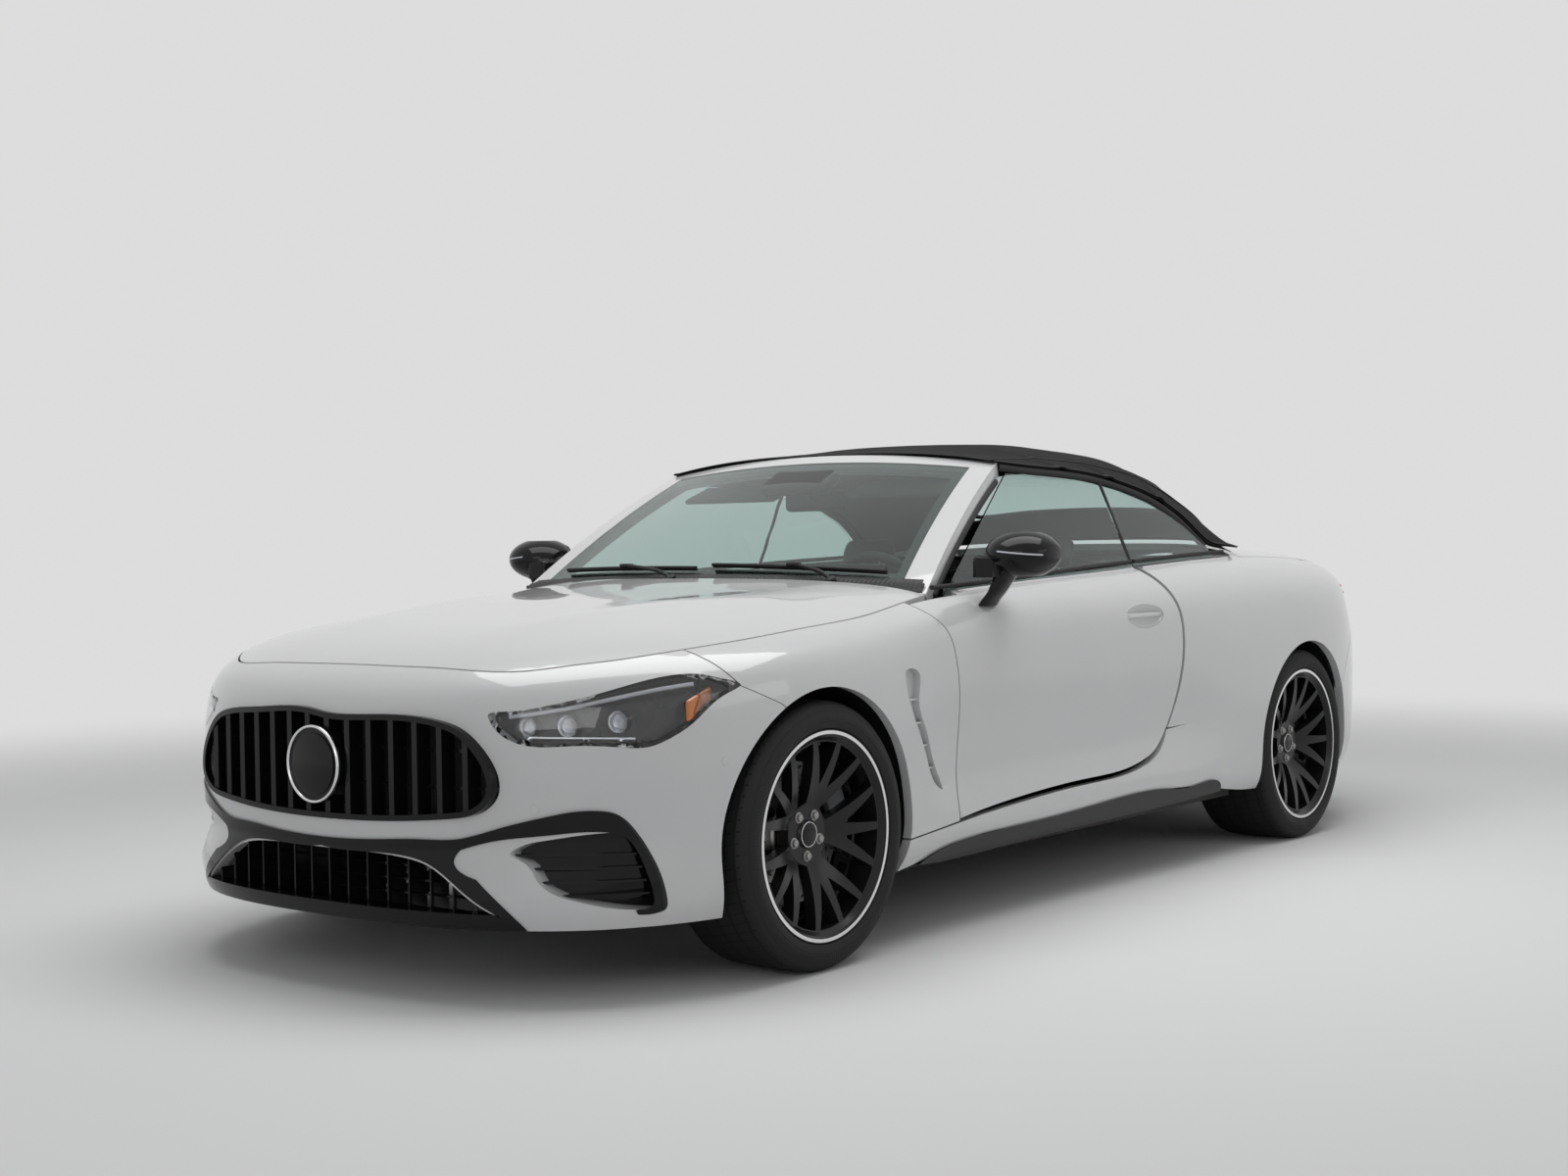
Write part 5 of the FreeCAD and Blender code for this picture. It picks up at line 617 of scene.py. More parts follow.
# %% Dress the CAD nodes
finish_of_slot = {
    "body_paint": paint, "gloss_black": gloss_black, "black_plastic": satin_black, "caliper_paint": caliper_grey,
    "forged_metal": cast_metal, "chassis_black": chassis_black, "clear_glass": window_glass,
    "soft_top_cloth": cloth, "headlamp_lens": lamp_glass, "tail_lamp_lens": red_lens, "cabin_leather": leather,
    "cabin_plastic": cabin_plastic, "exhaust_steel": exhaust_steel,
}
for row in frame["record"]["subparts"]:
    name = row["node"]
    kind, _, rest = name.rpartition("_")[0].rpartition("_")
    finish = wheel_finish[rest][kind] if rest in AXLES and kind in wheel_finish[rest] \
        else finish_of_slot.get(row["material_slot"])
    nodes[name].data.materials.clear()
    nodes[name].data.materials.append(finish)
print("dressed", len(nodes), "nodes")

# %% [markdown]
# Trims, seals and cloth all lie on a few long surfaces of the body. Those surfaces are written down
# once, as smooth curves through the same points that the solid model uses, so that every thin piece
# follows them to the millimetre.

# %% Surfaces of the roof, the windscreen and the belt
LENGTH, HALF_WIDTH, HEIGHT, FRONT_AXLE, REAR_AXLE = 4.852, 0.9675, 1.424, -1.551, 1.324
WHEELBASE = REAR_AXLE - FRONT_AXLE


def along(station):
    """A place along the car: 0 at the nose, 1 and 2 at the axles, 3 at the tail."""
    stops = (-LENGTH / 2, FRONT_AXLE, REAR_AXLE, LENGTH / 2)
    first = min(max(int(station), 0), 2)
    return stops[first] + (stops[first + 1] - stops[first]) * (station - first)


def smooth_curve(points):
    """A natural cubic through (place, value) points, level past its ends, as a function."""
    at, value = np.array(points, dtype=float).T
    run = np.diff(at)
    matrix = np.eye(len(at))
    right = np.zeros(len(at))
    for i in range(1, len(at) - 1):
        matrix[i, i - 1:i + 2] = (run[i - 1], 2 * (run[i - 1] + run[i]), run[i])
        right[i] = 6 * ((value[i + 1] - value[i]) / run[i] - (value[i] - value[i - 1]) / run[i - 1])
    bend = np.linalg.solve(matrix, right)

    def read(place):
        place = min(max(place, at[0]), at[-1])
        i = max(0, min(int(np.searchsorted(at, place, side="right")) - 1, len(at) - 2))
        b = (place - at[i]) / run[i]
        a = 1 - b
        curved = ((a ** 3 - a) * bend[i] + (b ** 3 - b) * bend[i + 1]) * run[i] ** 2 / 6
        return float(a * value[i] + b * value[i + 1] + curved)
    return read


BELT = [(1.0, 0.66), (1.187, 0.667), (1.31, 0.676), (1.4, 0.685), (1.487, 0.694), (1.66, 0.711), (1.83, 0.724),
        (1.95, 0.731)]
ROOF_EDGE = [(0.672, 1.4365, 0.934), (0.69, 1.505, 0.926), (0.695, 1.592, 0.919), (0.695, 1.656, 0.908),
             (0.713, 1.713, 0.887), (0.73, 1.7725, 0.855), (0.752, 1.828, 0.803), (0.773, 1.868, 0.752),
             (0.784, 1.905, 0.742), (0.789, 1.94, 0.738)]
ROOF_CENTRE = [(1.4365, 0.9635), (1.505, 0.979), (1.592, 0.994), (1.656, 0.999), (1.748, 0.997), (1.835, 0.988),
               (1.905, 0.968), (1.98, 0.93), (2.08, 0.855), (2.18, 0.762)]
GLASS_FOOT = [(1.2, 0.822), (1.656, 0.806), (1.9, 0.79)]
steps = [i / 9 for i in range(10)]
belt = smooth_curve([(along(s), HEIGHT * share) for s, share in BELT])
glass_foot = smooth_curve([(along(s), HALF_WIDTH * share) for s, share in GLASS_FOOT])
edge_x = smooth_curve([(s, HALF_WIDTH * p[0]) for s, p in zip(steps, ROOF_EDGE)])
edge_y = smooth_curve([(s, along(p[1])) for s, p in zip(steps, ROOF_EDGE)])
edge_z = smooth_curve([(s, HEIGHT * p[2]) for s, p in zip(steps, ROOF_EDGE)])
centre_y = smooth_curve([(s, along(p[0])) for s, p in zip(steps, ROOF_CENTRE)])
centre_z = smooth_curve([(s, HEIGHT * p[1]) for s, p in zip(steps, ROOF_CENTRE)])


def roof(a, d):
    """The roof's skin: a from -1 to 1 across, d from 0 at the header to 1 on the deck."""
    share = abs(a)
    return Vector((a * edge_x(d), centre_y(d) + (edge_y(d) - centre_y(d)) * share ** 2.4,
                   centre_z(d) - (centre_z(d) - edge_z(d)) * share ** 2.8))


def screen(a, d):
    """The windscreen's skin: a from -1 to 1 across, d from 0 at its foot to 1 at its head."""
    x = a * HALF_WIDTH * (0.816 - 0.144 * d)
    foot_y, head_y = along(1.2143) + 0.0255 * WHEELBASE * a * a, along(1.4351) + 0.0085 * WHEELBASE * a * a
    foot_z, head_z = HEIGHT * (0.6917 - 0.014 * a * a), HEIGHT * (0.9635 - 0.03 * a * a)
    bulge = HEIGHT * 0.048 * d * (1 - d)
    return Vector((x, foot_y + (head_y - foot_y) * d - bulge / 2, foot_z + (head_z - foot_z) * d + bulge))


def side_pane(y, z):
    """The side glass's skin on the car's left."""
    return Vector((glass_foot(y) - 0.43 * (z - belt(y)), y, z))


def off_skin(surface, a, d, rise, lean=1.0):
    """A point of a skin moved outwards by a distance."""
    one = surface(a + 0.002, d) - surface(a - 0.002, d)
    two = surface(a, min(d + 0.002, 1.0)) - surface(a, max(d - 0.002, 0.0))
    normal = one.cross(two).normalized()
    if normal.z < 0:
        normal = -normal
    normal.x *= lean
    return surface(a, d) + normal.normalized() * rise


def area_of(piece):
    return sum(face.area for face in piece.data.polygons)


print("roof edge at", tuple(round(v, 3) for v in roof(1, 0.3)))

# %% [markdown]
# The soft top is one stretched cloth over bows. It could be a cloth simulation, but a stretched roof
# hardly sags, so the sheet is laid on the skin and moved: it stands up a little over each bow,
# most at the edges where the bow's end shows as a knuckle, and it dips between them.

# %% Soft top cloth
BOWS, LAST_SPAN = (0.19, 0.37, 0.56), 0.68
WINDOW_HALF, WINDOW_LOW, WINDOW_HIGH = 0.6, 0.72, 0.9
CABIN_INSIDE = (0, 0.8, 0.9)


def cloth_rise(a, d):
    over_bow = sum(math.exp(-((d - bow) / 0.012) ** 2) for bow in BOWS)
    nearest = min(abs(d - bow) for bow in (0.0,) + BOWS + (LAST_SPAN,))
    edge = min(1.0, max(0.0, (abs(a) - 0.5) / 0.45))
    sag = 0.0 if d > LAST_SPAN else 0.003 * min(1.0, nearest / 0.09) * (1 - abs(a) ** 4)
    return 0.003 + over_bow * (0.0012 + 0.0045 * edge * edge) - sag


def on_cloth(a, d):
    return off_skin(roof, a, d, cloth_rise(a, d), 0.3)


def roof_sheet(columns, rows, place, wide, low, high):
    """A sheet over the cabin with an opening for the rear window, and its area."""
    def in_window(face):
        a, d = (face.index % columns + 0.5) / columns * 2 - 1, (face.index // columns + 0.5) / rows
        return abs(a) < wide and low < d < high
    piece = drop_faces(laid_grid(columns, rows, place, CABIN_INSIDE), in_window)
    return piece, area_of(piece)


top, top_area = roof_sheet(120, 150, lambda u, v: on_cloth(u * 2 - 1, v), WINDOW_HALF, WINDOW_LOW, WINDOW_HIGH)
across = sum((roof((i + 1) / 40 - 1, 0.55) - roof(i / 40 - 1, 0.55)).length for i in range(80))
down = sum((roof(0, (i + 1) / 80) - roof(0, i / 80)).length for i in range(80))
settle(thicken(top, 0.003), "soft_top_cloth", cloth, "chassis", "soft_top_cloth", smooth=60)
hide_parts("soft_top")
print("cloth", round(across, 2), "by", round(down, 2), "m, area", round(top_area, 2))

# %% [markdown]
# The cloth's panels are joined by folded seams with a row of stitches, and its border is a sewn hem.
# Each is a low rounded band that follows the same skin, with stitches drawn by its own UV map.

# %% Seams, hem and rear window frame
def band(name, run, width, proud):
    """A low rounded band on the cloth, along run(u), which gives (a, d)."""
    def place(u, v):
        a, d = run(u)
        out = (off_skin(roof, a, d, 0.01, 0.3) - off_skin(roof, a, d, 0.0, 0.3)).normalized()
        way = (roof(*run(min(u + 0.004, 1.0))) - roof(*run(max(u - 0.004, 0.0)))).normalized()
        s = 2 * v - 1
        return on_cloth(a, d) + way.cross(out).normalized() * (s * width / 2) + out * (proud * (1 - s ** 4))
    piece = thicken(laid_grid(120, 6, place, CABIN_INSIDE), 0.0012)
    return settle(piece, name, seam_cloth, "chassis", "soft_top_cloth", smooth=50)


for hand, s in SIDES:
    band("roof_seam_" + hand, lambda u: (s * (0.86 - 0.1 * u), 0.012 + 0.95 * u), 0.016, 0.0022)
    band("roof_hem_" + hand, lambda u: (s * 0.985, 0.004 + 0.99 * u), 0.024, 0.003)
for name, half, d, width, proud in (("roof_hem_front", 0.98, 0.012, 0.022, 0.003),
                                    ("roof_hem_rear", 0.98, 0.988, 0.028, 0.003),
                                    ("roof_seam_front", 0.85, 0.075, 0.014, 0.0018),
                                    ("roof_seam_rear", 0.78, 0.665, 0.014, 0.0018)):
    band(name, lambda u: (2 * half * u - half, d), width, proud)


def soft_corner(value, power):
    return math.copysign(abs(value) ** power, value)


def window_loop(grow, rise, count=96):
    """Points round the rear window with rounded corners."""
    middle, half = (WINDOW_LOW + WINDOW_HIGH) / 2, (WINDOW_HIGH - WINDOW_LOW) / 2 + grow * 0.35
    turns = [2 * math.pi * i / count for i in range(count)]
    return [off_skin(roof, (WINDOW_HALF + grow) * soft_corner(math.cos(t), 0.22),
                     middle + half * soft_corner(math.sin(t), 0.22), rise, 0.3) for t in turns]


settle(strip(window_loop(-0.006, 0.001), 0.016, closed=True), "rear_window_frame", rubber, "chassis",
       "black_plastic")

# %% [markdown]
# Inside, a pale-dark headliner is stretched under the bows, and rubber rails along the roof's edge
# close the gap between the cloth and the side glass.

# %% Headliner and roof rails
def lining_place(u, v):
    return off_skin(roof, (u * 2 - 1) * 0.97, 0.01 + 0.97 * v, -0.019, 0.3)


lining, lining_area = roof_sheet(60, 75, lining_place, 0.62, 0.71, 0.91)
settle(thicken(lining, 0.002), "headliner", lining_cloth, "chassis", "soft_top_cloth", smooth=60)
for hand, s in SIDES:
    rail = [Vector((s * (edge_x(d) - 0.012), edge_y(d), edge_z(d) - 0.012))
            for d in np.linspace(0.02, 0.77, 21)]
    settle(strip(rail, 0.026), "roof_rail_" + hand, rubber, "chassis", "black_plastic")
print("headliner area", round(lining_area, 2))

# %% [markdown]
# The windscreen has a black band fired on its edge, which hides the glue, and at its foot a black
# cowl with the wipers. The band is a thin sheet behind the glass, cut out where one looks through.

# %% Windscreen band and cowl
COWL_DEPTH, COWL_SHARE = 0.058, 0.55


def fired_place(u, v):
    d = v * 0.88
    return off_skin(screen, (u * 2 - 1) * 0.997 * (0.925 - 0.03 * d), 0.001 + v * 0.883, -0.0085)


fired = laid_grid(80, 60, fired_place, (0, 0.2, 0.9))
drop_faces(fired, lambda f: 2 < f.index % 80 < 77 and 4 < f.index // 80 < 56)
settle(thicken(fired, 0.0006), "windscreen_band", band_black, "chassis", "gloss_black")


def cowl_place(u, v):
    a = u * 2 - 1
    rise = 0.003 + 0.004 * math.sin(math.pi * min(v * 1.15, 1.0))
    if v < COWL_SHARE:
        share = v / COWL_SHARE
        height = rise * share + 0.0015 if share > 0.001 else -0.004
        return off_skin(screen, a * 0.985, COWL_DEPTH * (share - 1), height)
    share = (v - COWL_SHARE) / (1 - COWL_SHARE)
    return off_skin(screen, a * 0.97, 0.03 * share, rise * (1 - share) + 0.0012)


cowl = thicken(laid_grid(90, 12, cowl_place, (0, 0.2, 0.7)), 0.0025)
settle(cowl, "cowl_panel", cowl_black, "chassis", "black_plastic")
print("cowl width", round(cowl.dimensions.x, 2))

# %% [markdown]
# A wiper is an arm with a joint at its foot, a flat spring blade and a rubber lip under it. Both wipers
# rest low on the glass, and each is one curve for each part, joined.

# %% Wipers
def wiper(name, start, end, pivot):
    blade, lip = [[off_skin(screen, start + (end - start) * t, 0.052 + 0.02 * t, rise)
                   for t in np.linspace(0, 1, 14)] for rise in (0.013, 0.005)]
    middle = off_skin(screen, (start + end) / 2, 0.062, 0.022)
    foot = off_skin(screen, pivot, -0.02, 0.012)
    arm = [foot, foot + (middle - foot) * 0.15 + Vector((0, -0.004, 0.016)),
           foot + (middle - foot) * 0.6 + Vector((0, 0, 0.01)), middle]
    parts = [strip(blade, 0.011), strip(lip, 0.006), strip(arm, 0.012),
             turned_drum(foot, 0.015, 0.024, (0, -0.5, 0.86), 0.004),
             rounded_block(middle, (0.05, 0.016, 0.012), 0.004)]
    settle(join(parts), name, satin_black, "chassis", "black_plastic")


wiper("wiper_left", 0.82, 0.03, 0.62)
wiper("wiper_right", -0.04, -0.8, -0.12)
print("wipers on")

# %% [markdown]
# Behind the head of the glass sit the camera housing and the inside mirror, a rounded case whose rear
# face carries the glass.

# %% Camera housing and inside mirror
def slope(a, low, high):
    """The angle of the windscreen between two heights."""
    way = screen(a, high) - screen(a, low)
    return math.atan2(way.z, way.y)


head = off_skin(screen, 0, 0.8, -0.03)
housing = leaned(rounded_block((0, 0, 0), (0.25, 0.11, 0.046), 0.016, 4), slope(0, 0.74, 0.88), head)
settle(housing, "camera_housing", satin_black, "chassis", "black_plastic")
case_place = head + Vector((0, 0.075, -0.055))
case = rounded_block(case_place, (0.235, 0.034, 0.068), 0.015, 4)
stalk = strip([head + Vector((0, 0.01, -0.01)), head + Vector((0, 0.04, -0.02)), case_place], 0.018)
settle(join([case, stalk]), "inside_mirror", satin_black, "chassis", "black_plastic")
pane = rounded_block(case_place + Vector((0, 0.0165, 0)), (0.215, 0.004, 0.052), 0.0018)
settle(pane, "inside_mirror_glass", mirror_face, "chassis", "gloss_black")
print("mirror at", tuple(round(v, 3) for v in case_place))

# %% [markdown]
# A bright strip runs along the belt under the side glass, with a black seal between it and the pane.
# Rubber also fills the corner between the windscreen pillar and the door glass. Strips are round rails
# laid by casting a ray at the door, so they sit on its edge.

# %% Belt strips and window seals
door_tree = node_tree("door_left")


def belt_line(tree, start, end, count):
    """Points on a panel's upper edge, just outside the pane."""
    spots = []
    for y in np.linspace(start, end, count):
        hit, _ = skin_from(tree, (glass_foot(y) + 0.017, y, 1.25), (0, 0, -1))
        spots.append(hit + Vector((0, 0, 0.001)) if hit and hit.z > belt(y) - 0.05 else None)
    return found(spots)


def seal_line(start, end):
    return [side_pane(y, belt(y) + 0.003) + Vector((0.006, 0, 0)) for y in np.linspace(start, end, 26)]


pillar = []
for d in np.linspace(0.0, 0.97, 24):
    p = screen(1, d)
    y, z = p.y + 0.006, p.z - 0.052
    if z > belt(y) - 0.03:
        pillar.append(Vector((min(side_pane(y, max(z, belt(y))).x, p.x) - 0.004, y, z)))
post = [side_pane(0.332, z) + Vector((-0.003, 0, 0)) for z in np.linspace(belt(0.33), HEIGHT * 0.905, 8)]
belt_rails = (
    ("belt_strip_door", belt_line(door_tree, -0.985, 0.314, 40), 0.011, chrome, "door_body_SIDE",
     "gloss_black"),
    ("belt_strip_quarter", belt_line(node_tree("quarter_left"), 0.345, 1.03, 24), 0.011, chrome, "chassis",
     "gloss_black"),
    ("belt_seal_door", seal_line(-0.865, 0.318), 0.013, rubber, "door_body_SIDE", "black_plastic"),
    ("belt_seal_quarter", seal_line(0.34, 1.02), 0.013, rubber, "chassis", "black_plastic"),
    ("pillar_seal", pillar, 0.022, rubber, "chassis", "black_plastic"),
    ("pane_seal", post, 0.014, rubber, "chassis", "black_plastic"))
for hand, s in SIDES:
    for name, points, width, finish, body, slot in belt_rails:
        rail = strip([Vector((s * p.x, p.y, p.z)) for p in points], width)
        settle(rail, name + "_" + hand, finish, body.replace("SIDE", hand), slot)
print("belt rails:", [(row[0], len(row[1])) for row in belt_rails])

# %% [markdown]
# A headlamp is a clear cover over a dark bowl with projectors, a light strip along its top edge and an
# amber reflector at its outer end. The cover starts as the outer skin of the solid lamp, which is cut
# free, merged and given a 3 mm wall. The bowl is the same skin, walled 45 mm deep.

# %% Headlamp covers and bowls
BOWL_DEPTH, BOWL_BACK = 0.045, 0.043


def node_copy(node):
    """A loose copy of a node's mesh with its doubled corners merged."""
    piece = bpy.data.objects.new("copy", nodes[node].data.copy())
    bpy.context.scene.collection.objects.link(piece)
    return edit(piece, lambda: ops.remove_doubles(threshold=0.00002))


def outward(face):
    return (face.center - inner_point).normalized().dot(face.normal)


def lamp_skin():
    """A copy of the left lamp's outward skin, without its rim and its inner side."""
    return drop_faces(node_copy("headlamps"), lambda f: f.center.x < 0 or outward(f) < 0.35)


inner_point = Vector((0.4, -1.4, 0.55))
lamp_tree = node_tree("headlamps")
covers = pair(thicken(lamp_skin(), 0.003), "headlamp_cover", lamp_glass, "chassis", "headlamp_lens", smooth=40)
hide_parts("headlamps")
walls = modified(lamp_skin(), "SOLIDIFY", thickness=BOWL_DEPTH, offset=-1.0, use_rim_only=True)
drop_faces(walls, lambda f: outward(f) > 0.6 and f.area > 0 and lamp_tree.find_nearest(f.center)[3] < 0.0005 and
           lamp_tree.ray_cast(f.center + f.normal * 0.0005, f.normal)[0] is None and
           lamp_tree.ray_cast(f.center - f.normal * 0.004, -f.normal)[0] is not None)
back = lamp_skin()
for vertex in back.data.vertices:
    vertex.co += (inner_point - vertex.co).normalized() * BOWL_BACK
pair(join([walls, back]), "headlamp_bowl", lamp_bowl, "chassis", "gloss_black", smooth=40)
print("lamp covers", [round(v, 3) for v in covers[0].dimensions])

# %% [markdown]
# Each projector is a tube with a stepped bright bezel and a domed lens. The tube is a cylinder whose
# front face is inset and pushed in twice, and the dome is half a ball, flattened.

# %% Projectors, light strip and reflector
LENS_SHARE, LENS_LIFT, LENS_FLAT = 0.76, 0.08, 0.55


def lamp_face(x, z):
    """The point of the lamp's skin straight ahead of a place."""
    return skin_from(lamp_tree, (x, -3.0, z), (0, 1, 0))[0]


def projector(centre, axis, radius, depth):
    def sink():
        for inset, push in ((radius * 0.1, -depth * 0.12), (radius * 0.12, -depth * 0.3)):
            ops.inset(thickness=inset)
            bpy.ops.transform.translate(value=(0, 0, push))
    tube = edit(made(ops.primitive_cylinder_add, radius=radius, depth=depth, vertices=40), sink,
                pick=lambda face: face.normal.z > 0.9)
    dome = made(ops.primitive_uv_sphere_add, radius=radius * LENS_SHARE, segments=32, ring_count=16)
    edit(dome, lambda: ops.bisect(plane_co=(0, 0, 0), plane_no=(0, 0, 1), clear_inner=True, use_fill=True))
    dome.data.transform(Matrix.Translation((0, 0, depth * LENS_LIFT)) @ Matrix.Diagonal((1, 1, LENS_FLAT, 1)))
    for piece in (tube, dome):
        piece.data.transform(Matrix.Translation(centre) @ onto_axis(axis))
    return tube, dome


axis = Vector((0.25, -1, 0.02)).normalized()
tubes, domes = zip(*[projector(lamp_face(x, z) - axis * 0.03, axis, radius, 0.026)
                     for x, z, radius in ((0.598, 0.663, 0.022), (0.676, 0.664, 0.026), (0.762, 0.672, 0.026))])
pair(join(tubes), "lamp_bezels", lamp_metal, "chassis", "headlamp_lens", smooth=40)
pair(join(domes), "lamp_domes", lamp_glass, "chassis", "headlamp_lens", smooth=60)


def lamp_line(spots, shift):
    """Points on the lamp's skin ahead of (x, z) spots, each moved by a shift."""
    return [p + Vector(shift) for p in found(lamp_face(x, z) for x, z in spots)]


GUIDE_LINE = [(0.555, 0.69), (0.62, 0.6985), (0.7, 0.716), (0.77, 0.7365), (0.82, 0.751), (0.85, 0.757)]
LOWER_LINE = [(0.6, 0.634), (0.66, 0.632), (0.72, 0.631), (0.79, 0.627)]
LAMP_OUTLINE = [(0.53, 0.482), (0.602, 0.44), (0.625, 0.4355), (0.723, 0.4345), (0.8, 0.4305), (0.845, 0.4295),
                (0.868, 0.439), (0.9, 0.467), (0.927, 0.512), (0.934, 0.5225), (0.908, 0.5375), (0.88, 0.5455),
                (0.856, 0.5465), (0.8, 0.5345), (0.734, 0.5155), (0.64, 0.498), (0.57, 0.4915)]
OUTLINE_MIDDLE, OUTLINE_INSET = Vector((HALF_WIDTH * 0.75, HEIGHT * 0.487)), 0.008
MARKER_Y = -1.965
pair(strip(lamp_line(GUIDE_LINE, (-0.004, 0.013, -0.004)), 0.011), "lamp_guide", light_guide, "chassis",
     "headlamp_lens", smooth=60)
pair(strip(lamp_line(LOWER_LINE, (0, 0.016, 0.004)), 0.007), "lamp_lower_trim", lamp_metal, "chassis",
     "headlamp_lens", smooth=60)
marker = rounded_block((0.862, MARKER_Y, 0.706), (0.012, 0.085, 0.05), 0.005)
for vertex in marker.data.vertices:
    vertex.co.z += (vertex.co.y - MARKER_Y) * 0.35
pair(marker, "side_marker", amber, "chassis", "headlamp_lens")
spots = [Vector((HALF_WIDTH * x, HEIGHT * z)) for x, z in LAMP_OUTLINE]
spots = [spot + (OUTLINE_MIDDLE - spot).normalized() * OUTLINE_INSET for spot in spots]
border = lamp_line(spots, (-0.003, 0.0045, 0))
pair(strip(border, 0.009, closed=True), "lamp_border", gloss_black, "chassis", "gloss_black", smooth=60)
print("border points", len(border))

# %% [markdown]
# The black frame of the nose carries a plain disc with a bright ring, and parking sensors sit in the
# bumpers, each a small drum set along the skin's own direction.

# %% Disc ring and parking sensors
DISC_Z = 0.559
front_y = skin_from(node_tree("grille"), (0.03, -3, DISC_Z), (0, 1, 0))[0].y
settle(ring((0, front_y, DISC_Z), 0.0935, 0.0045, QUARTER_X, 96, 12, 1.6), "disc_ring", chrome, "chassis",
       "gloss_black", smooth=60)
settle(turned_drum((0, front_y - 0.001, DISC_Z), 0.078, 0.006, (0, 1, 0), 0.0025, 96), "disc_plate",
       gloss_black, "chassis", "gloss_black")
tail_tree = node_tree("rear_bumper")
bumper_tree = node_tree("front_bumper")
for index, (tree, x, z, way) in enumerate(((bumper_tree, 0.905, 0.566, 1), (bumper_tree, 0.62, 0.47, 1),
                                           (tail_tree, 0.36, 0.5, -1), (tail_tree, 0.74, 0.5, -1))):
    hit, normal = skin_from(tree, (x, -3.0 * way, z), (0, way, 0))
    if hit:
        pair(turned_drum(hit + normal * 0.0004, 0.0105, 0.003, normal, 0.0008, 24), "parking_sensor_%d" % index,
             paint, "chassis", "body_paint")
print("ring at", round(front_y, 3))

# %% [markdown]
# An outside mirror is a smooth case on a slim foot that sweeps up from the door's front corner. The
# case keeps the solid's own skin, cut off above its foot. The foot is one cylinder whose rings are
# moved along a bend and flattened, so that it grows into the case.

# %% Mirror cases and feet
mirror_low, mirror_high = [Vector(corner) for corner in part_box("mirror_left")]
CASE_CUT = mirror_high.z - 0.128
# Each row is a ring's middle and its half sizes across and along the car.
FOOT_RINGS = [(0.872, -0.690, mirror_low.z + 0.004, 0.020, 0.044),
              (0.884, -0.688, mirror_low.z + 0.022, 0.019, 0.042),
              (0.903, -0.682, mirror_low.z + 0.045, 0.021, 0.040),
              (0.925, -0.676, CASE_CUT + 0.004, 0.030, 0.042),
              (0.948, -0.672, CASE_CUT + 0.022, 0.048, 0.046)]


def mirror_foot():
    piece = made(ops.primitive_cylinder_add, radius=1, depth=2, vertices=40)
    edit(piece, lambda: ops.select_mode(type="EDGE"), lambda: ops.select_all(action="DESELECT"))
    for edge in piece.data.edges:
        one, two = [piece.data.vertices[i].co for i in edge.vertices]
        edge.select = abs(one.z - two.z) > 1
    bpy.ops.object.mode_set(mode="EDIT")
    ops.subdivide_edgering(number_cuts=19, smoothness=0)
    bpy.ops.object.mode_set(mode="OBJECT")
    columns = np.array(FOOT_RINGS).T
    for vertex in piece.data.vertices:
        share = (vertex.co.z + 1) / 2 * (len(FOOT_RINGS) - 1)
        x, y, z, wide, deep = [float(np.interp(share, range(len(FOOT_RINGS)), column)) for column in columns]
        vertex.co = (x + vertex.co.x * wide, y + vertex.co.y * deep, z)
    return modified(piece, "SMOOTH", iterations=6)


case = edit(node_copy("mirror_left"), lambda: ops.bisect(plane_co=(0, 0, CASE_CUT), plane_no=(0, 0, 1),
                                                         clear_inner=True, use_fill=True))
cases = pair(case, "mirror_case", gloss_black, "door_body_SIDE", "gloss_black", smooth=45)
for one, (hand, _) in zip(cases, SIDES):
    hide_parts("mirror_" + hand)
pair(mirror_foot(), "mirror_foot", gloss_black, "door_body_SIDE", "gloss_black", smooth=60)
print("case", [round(v, 3) for v in cases[0].dimensions])

# %% [markdown]
# Each outside mirror gets its glass, a bright pane set in a black bezel at the flat rear of the case,
# and a pale turn-signal strip wrapped round the front of the case.

# %% Mirror glass and turn-signal strips
mirror_tree = node_tree("mirror_left")


def rear_outline(z):
    """The span across in which the case is flat at its rear, at a height."""
    def is_flat(x):
        hit, _ = skin_from(mirror_tree, (x, 2.0, z), (0, -1, 0))
        return hit and hit.y > mirror_high.y - 0.004
    xs = [x for x in np.linspace(mirror_low.x, mirror_high.x, 60) if is_flat(x)]
    return (z, min(xs), max(xs)) if xs else (z, 0, 0)


levels = np.array([row for row in map(rear_outline, np.linspace(mirror_low.z + 0.02, mirror_high.z - 0.002, 25))
                   if row[2] - row[1] > 0.03])
middle_z = float(levels[:, 0].mean())
middle_x = float((levels[:, 1] + levels[:, 2]).mean() / 2)
half_z = float(levels[-1, 0] - levels[0, 0]) / 2
half_x = float((levels[:, 2] - levels[:, 1]).max()) / 2


def oval_plate(name, grow, thick, y, finish):
    plate = made(ops.primitive_cylinder_add, radius=1, depth=thick, vertices=64)
    for vertex in plate.data.vertices:
        x, z = vertex.co.x, vertex.co.y
        size = (abs(x) ** 3 + abs(z) ** 3) ** (1 / 3)
        vertex.co = (middle_x + x / size * (half_x + grow), y + vertex.co.z,
                     middle_z + z / size * (half_z + grow))
    edit(face_outwards(plate), lambda: ops.inset(thickness=0.003), pick=lambda face: face.normal.y > 0.9)
    pair(plate, name, finish, "door_body_SIDE", "gloss_black")


oval_plate("mirror_bezel", -0.006, 0.004, mirror_high.y + 0.0005, satin_black)
oval_plate("mirror_glass", -0.011, 0.003, mirror_high.y + 0.002, mirror_face)


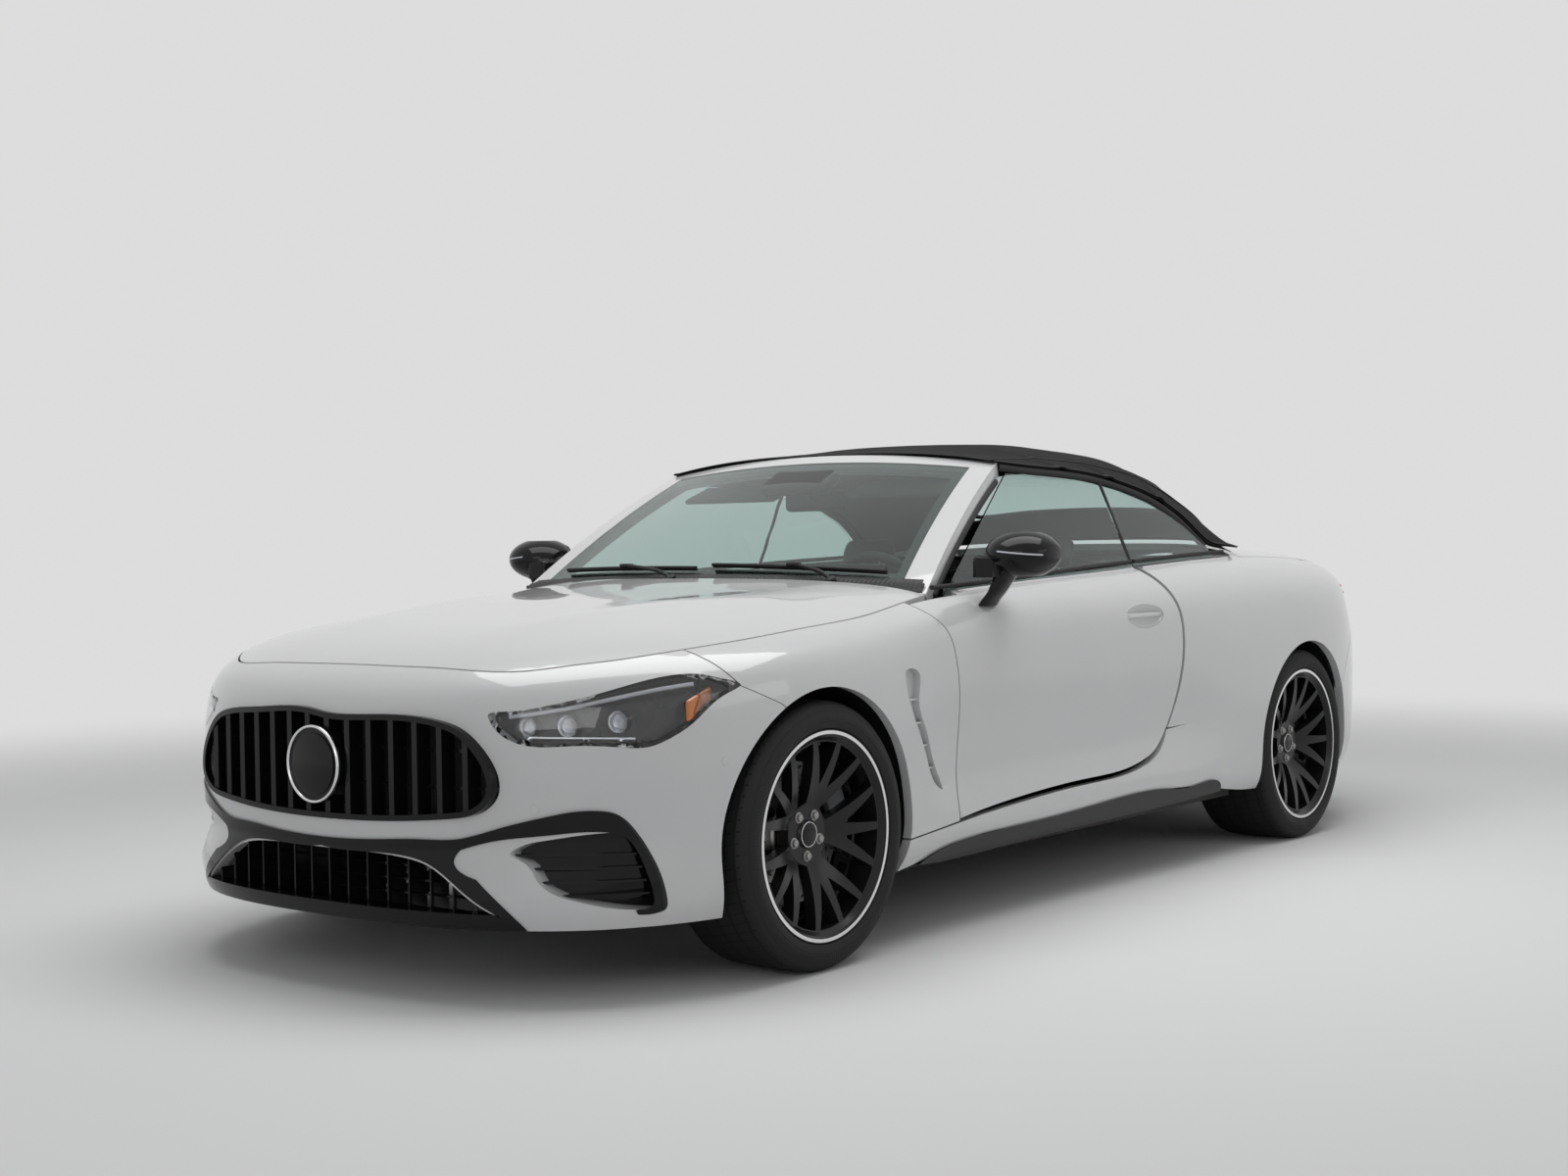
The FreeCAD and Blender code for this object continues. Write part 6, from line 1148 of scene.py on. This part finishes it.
def signal_place(u, v):
    x = mirror_high.x - 0.004 - 0.115 * u
    z = middle_z - 0.004 + 0.005 * (v - 0.5) + 0.012 * u
    hit, normal = skin_from(mirror_tree, (x, -3, z), (0, 1, 0))
    if hit is None:
        return Vector((x, mirror_low.y + 0.05, z))
    return hit + normal * (0.0012 - 0.0016 * abs(2 * v - 1) ** 3)


signal = laid_grid(30, 6, signal_place, (mirror_low + mirror_high) / 2)
pair(thicken(signal, 0.0015), "mirror_signal", light_guide, "door_body_SIDE", "headlamp_lens", smooth=50)
print("mirror glass", round(half_x * 2, 3), "by", round(half_z * 2, 3))

# %% [markdown]
# A wheel is held by five bolts and closed by a plain cap. The bolt is a hexagon drum with a washer
# collar, made once and copied round the axle, and the valve is a short tapered stem by the rim.

# %% Wheel bolts, caps and valves
BOLT_CIRCLE, VALVE_REACH, WHEEL_DISH = 0.056, 0.238, 0.062


def wheel_small_parts(end, face):
    _, y, z = AXLES[end]
    hub = face - WHEEL_DISH
    bolts = []
    for index in range(5):
        turn = math.radians(126 + 72 * index)
        spot = (y + BOLT_CIRCLE * math.cos(turn), z + BOLT_CIRCLE * math.sin(turn))
        bolts.append(turned_drum((hub - 0.003, *spot), 0.0105, 0.014, (1, 0, 0), 0.0018, 6))
        bolts.append(turned_drum((hub - 0.006, *spot), 0.0145, 0.006, (1, 0, 0), 0.0015, 24))
    stem = [(face - back, y, z + VALVE_REACH - lower)
            for back, lower in ((0.05, 0), (0.03, 0.004), (0.022, 0.005))]
    for piece, name, finish, slot in (
            (join(bolts), "wheel_bolts_", cast_metal, "forged_metal"),
            (turned_drum((hub + 0.001, y, z), 0.031, 0.007, (1, 0, 0), 0.0022, 48), "wheel_cap_", gloss_black,
             "wheel_black"),
            (ring((hub + 0.0025, y, z), 0.0315, 0.0016, QUARTER_Y, 64), "cap_ring_", chrome, "wheel_black"),
            (strip(stem, 0.008), "valve_", rubber, "wheel_black")):
        pair(piece, name + end, finish, "wheel_%s_SIDE" % end, slot)


wheel_small_parts("front", 0.934)
wheel_small_parts("rear", 0.932)
print("bolts, caps and valves on")

# %% [markdown]
# The tail carries a blank plate in a black surround, bright exhaust trims, red reflectors and a thin
# red brake strip on the lip of the boot lid.

# %% Rear plate, exhaust trims and reflectors
hit, normal = skin_from(tail_tree, (0.0, 3.0, 0.6), (0, -1, 0))
plates = (("rear_plate_surround", (0.56, 0.014, 0.145), 0.002, satin_black, 0.005),
          ("rear_plate", (0.52, 0.004, 0.112), 0.0105, plate_blank, 0.0015))
for name, size, push, finish, bevel in plates:
    plate = leaned(rounded_block((0, 0, 0), size, bevel), math.atan2(normal.z, normal.y), hit + normal * push)
    settle(plate, name, finish, "chassis", "gloss_black")
for index, share in enumerate((0.52, 0.64)):
    spot = (HALF_WIDTH * share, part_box("exhaust")[1][1] - 0.012, HEIGHT * 0.19)
    pair(ring(spot, 0.044, 0.0045, QUARTER_X, 64, 12, 3.2), "exhaust_trim_%d" % index, chrome, "chassis",
         "exhaust_steel", smooth=60)


def strip_on(tree, x0, x1, z0, z1, tall):
    """A thin band laid across a tail skin, found by rays from behind."""
    def place(u, v):
        x, z = x0 + (x1 - x0) * u, z0 + (z1 - z0) * u + tall * (v - 0.5)
        spot, way = skin_from(tree, (x, 3.0, z), (0, -1, 0))
        return spot + way * (0.002 - 0.003 * abs(2 * v - 1) ** 3)
    return thicken(laid_grid(24, 6, place, (0, 1.5, 0.6)), 0.002)


pair(strip_on(tail_tree, 0.56, 0.76, 0.395, 0.4, 0.02), "rear_reflector", red_lens, "chassis", "tail_lamp_lens",
     smooth=50)
lid_tree = node_tree("boot_lid")
for name, half, z, tall, finish, slot in (("brake_strip", 0.19, 0.952, 0.012, red_lens, "tail_lamp_lens"),
                                          ("boot_handle", 0.12, 0.735, 0.018, satin_black, "gloss_black")):
    settle(strip_on(lid_tree, -half, half, z, z, tall), name, finish, "boot_body", slot, smooth=50)
print("tail pieces on")

# %% [markdown]
# A seat is leather sewn round foam, so it is plump between its seams and tight at them. Each pad starts
# as rounded blocks joined by a voxel remesh, a little smaller than the real pad. A short cloth
# simulation with pressure fills it, every point's movement is capped, and the sewn channels are
# pressed in afterwards, because the remesh would erase them.

# %% Filling a pad
PAD_VOXEL, PAD_PRESSURE, PAD_FRAMES = 0.009, 4.0, 20
CHANNEL_DEEP, CHANNEL_WIDE = 0.005, 0.004


def foam(x, y, z, wide, deep, tall, bevel=0.03):
    return rounded_block((x, y, z), (wide, deep, tall), bevel, 4)


def filled_pad(parts, cap):
    """Joins blocks into one skin and fills it under pressure, with each point's movement capped."""
    pad = modified(join(parts), "REMESH", mode="VOXEL", voxel_size=PAD_VOXEL)
    start = [v.co.copy() for v in pad.data.vertices]
    filling = pad.modifiers.new("filling", "CLOTH")
    filling.settings.use_pressure = True
    filling.settings.uniform_pressure_force = PAD_PRESSURE
    filling.settings.effector_weights.gravity = 0
    filling.point_cache.frame_end = PAD_FRAMES
    for step in range(1, PAD_FRAMES + 1):
        bpy.context.scene.frame_set(step)
    apply_all(pad)
    bpy.context.scene.frame_set(1)
    for vertex, before in zip(pad.data.vertices, start):
        move = vertex.co - before
        if move.length > cap:
            vertex.co = before + move * (cap / move.length)
    modified(pad, "CORRECTIVE_SMOOTH", iterations=12, use_only_smooth=True)
    return modified(pad, "SUBSURF", levels=1, render_levels=1)


def press_channels(pad, axis, lines, inside):
    """Presses sewn channels into a pad where a point's coordinate nears one of the lines."""
    pad.data.update()
    normals = [v.normal.copy() for v in pad.data.vertices]
    for vertex, normal in zip(pad.data.vertices, normals):
        if inside(vertex.co, normal):
            press = sum(math.exp(-((vertex.co[axis] - line) / CHANNEL_WIDE) ** 2) for line in lines)
            vertex.co -= normal * CHANNEL_DEEP * min(press, 1.0)


print("pad size", PAD_VOXEL, "filled")

# %% [markdown]
# A front seat has a cushion between two bolsters, a back that leans with its own bolsters, and a
# headrest. The left seat is made first and copied to the right. A moulded shell closes the back from
# behind, and the seat stands on a covered base with rails.

# %% Front seats
SEAT_X, PANEL_HALF, SEAM_OUT = 0.372, 0.125, 0.131
seat_pivot = Vector((SEAT_X, 0.1740, 0.480))
lean = Matrix.Translation(seat_pivot) @ about("X", -22) @ Matrix.Translation(-seat_pivot)
cushion_parts = [foam(SEAT_X, -0.005, 0.375, 0.27, 0.40, 0.13), foam(SEAT_X, -0.165, 0.385, 0.36, 0.09, 0.135)]
back_parts = [foam(SEAT_X, 0.238, 0.69, 0.27, 0.085, 0.56), foam(SEAT_X, 0.242, 0.955, 0.34, 0.085, 0.12)]
for _, s in SIDES:
    cushion_parts.append(foam(SEAT_X + s * 0.178, -0.01, 0.382, 0.092, 0.39, 0.16, 0.036))
    back_parts.append(foam(SEAT_X + s * 0.18, 0.232, 0.69, 0.086, 0.115, 0.44, 0.036))
cushion = filled_pad(cushion_parts, 0.012)
press_channels(cushion, 1, [-0.1 + 0.05 * i for i in range(5)],
               lambda p, n: n.z > 0.6 and abs(p.x - SEAT_X) < PANEL_HALF)
back_pad = filled_pad(back_parts, 0.012)
press_channels(back_pad, 2, [0.5 + 0.055 * i for i in range(8)],
               lambda p, n: n.y < -0.5 and abs(p.x - SEAT_X) < PANEL_HALF)
head_pad = filled_pad([foam(SEAT_X, 0.236, 1.115, 0.215, 0.078, 0.115, 0.034)], 0.012)
shell = foam(SEAT_X, 0.288, 0.70, 0.43, 0.036, 0.56, 0.016)
posts = join([strip([(SEAT_X + s * 0.06, 0.242, z) for z in (0.99, 1.03, 1.08)], 0.012) for _, s in SIDES])
for piece in (back_pad, head_pad, shell, posts):
    piece.data.transform(lean)
base = rounded_block((SEAT_X, -0.005, 0.276), (0.33, 0.40, 0.075), 0.012)
rails = join([rounded_block((SEAT_X + s * 0.15, 0.0, 0.243), (0.028, 0.44, 0.024), 0.004) for _, s in SIDES])
cushion_tree, back_tree = tree_of(cushion.data), tree_of(back_pad.data)
seat_seams = []
for _, s in SIDES:
    x = SEAT_X + s * SEAM_OUT
    line = found(skin_from(cushion_tree, (x, y, 0.8), (0, 0, -1))[0] for y in np.linspace(-0.17, 0.16, 24))
    seat_seams.append(strip([p + Vector((0, 0, 0.001)) for p in line], 0.005))
    line = found(skin_from(back_tree, (x, -0.6, z), (0, 1, 0))[0] for z in np.linspace(0.52, 0.93, 24))
    seat_seams.append(strip([p + Vector((0, -0.001, 0.0)) for p in line], 0.005))
for piece, name, finish, slot in ((cushion, "seat_cushion", leather, "cabin_leather"),
                                  (back_pad, "seat_back", leather, "cabin_leather"),
                                  (head_pad, "headrest", leather, "cabin_leather"),
                                  (shell, "seat_shell", cabin_plastic, "cabin_plastic"),
                                  (posts, "headrest_posts", chrome, "cabin_plastic"),
                                  (base, "seat_base", carpet, "cabin_plastic"),
                                  (rails, "seat_rails", satin_black, "chassis_black"),
                                  (join(seat_seams), "seat_piping", leather, "cabin_leather")):
    both = pair(piece, name, finish, "chassis", slot, smooth=60)
    for one, (hand, _) in zip(both, SIDES):
        name in ("seat_cushion", "seat_back", "headrest")
        if name == "seat_back":
            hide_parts("seat_" + hand)
print("front seat", [round(v, 3) for v in back_pad.dimensions], len(back_pad.data.polygons))

# %% [markdown]
# The rear bench has two hollows with a flat bridge between them. One half is made and copied, and it
# stays within the room that the solid bench takes before the rear wall.

# %% Rear bench
bench = filled_pad([foam(0.31, 0.725, 0.385, 0.44, 0.18, 0.24), foam(0.31, 0.66, 0.40, 0.46, 0.05, 0.24, 0.022),
                    foam(0.55, 0.735, 0.40, 0.04, 0.17, 0.26, 0.018)], 0.01)
press_channels(bench, 0, [0.15 + 0.064 * i for i in range(6)], lambda p, n: n.z > 0.6 and 0.11 < p.x < 0.52)
rest = filled_pad([foam(0.31, 0.836, 0.73, 0.44, 0.06, 0.42, 0.026),
                   foam(0.31, 0.838, 0.945, 0.36, 0.062, 0.08, 0.026),
                   foam(0.55, 0.83, 0.70, 0.04, 0.07, 0.34, 0.018)], 0.01)
press_channels(rest, 2, [0.58 + 0.06 * i for i in range(6)], lambda p, n: n.y < -0.5 and 0.12 < p.x < 0.5)
bridge = join([rounded_block((0, 0.745, 0.375), (0.10, 0.21, 0.26), 0.014),
               rounded_block((0, 0.842, 0.70), (0.10, 0.06, 0.40), 0.014)])
settle(bridge, "bench_bridge", cabin_plastic, "chassis", "cabin_plastic")
for piece, name in ((bench, "rear_cushion"), (rest, "rear_back")):
    for one in pair(piece, name, leather, "chassis", "cabin_leather", smooth=60):
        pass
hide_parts("rear_seat")
print("rear half", [round(v, 3) for v in bench.dimensions], len(bench.data.polygons))

# %% [markdown]
# The dashboard carries a wide display behind the steering wheel, a tall touch screen in the middle and
# round air vents. Screens are thin slabs with a rounded edge and a dark glass on their face.

# %% Displays and air vents
def in_cabin(piece, name, finish, **options):
    return settle(piece, name, finish, "chassis", "cabin_plastic", **options)


for name, spot, wide, tall, thick, angle in (("driver_display", (0.372, -0.688, 0.962), 0.31, 0.125, 0.016, 14),
                                             ("centre_screen", (0.0, -0.612, 0.79), 0.215, 0.30, 0.014, 38)):
    angle = math.radians(angle)
    in_cabin(leaned(rounded_block((0, 0, 0), (wide, thick, tall), thick * 0.4), angle, spot), name + "_case",
             satin_black)
    glass = rounded_block((0, thick / 2 + 0.0008, 0), (wide - 0.012, 0.003, tall - 0.012), 0.0012)
    in_cabin(leaned(glass, angle, spot), name + "_glass", display_black)


def vent(spot):
    """A ring with a domed hub and eight vanes."""
    x, y, z = spot
    parts = [ring(spot, 0.034, 0.0042, QUARTER_X), turned_drum(spot, 0.009, 0.012, (0, 1, 0), 0.003, 24)]
    for index in range(8):
        turn = math.pi / 4 * index
        tip = (x + 0.031 * math.cos(turn), y - 0.002, z + 0.031 * math.sin(turn))
        parts.append(strip([spot, ((x + tip[0]) / 2, y - 0.002, (z + tip[2]) / 2), tip], 0.0032))
    return join(parts)


dash_tree = node_tree("dashboard")
spots = found(skin_from(dash_tree, (x, 0.2, 0.845), (0, -1, 0))[0] for x in (0.66, 0.105, -0.105, -0.66))
in_cabin(join([vent(p + Vector((0, 0.006, 0))) for p in spots]), "air_vents", chrome)
in_cabin(join([turned_drum(p + Vector((0, 0.001, 0)), 0.033, 0.003, (0, 1, 0), 0.001, 40) for p in spots]),
         "vent_cups", satin_black)
line = found(skin_from(dash_tree, (x, 0.2, 0.80), (0, -1, 0))[0] for x in np.linspace(-0.72, 0.72, 60))
in_cabin(strip([p + Vector((0, 0.002, 0)) for p in line], 0.009), "dash_trim", chrome)
print("vents", len(spots))

# %% [markdown]
# The steering wheel turns about a leaning axis, so its small parts are made flat and then turned onto
# it: a soft middle pad, two pairs of thin metal spokes, and grips where the hands rest.

# %% Steering wheel details
GRIP_RADIUS = 0.184
onto_wheel = Matrix.Translation((0.372, -0.4815, 0.8758)) @ onto_axis((0, 0.9135, 0.4067))


def on_wheel(piece, name, finish):
    piece.data.transform(onto_wheel)
    settle(piece, name, finish, "steering_wheel_body", "cabin_plastic", smooth=45)


on_wheel(rounded_block((0, 0, 0.004), (0.15, 0.11, 0.036), 0.016, 4), "wheel_pad", leather)
spokes = [rounded_block((s * 0.118, lift, 0.012), (0.105, 0.011, 0.006), 0.0025) for _, s in SIDES
          for lift in (0.018, -0.018)]
spokes.append(rounded_block((0, -0.115, 0.012), (0.03, 0.10, 0.006), 0.0025))
on_wheel(join(spokes), "wheel_spokes", chrome)
arc = [math.radians(a) for a in np.linspace(-28, 42, 15)]
grips = [strip([Vector((s * GRIP_RADIUS * math.cos(a), GRIP_RADIUS * math.sin(a), 0)) for a in arc], 0.0345)
         for _, s in SIDES]
on_wheel(join(grips), "wheel_grips", leather)
print("steering wheel dressed")

# %% [markdown]
# The console has a gloss lid, an armrest and two cup rings. Sun visors fold flat under the windscreen's
# head, and carpet mats with bound edges lie on the floor.

# %% Console, visors and mats
console_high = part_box("console")[1][2]
in_cabin(rounded_block((0, -0.24, console_high + 0.002), (0.17, 0.60, 0.006), 0.0025), "console_trim",
         gloss_black)
in_cabin(join([ring((0.0, y, console_high + 0.005), 0.039, 0.003) for y in (-0.33, -0.235)]), "cup_rings",
         chrome)
pad = filled_pad([foam(0, 0.27, console_high + 0.024, 0.19, 0.34, 0.044, 0.018)], 0.008)
settle(pad, "armrest", leather, "chassis", "cabin_leather", smooth=60)
visor = leaned(rounded_block((0, 0, 0), (0.38, 0.135, 0.016), 0.007, 4), slope(0.5, 0.8, 0.93) * 0.75,
               screen(0.5, 0.88) + Vector((0, 0.05, -0.07)))
pair(visor, "sun_visor", lining_cloth, "chassis", "soft_top_cloth", smooth=40)
floor_tree = node_tree("floor_pan")


def mat(name, x0, x1, y0, y1, corners=72):
    """A carpet mat with a soft outline and a bound edge, laid on the floor."""
    x, y = (x0 + x1) / 2, (y0 + y1) / 2
    high = skin_from(floor_tree, (x, y, 0.5), (0, 0, -1))[0].z

    def outline(shrink, lift):
        turns = [2 * math.pi * i / corners for i in range(corners)]
        return [(x + ((x1 - x0) / 2 - shrink) * soft_corner(math.cos(t), 0.3),
                 y + ((y1 - y0) / 2 - shrink) * soft_corner(math.sin(t), 0.3), high + lift) for t in turns]
    sheet = made(ops.primitive_circle_add, vertices=corners, radius=1, fill_type="NGON")
    for vertex, spot in zip(sheet.data.vertices, outline(0.0, 0.001)):
        vertex.co = spot
    edit(sheet, lambda: ops.extrude_region_move(TRANSFORM_OT_translate={"value": (0, 0, 0.008)}))
    pair(face_outwards(sheet), name, carpet, "chassis", "cabin_plastic", smooth=0)
    pair(strip(outline(0.003, 0.008), 0.009, closed=True), name + "_edge", leather, "chassis", "cabin_plastic",
         smooth=60)


mat("front_mat", 0.155, 0.60, -0.93, -0.34)
mat("rear_mat", 0.155, 0.57, 0.36, 0.60)
print("console top", round(console_high, 3))

# %% [markdown]
# A door's inside is a moulded card: a flat upper part, an armrest that swells inwards, and a pocket
# below. It is one grid whose corners are moved in by a smooth profile, and it rides on its door.

# %% Door cards and handle strips
CARD_X, PULL_ENDS, HANDLE_Y, HANDLE_HALF = 0.769, (-0.42, -0.16), 0.184, 0.104


def card_place(u, v):
    y, z = -0.60 + 0.86 * u, 0.36 + 0.56 * v
    swell = 0.045 * math.exp(-((z - 0.70) / 0.045) ** 2) * min(1.0, u * 5, (1 - u) * 4)
    swell += 0.016 * math.exp(-((z - 0.46) / 0.07) ** 2) * min(1.0, u * 5, (1 - u) * 5)
    edge = 0.04 * (max(0.0, abs(2 * u - 1) - 0.94) + max(0.0, abs(2 * v - 1) - 0.92))
    return Vector((CARD_X - swell + edge, y, z))


def on_door(piece, name, finish, slot="cabin_plastic", **options):
    pair(piece, name, finish, "door_body_SIDE", slot, **options)


on_door(thicken(laid_grid(90, 60, card_place, (1.2, 0, 0.6)), 0.003), "door_card", leather, "cabin_leather",
        smooth=50)
pull = [strip([(CARD_X - 0.03, y, 0.775 + 0.012 * math.sin(math.pi * (y + 0.42) / 0.26))
               for y in np.linspace(*PULL_ENDS, 12)], 0.016)]
pull += [strip([(CARD_X - 0.03, y, 0.775), (CARD_X - 0.014, y, 0.772), (CARD_X, y, 0.77)], 0.013)
         for y in PULL_ENDS]
on_door(join(pull), "door_pull", chrome, smooth=50)
on_door(turned_drum((CARD_X - 0.002, -0.47, 0.52), 0.062, 0.006, (1, 0, 0), 0.002, 48), "door_speaker", chrome)
line = found(skin_from(door_tree, (1.2, y, 0.844), (-1, 0, 0))[0]
             for y in np.linspace(HANDLE_Y - HANDLE_HALF, HANDLE_Y + HANDLE_HALF, 12))
on_door(strip([p + Vector((0.0004, 0, 0)) for p in line], 0.0055), "handle_strip", chrome, "body_paint",
        smooth=60)
print("handle strip points", len(line))

# %% [markdown]
# The rear shelf behind the bench is carpeted. A tail lamp's lens carries two slim light bars that
# follow its curve round the car's corner.

# %% Rear shelf and tail light bars
LAMP_MIDDLE, BAR_REACH = (0.55, 1.75), 1.5


def shelf_place(u, v):
    across = 0.60 * (1 - 0.16 * v)
    return Vector((across * (2 * u - 1), 0.905 + 0.32 * v, 0.975 + 0.004 * math.sin(math.pi * v)))


in_cabin(thicken(laid_grid(40, 20, shelf_place, (0, 1.1, 0.5)), 0.004), "rear_shelf", carpet, smooth=50)
tail_lamp_tree = node_tree("tail_lamps")


def light_bar(name, z0, z1, tall):
    """A band on the lamp's lens, found by rays towards the lamp's middle from behind and beside it."""
    def place(u, v):
        turn = math.radians(88 - 74 * u)
        middle = Vector((*LAMP_MIDDLE, z0 + (z1 - z0) * u + tall * (v - 0.5)))
        way = Vector((-math.cos(turn), -math.sin(turn), 0))
        spot, normal = skin_from(tail_lamp_tree, middle - way * BAR_REACH, way)
        return spot + normal * (0.0022 - 0.003 * abs(2 * v - 1) ** 3) if spot else None
    good = [u for u in np.linspace(0, 1, 60) if place(u, 0.5) is not None]
    low, high = min(good) + 0.03, max(good) - 0.03
    piece = laid_grid(50, 6, lambda u, v: place(low + (high - low) * u, v), (0.4, 1.7, 0.88))
    pair(thicken(piece, 0.002), name, red_glow, "chassis", "tail_lamp_lens", smooth=50)


light_bar("tail_bar_upper", 0.905, 0.893, 0.012)
light_bar("tail_bar_lower", 0.868, 0.872, 0.01)
print("light bars on")

# %% [markdown]
# A studio floor is pale and plain. Its colour, seen only by camera and mirror rays, gives the pale
# background, so the lamps can stay at a level that keeps the paint below white.

# %% Floor, backdrop, lamps and world
BACKDROP = (0.72, 0.72, 0.72)
FADE_START, FADE_END = 3.2, 8.5


def seen_rays(tree):
    """1 for rays that come from the camera, a mirror or through glass, and 0 for rays that carry light."""
    rays = tree.nodes.new("ShaderNodeLightPath").outputs
    seen = Field(rays["Is Camera Ray"]).then("MAXIMUM", rays["Is Transmission Ray"])
    return seen.then("MAXIMUM", rays["Is Glossy Ray"])


def stage_finish(name, colour, second):
    """A floor that takes the car's shadow near it and fades into the backdrop's colour far away."""
    look = Look(name)
    look.put(Roughness=0.9, Specular_IOR_Level=0.1, Base_Color=mix_colour(look.grain(0.6, 1.0), colour, second))
    reach = look.tree.nodes.new("ShaderNodeVectorMath")
    reach.operation = "LENGTH"
    wire(look.place, reach.inputs[0])
    fade = new_node(look.tree, "MapRange", Value=reach.outputs["Value"], From_Min=FADE_START, From_Max=FADE_END)
    fade.interpolation_type = "SMOOTHSTEP"
    far = new_node(look.tree, "Emission", Color=(*BACKDROP, 1))
    both = new_node(look.tree, "MixShader", Fac=Field(fade.outputs["Result"]) * seen_rays(look.tree))
    wire(look.tree.nodes["Principled BSDF"].outputs["BSDF"], both.inputs[1])
    wire(far.outputs["Emission"], both.inputs[2])
    wire(both.outputs["Shader"], look.tree.nodes["Material Output"].inputs["Surface"])
    return look.material


floor = made(ops.primitive_plane_add, size=60)
floor.name = "studio_floor"
floor.data.materials.append(stage_finish("floor_pale", (0.76, 0.76, 0.76), (0.75, 0.75, 0.75)))

world = bpy.data.worlds.new("studio")
bpy.context.scene.world = world
world.use_nodes = True
background = world.node_tree.nodes["Background"]
wire(mix_colour(seen_rays(world.node_tree), (0.36, 0.365, 0.37), BACKDROP), background.inputs["Color"])
background.inputs["Strength"].default_value = 1.0


def soft_lamp(name, place, aim, size, power):
    data = bpy.data.lights.new(name, "AREA")
    data.shape = "RECTANGLE"
    data.size, data.size_y = size
    data.energy = power
    lamp = bpy.data.objects.new(name, data)
    lamp.location = place
    lamp.rotation_euler = (Vector(aim) - Vector(place)).to_track_quat("-Z", "Y").to_euler()
    bpy.context.scene.collection.objects.link(lamp)


soft_lamp("top_softbox", (0.5, -0.5, 5.0), (0, 0, 0.5), (6.0, 3.0), 175)
soft_lamp("front_softbox", (3.5, -7.5, 3.2), (0, -0.5, 0.6), (4.0, 2.0), 36)
soft_lamp("side_softbox", (7.0, 1.0, 2.8), (0, 0, 0.6), (5.0, 1.8), 26)
